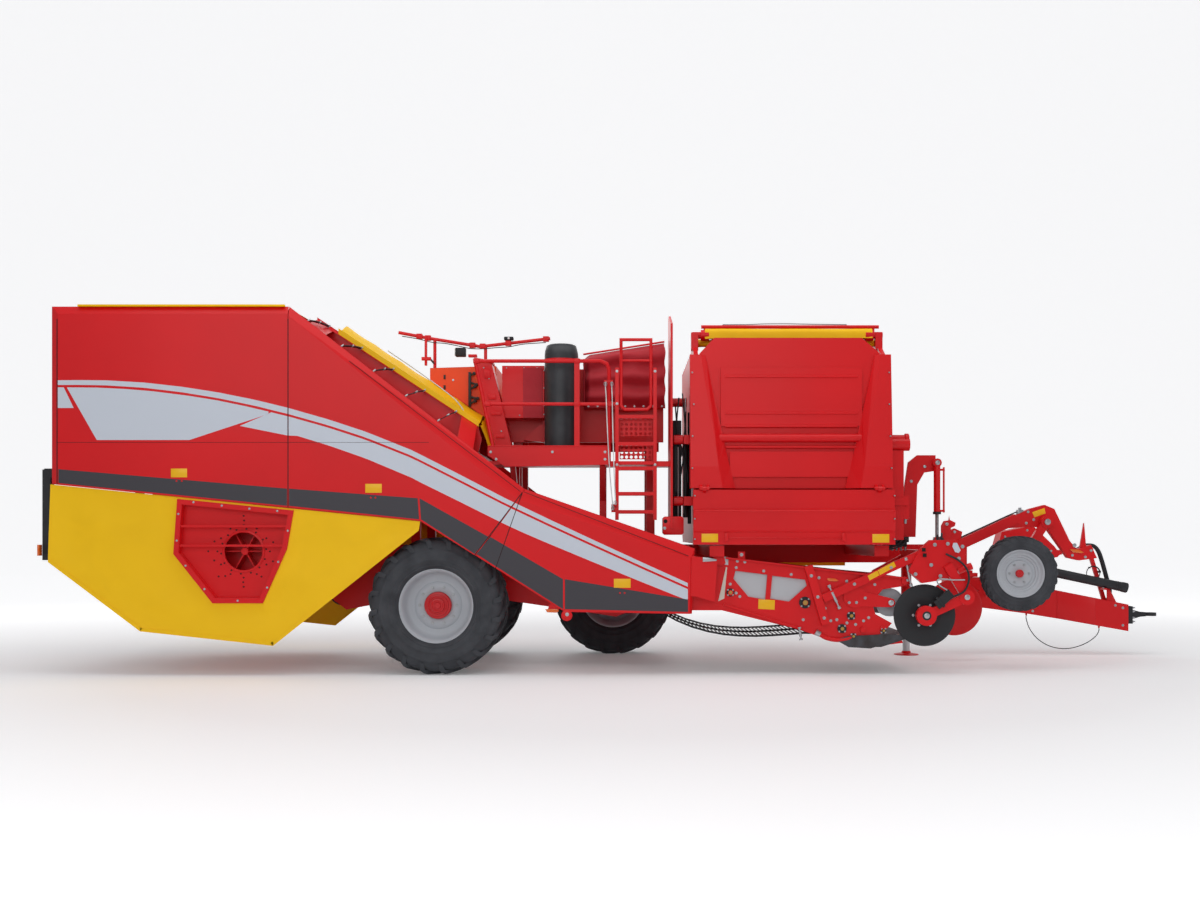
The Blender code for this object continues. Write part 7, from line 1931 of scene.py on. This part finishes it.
reflector = [prism([(-1.066, 0.722), (-0.93, 0.726), (-0.916, 0.7), (-0.94, 0.684), (-1.04, 0.688)], -1.63,
                   -1.618)]
piece("hinge_reflector", reflector, orange_lens, bevel=0.003)
tongue_plate = [prism([(-1.05, 0.69), (-0.935, 0.69), (-0.86, 0.8), (-0.98, 0.86)], -1.618, -1.612)]
piece("reflector_bracket", tongue_plate, red_enamel)

# Roof hem, a roll bar over the bunker's rim, and the rear hood, which is one sheet with two pressed folds.
# The hem is tarpaulin, the bar is tube in red enamel, and the screws are zinc plated.

cover_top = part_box("panel_rear_right")[1].z
for side, word in ((-1, "right"), (1, "left")):
    edge = (side * 1.6, side * 1.643)
    piece("roof_hem_" + word,
          [block((-6.12, -3.88), (min(edge), max(edge)),
                 (cover_top - 0.004, min(cover_top + 0.018, 4.03)))], yellow_tarpaulin, bevel=0.004)
ROLL_BAR_Z = 3.868
roll_bar = [bar((RIM_TUBE[0], ROLL_BAR_Z), 0.02, 0.66, 2.66, "x", 28)]
for x in (0.7, 2.6):
    roll_bar.append(bar((x, RIM_TUBE[0]), 0.013, 3.76, ROLL_BAR_Z, "z", 16))
piece("roll_bar", roll_bar, red_enamel, smooth=40)
hood_low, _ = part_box("rear_hood")
folds, screws = [], []
for z in (2.55, 3.25):
    folds.append(prism([(hood_low.x - 0.0005, z - 0.03), (hood_low.x - 0.009, z - 0.012),
                        (hood_low.x - 0.009, z + 0.012), (hood_low.x - 0.0005, z + 0.03)], -1.45, 1.45))
for k in range(11):
    y = -1.5 + 3.0 * k / 10
    for z in (2.16, 3.86):
        screws.append(turned([(0.0, hood_low.x), (0.009, hood_low.x), (0.007, hood_low.x - 0.006),
                              (0.0, hood_low.x - 0.007)], (y, z), "x", 12))
piece("rear_hood_folds", folds, red_enamel, bevel=0.001)
piece("rear_hood_screws", screws, zinc, smooth=35)

# Blank plates: yellow foil on the covers, the bunker and the digging unit, all without words or signs.
# Reflectors are moulded orange lenses screwed on, each seated on the sheet behind it.

yellow_plate = even_finish("yellow_plate", "F0B70A", 0.32)
PLATE_T = 0.0016
covers = []
for x0, x1, z0, z1 in ((-5.104, -4.93, 2.148, 2.242), (-3.005, -2.828, 1.981, 2.077),
                       (-0.32, -0.14, 0.955, 1.052)):
    covers.append(block((x0, x1), (-PANEL_FACE - FOIL - PLATE_T, -PANEL_FACE), (z0, z1)))
for x0, x1, z0, z1 in ((0.63, 0.807, 1.447, 1.539), (2.481, 2.663, 1.443, 1.535)):
    y = near_face((x0 + x1) / 2, z0 + 0.02, "bunker")
    covers.append(prism([(x0, z0), (x1, z0), (x1, z1), (x0, z1)], y - PLATE_T - 0.001, y + 0.01))
piece("cover_plates", covers, yellow_plate, bevel=0.0006)


def slab(outline, *nodes):
    """A thin plate of this outline on the nearest face behind its middle."""
    x = sum(p[0] for p in outline) / len(outline)
    z = sum(p[1] for p in outline) / len(outline)
    y = near_face(x, z, *nodes)
    return prism(outline, y - PLATE_T, y + 0.0005)


BRACE_PLATES = (
    [(2.443, 1.08), (2.548, 1.137), (2.572, 1.087), (2.465, 1.03)],
    [(2.554, 1.141), (2.728, 1.235), (2.752, 1.181), (2.578, 1.089)],
)
plates = [slab(p, "digging_frame") for p in BRACE_PLATES]
plates.append(slab([(1.261, 0.822), (1.44, 0.812), (1.436, 0.707), (1.257, 0.717)], "digging_frame"))
plates.append(slab([(4.489, 1.786), (4.629, 1.834), (4.642, 1.772), (4.513, 1.726)], "boom"))
wing_face = near_face(0.66, 1.1, "digging_frame")
plates.append(block((0.603, 0.728), (wing_face - PLATE_T, wing_face), (1.069, 1.139)))
piece("digging_plates", plates, yellow_plate, "digging_unit", bevel=0.0005)

y = near_face(2.07, 1.035, "digging_frame")
lenses = [prism([(2.003, 1.045), (2.03, 1.052), (2.1, 1.048), (2.136, 1.026), (2.11, 1.017), (2.03, 1.019)],
                y - 0.01, y)]
lenses.append(prism([(4.915, 1.362), (5.02, 1.356), (5.083, 1.322), (5.05, 1.314), (4.955, 1.322)],
                    BOOM_FACE - 0.01, BOOM_FACE))
piece("front_reflectors", lenses, orange_lens, "digging_unit", bevel=0.003)

# Seams between the covers: near-black strips of painted shade where the folded sheets meet, with two
# slanting lines on the front cover. The lower hinge ear and its screws are enamelled red with the sheet;
# its bolt is zinc plated.

# Painted shade: the near-black red of the seam strips stands for the shade inside the gaps between the
# sheets.
seam_shade = even_finish("seam_shade", "26060A", 0.7)


def line(a, b, width, side=-1):
    """A narrow strip on a cover's face between two places in X and Z."""
    a, b = Vector(a), Vector(b)
    across = Vector((a.y - b.y, b.x - a.x)).normalized() * width / 2
    y = (side * (PANEL_FACE - 0.001), side * (PANEL_FACE + FOIL * 1.5))
    return prism([tuple(a + across), tuple(b + across), tuple(b - across), tuple(a - across)], min(y),
                 max(y))


KINK_EDGE = (-1.31, 1.985)
seams = [line(KINK_EDGE, (-1.826, 1.306), 0.008), line(KINK_EDGE, (-1.598, 1.166), 0.008),
         line((SEAM_X, 1.826), (SEAM_X, 3.86), 0.01), line((-6.335, 2.07), (-6.335, 3.86), 0.008),
         line((-6.33, 2.525), (-2.32, 2.525), 0.0035), line((-3.18, 3.405), (-1.33, 1.995), 0.006),
         line((-1.29, 1.99), (0.485, 1.298), 0.006)]
piece("cover_seams_right", seams, seam_shade)
seams = [line((SEAM_X, 1.826), (SEAM_X, 3.86), 0.01, 1), line((-6.33, 2.525), (-2.32, 2.525), 0.0035, 1)]
piece("cover_seams_left", seams, seam_shade)
screws = []
for x, z in ((-5.044, 2.108), (-4.987, 2.108), (-2.946, 1.928), (-2.896, 1.928), (-0.2545, 0.899),
             (-0.204, 0.899)):
    y = -PANEL_FACE - FOIL
    screws.append(turned([(0.0, y - 0.004), (0.009, y - 0.003), (0.011, y + 0.002), (0.0, y + 0.002)],
                         (x, z), sides=16))
piece("cover_screws", screws, red_enamel, smooth=50)
hinge = [turned([(0.0, -1.652), (0.055, -1.652), (0.06, -1.648), (0.06, -1.63), (0.0, -1.63)],
                (-0.83, 0.655), sides=40)]
piece("cover_hinge_ear", hinge, red_enamel, smooth=40)
piece("cover_hinge_bolt", nut(0.014, 0.01, (-0.826, -1.652, 0.668), -1), zinc)

# Roof cover and the small skirt on the left: tarpaulin, stretched over hoops or hung from a rail.
# The bunker's left wall is sheet steel with three pressed ribs and a row of screws round its edge.

ROOF_HALF, ROOF_X = 1.54, (-6.09, -3.87)
ROOF_Z, ROOF_HEM_Z = 3.99, 3.9625
HOOPS = 4
roof_rows = []
for i in range(75):
    x = ROOF_X[0] + (ROOF_X[1] - ROOF_X[0]) * i / 74
    hoop = cos((x - ROOF_X[0]) / (ROOF_X[1] - ROOF_X[0]) * 2 * pi * HOOPS) * 0.5 + 0.5
    row = [(x, -ROOF_HALF + 0.002, ROOF_HEM_Z)]
    for j in range(41):
        share = -1 + 2 * j / 40
        rise = 0.036 * (1 - abs(share) ** 2.2)
        wave = 0.006 + 0.004 * noise.noise(Vector((x * 2.0, share * 2.0, 0.0)))
        sag = wave * (1 - hoop) * (1 - share**4)
        row.append((x, share * (ROOF_HALF - 0.004), ROOF_Z + rise - sag))
    row.append((x, ROOF_HALF - 0.002, ROOF_HEM_Z))
    roof_rows.append(row)
roof = sheet_piece("roof_tarpaulin", roof_rows, yellow_tarpaulin, "roof_cover")

SKIRT_RAIL_Y = 1.3275
skirt_rows = []
for i in range(13):
    z = 1.415 - 0.29 * i / 12
    row = []
    for j in range(61):
        x = 1.302 + 1.356 * j / 60
        swing = 0.0055 * (i / 12) ** 0.7 * sin(x * 13 + 0.8 * noise.noise(Vector((x * 3, 0, z * 3))))
        row.append((x, SKIRT_RAIL_Y + swing, z))
    skirt_rows.append(row)
skirt = sheet_piece("front_left_skirt", skirt_rows, yellow_tarpaulin, "skirt_front_left")

BUNKER_FACE = 1.6
RIB_FOOT, RIB_TOP = 1.7, 3.48
ribs, screws = [], []
for x in (0.98, 1.62, 2.26):
    corners = ((-1, 1, RIB_FOOT), (1, 1, RIB_FOOT), (1, -1, RIB_TOP), (-1, -1, RIB_TOP))
    foot_ring = [(x + u * 0.075, BUNKER_FACE - 0.002, z) for u, v, z in corners]
    head_ring = [(x + u * 0.045, BUNKER_FACE + 0.022, z + v * 0.03) for u, v, z in corners]
    ribs.append(loft([foot_ring, head_ring]))
ribs.append(block((0.565, 2.675), (BUNKER_FACE - 0.002, BUNKER_FACE + 0.012), (3.56, 3.61)))
ribs.append(block((0.565, 2.675), (BUNKER_FACE - 0.002, BUNKER_FACE + 0.012), (1.605, 1.655)))
piece("bunker_left_ribs", ribs, red_enamel, bevel=0.002)
for k in range(9):
    x = 0.62 + 2.0 * k / 8
    for z in (3.585, 1.63):
        screws += nut(0.008, 0.006, (x, BUNKER_FACE + 0.012, z), 1)
for k in range(6):
    z = 1.8 + 1.6 * k / 5
    for x in (0.6, 2.64):
        screws += nut(0.008, 0.006, (x, BUNKER_FACE, z), 1)
piece("bunker_left_screws", screws, zinc)

# Size of the dressed machine: the box round every shown piece except the studio floor.

low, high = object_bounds()
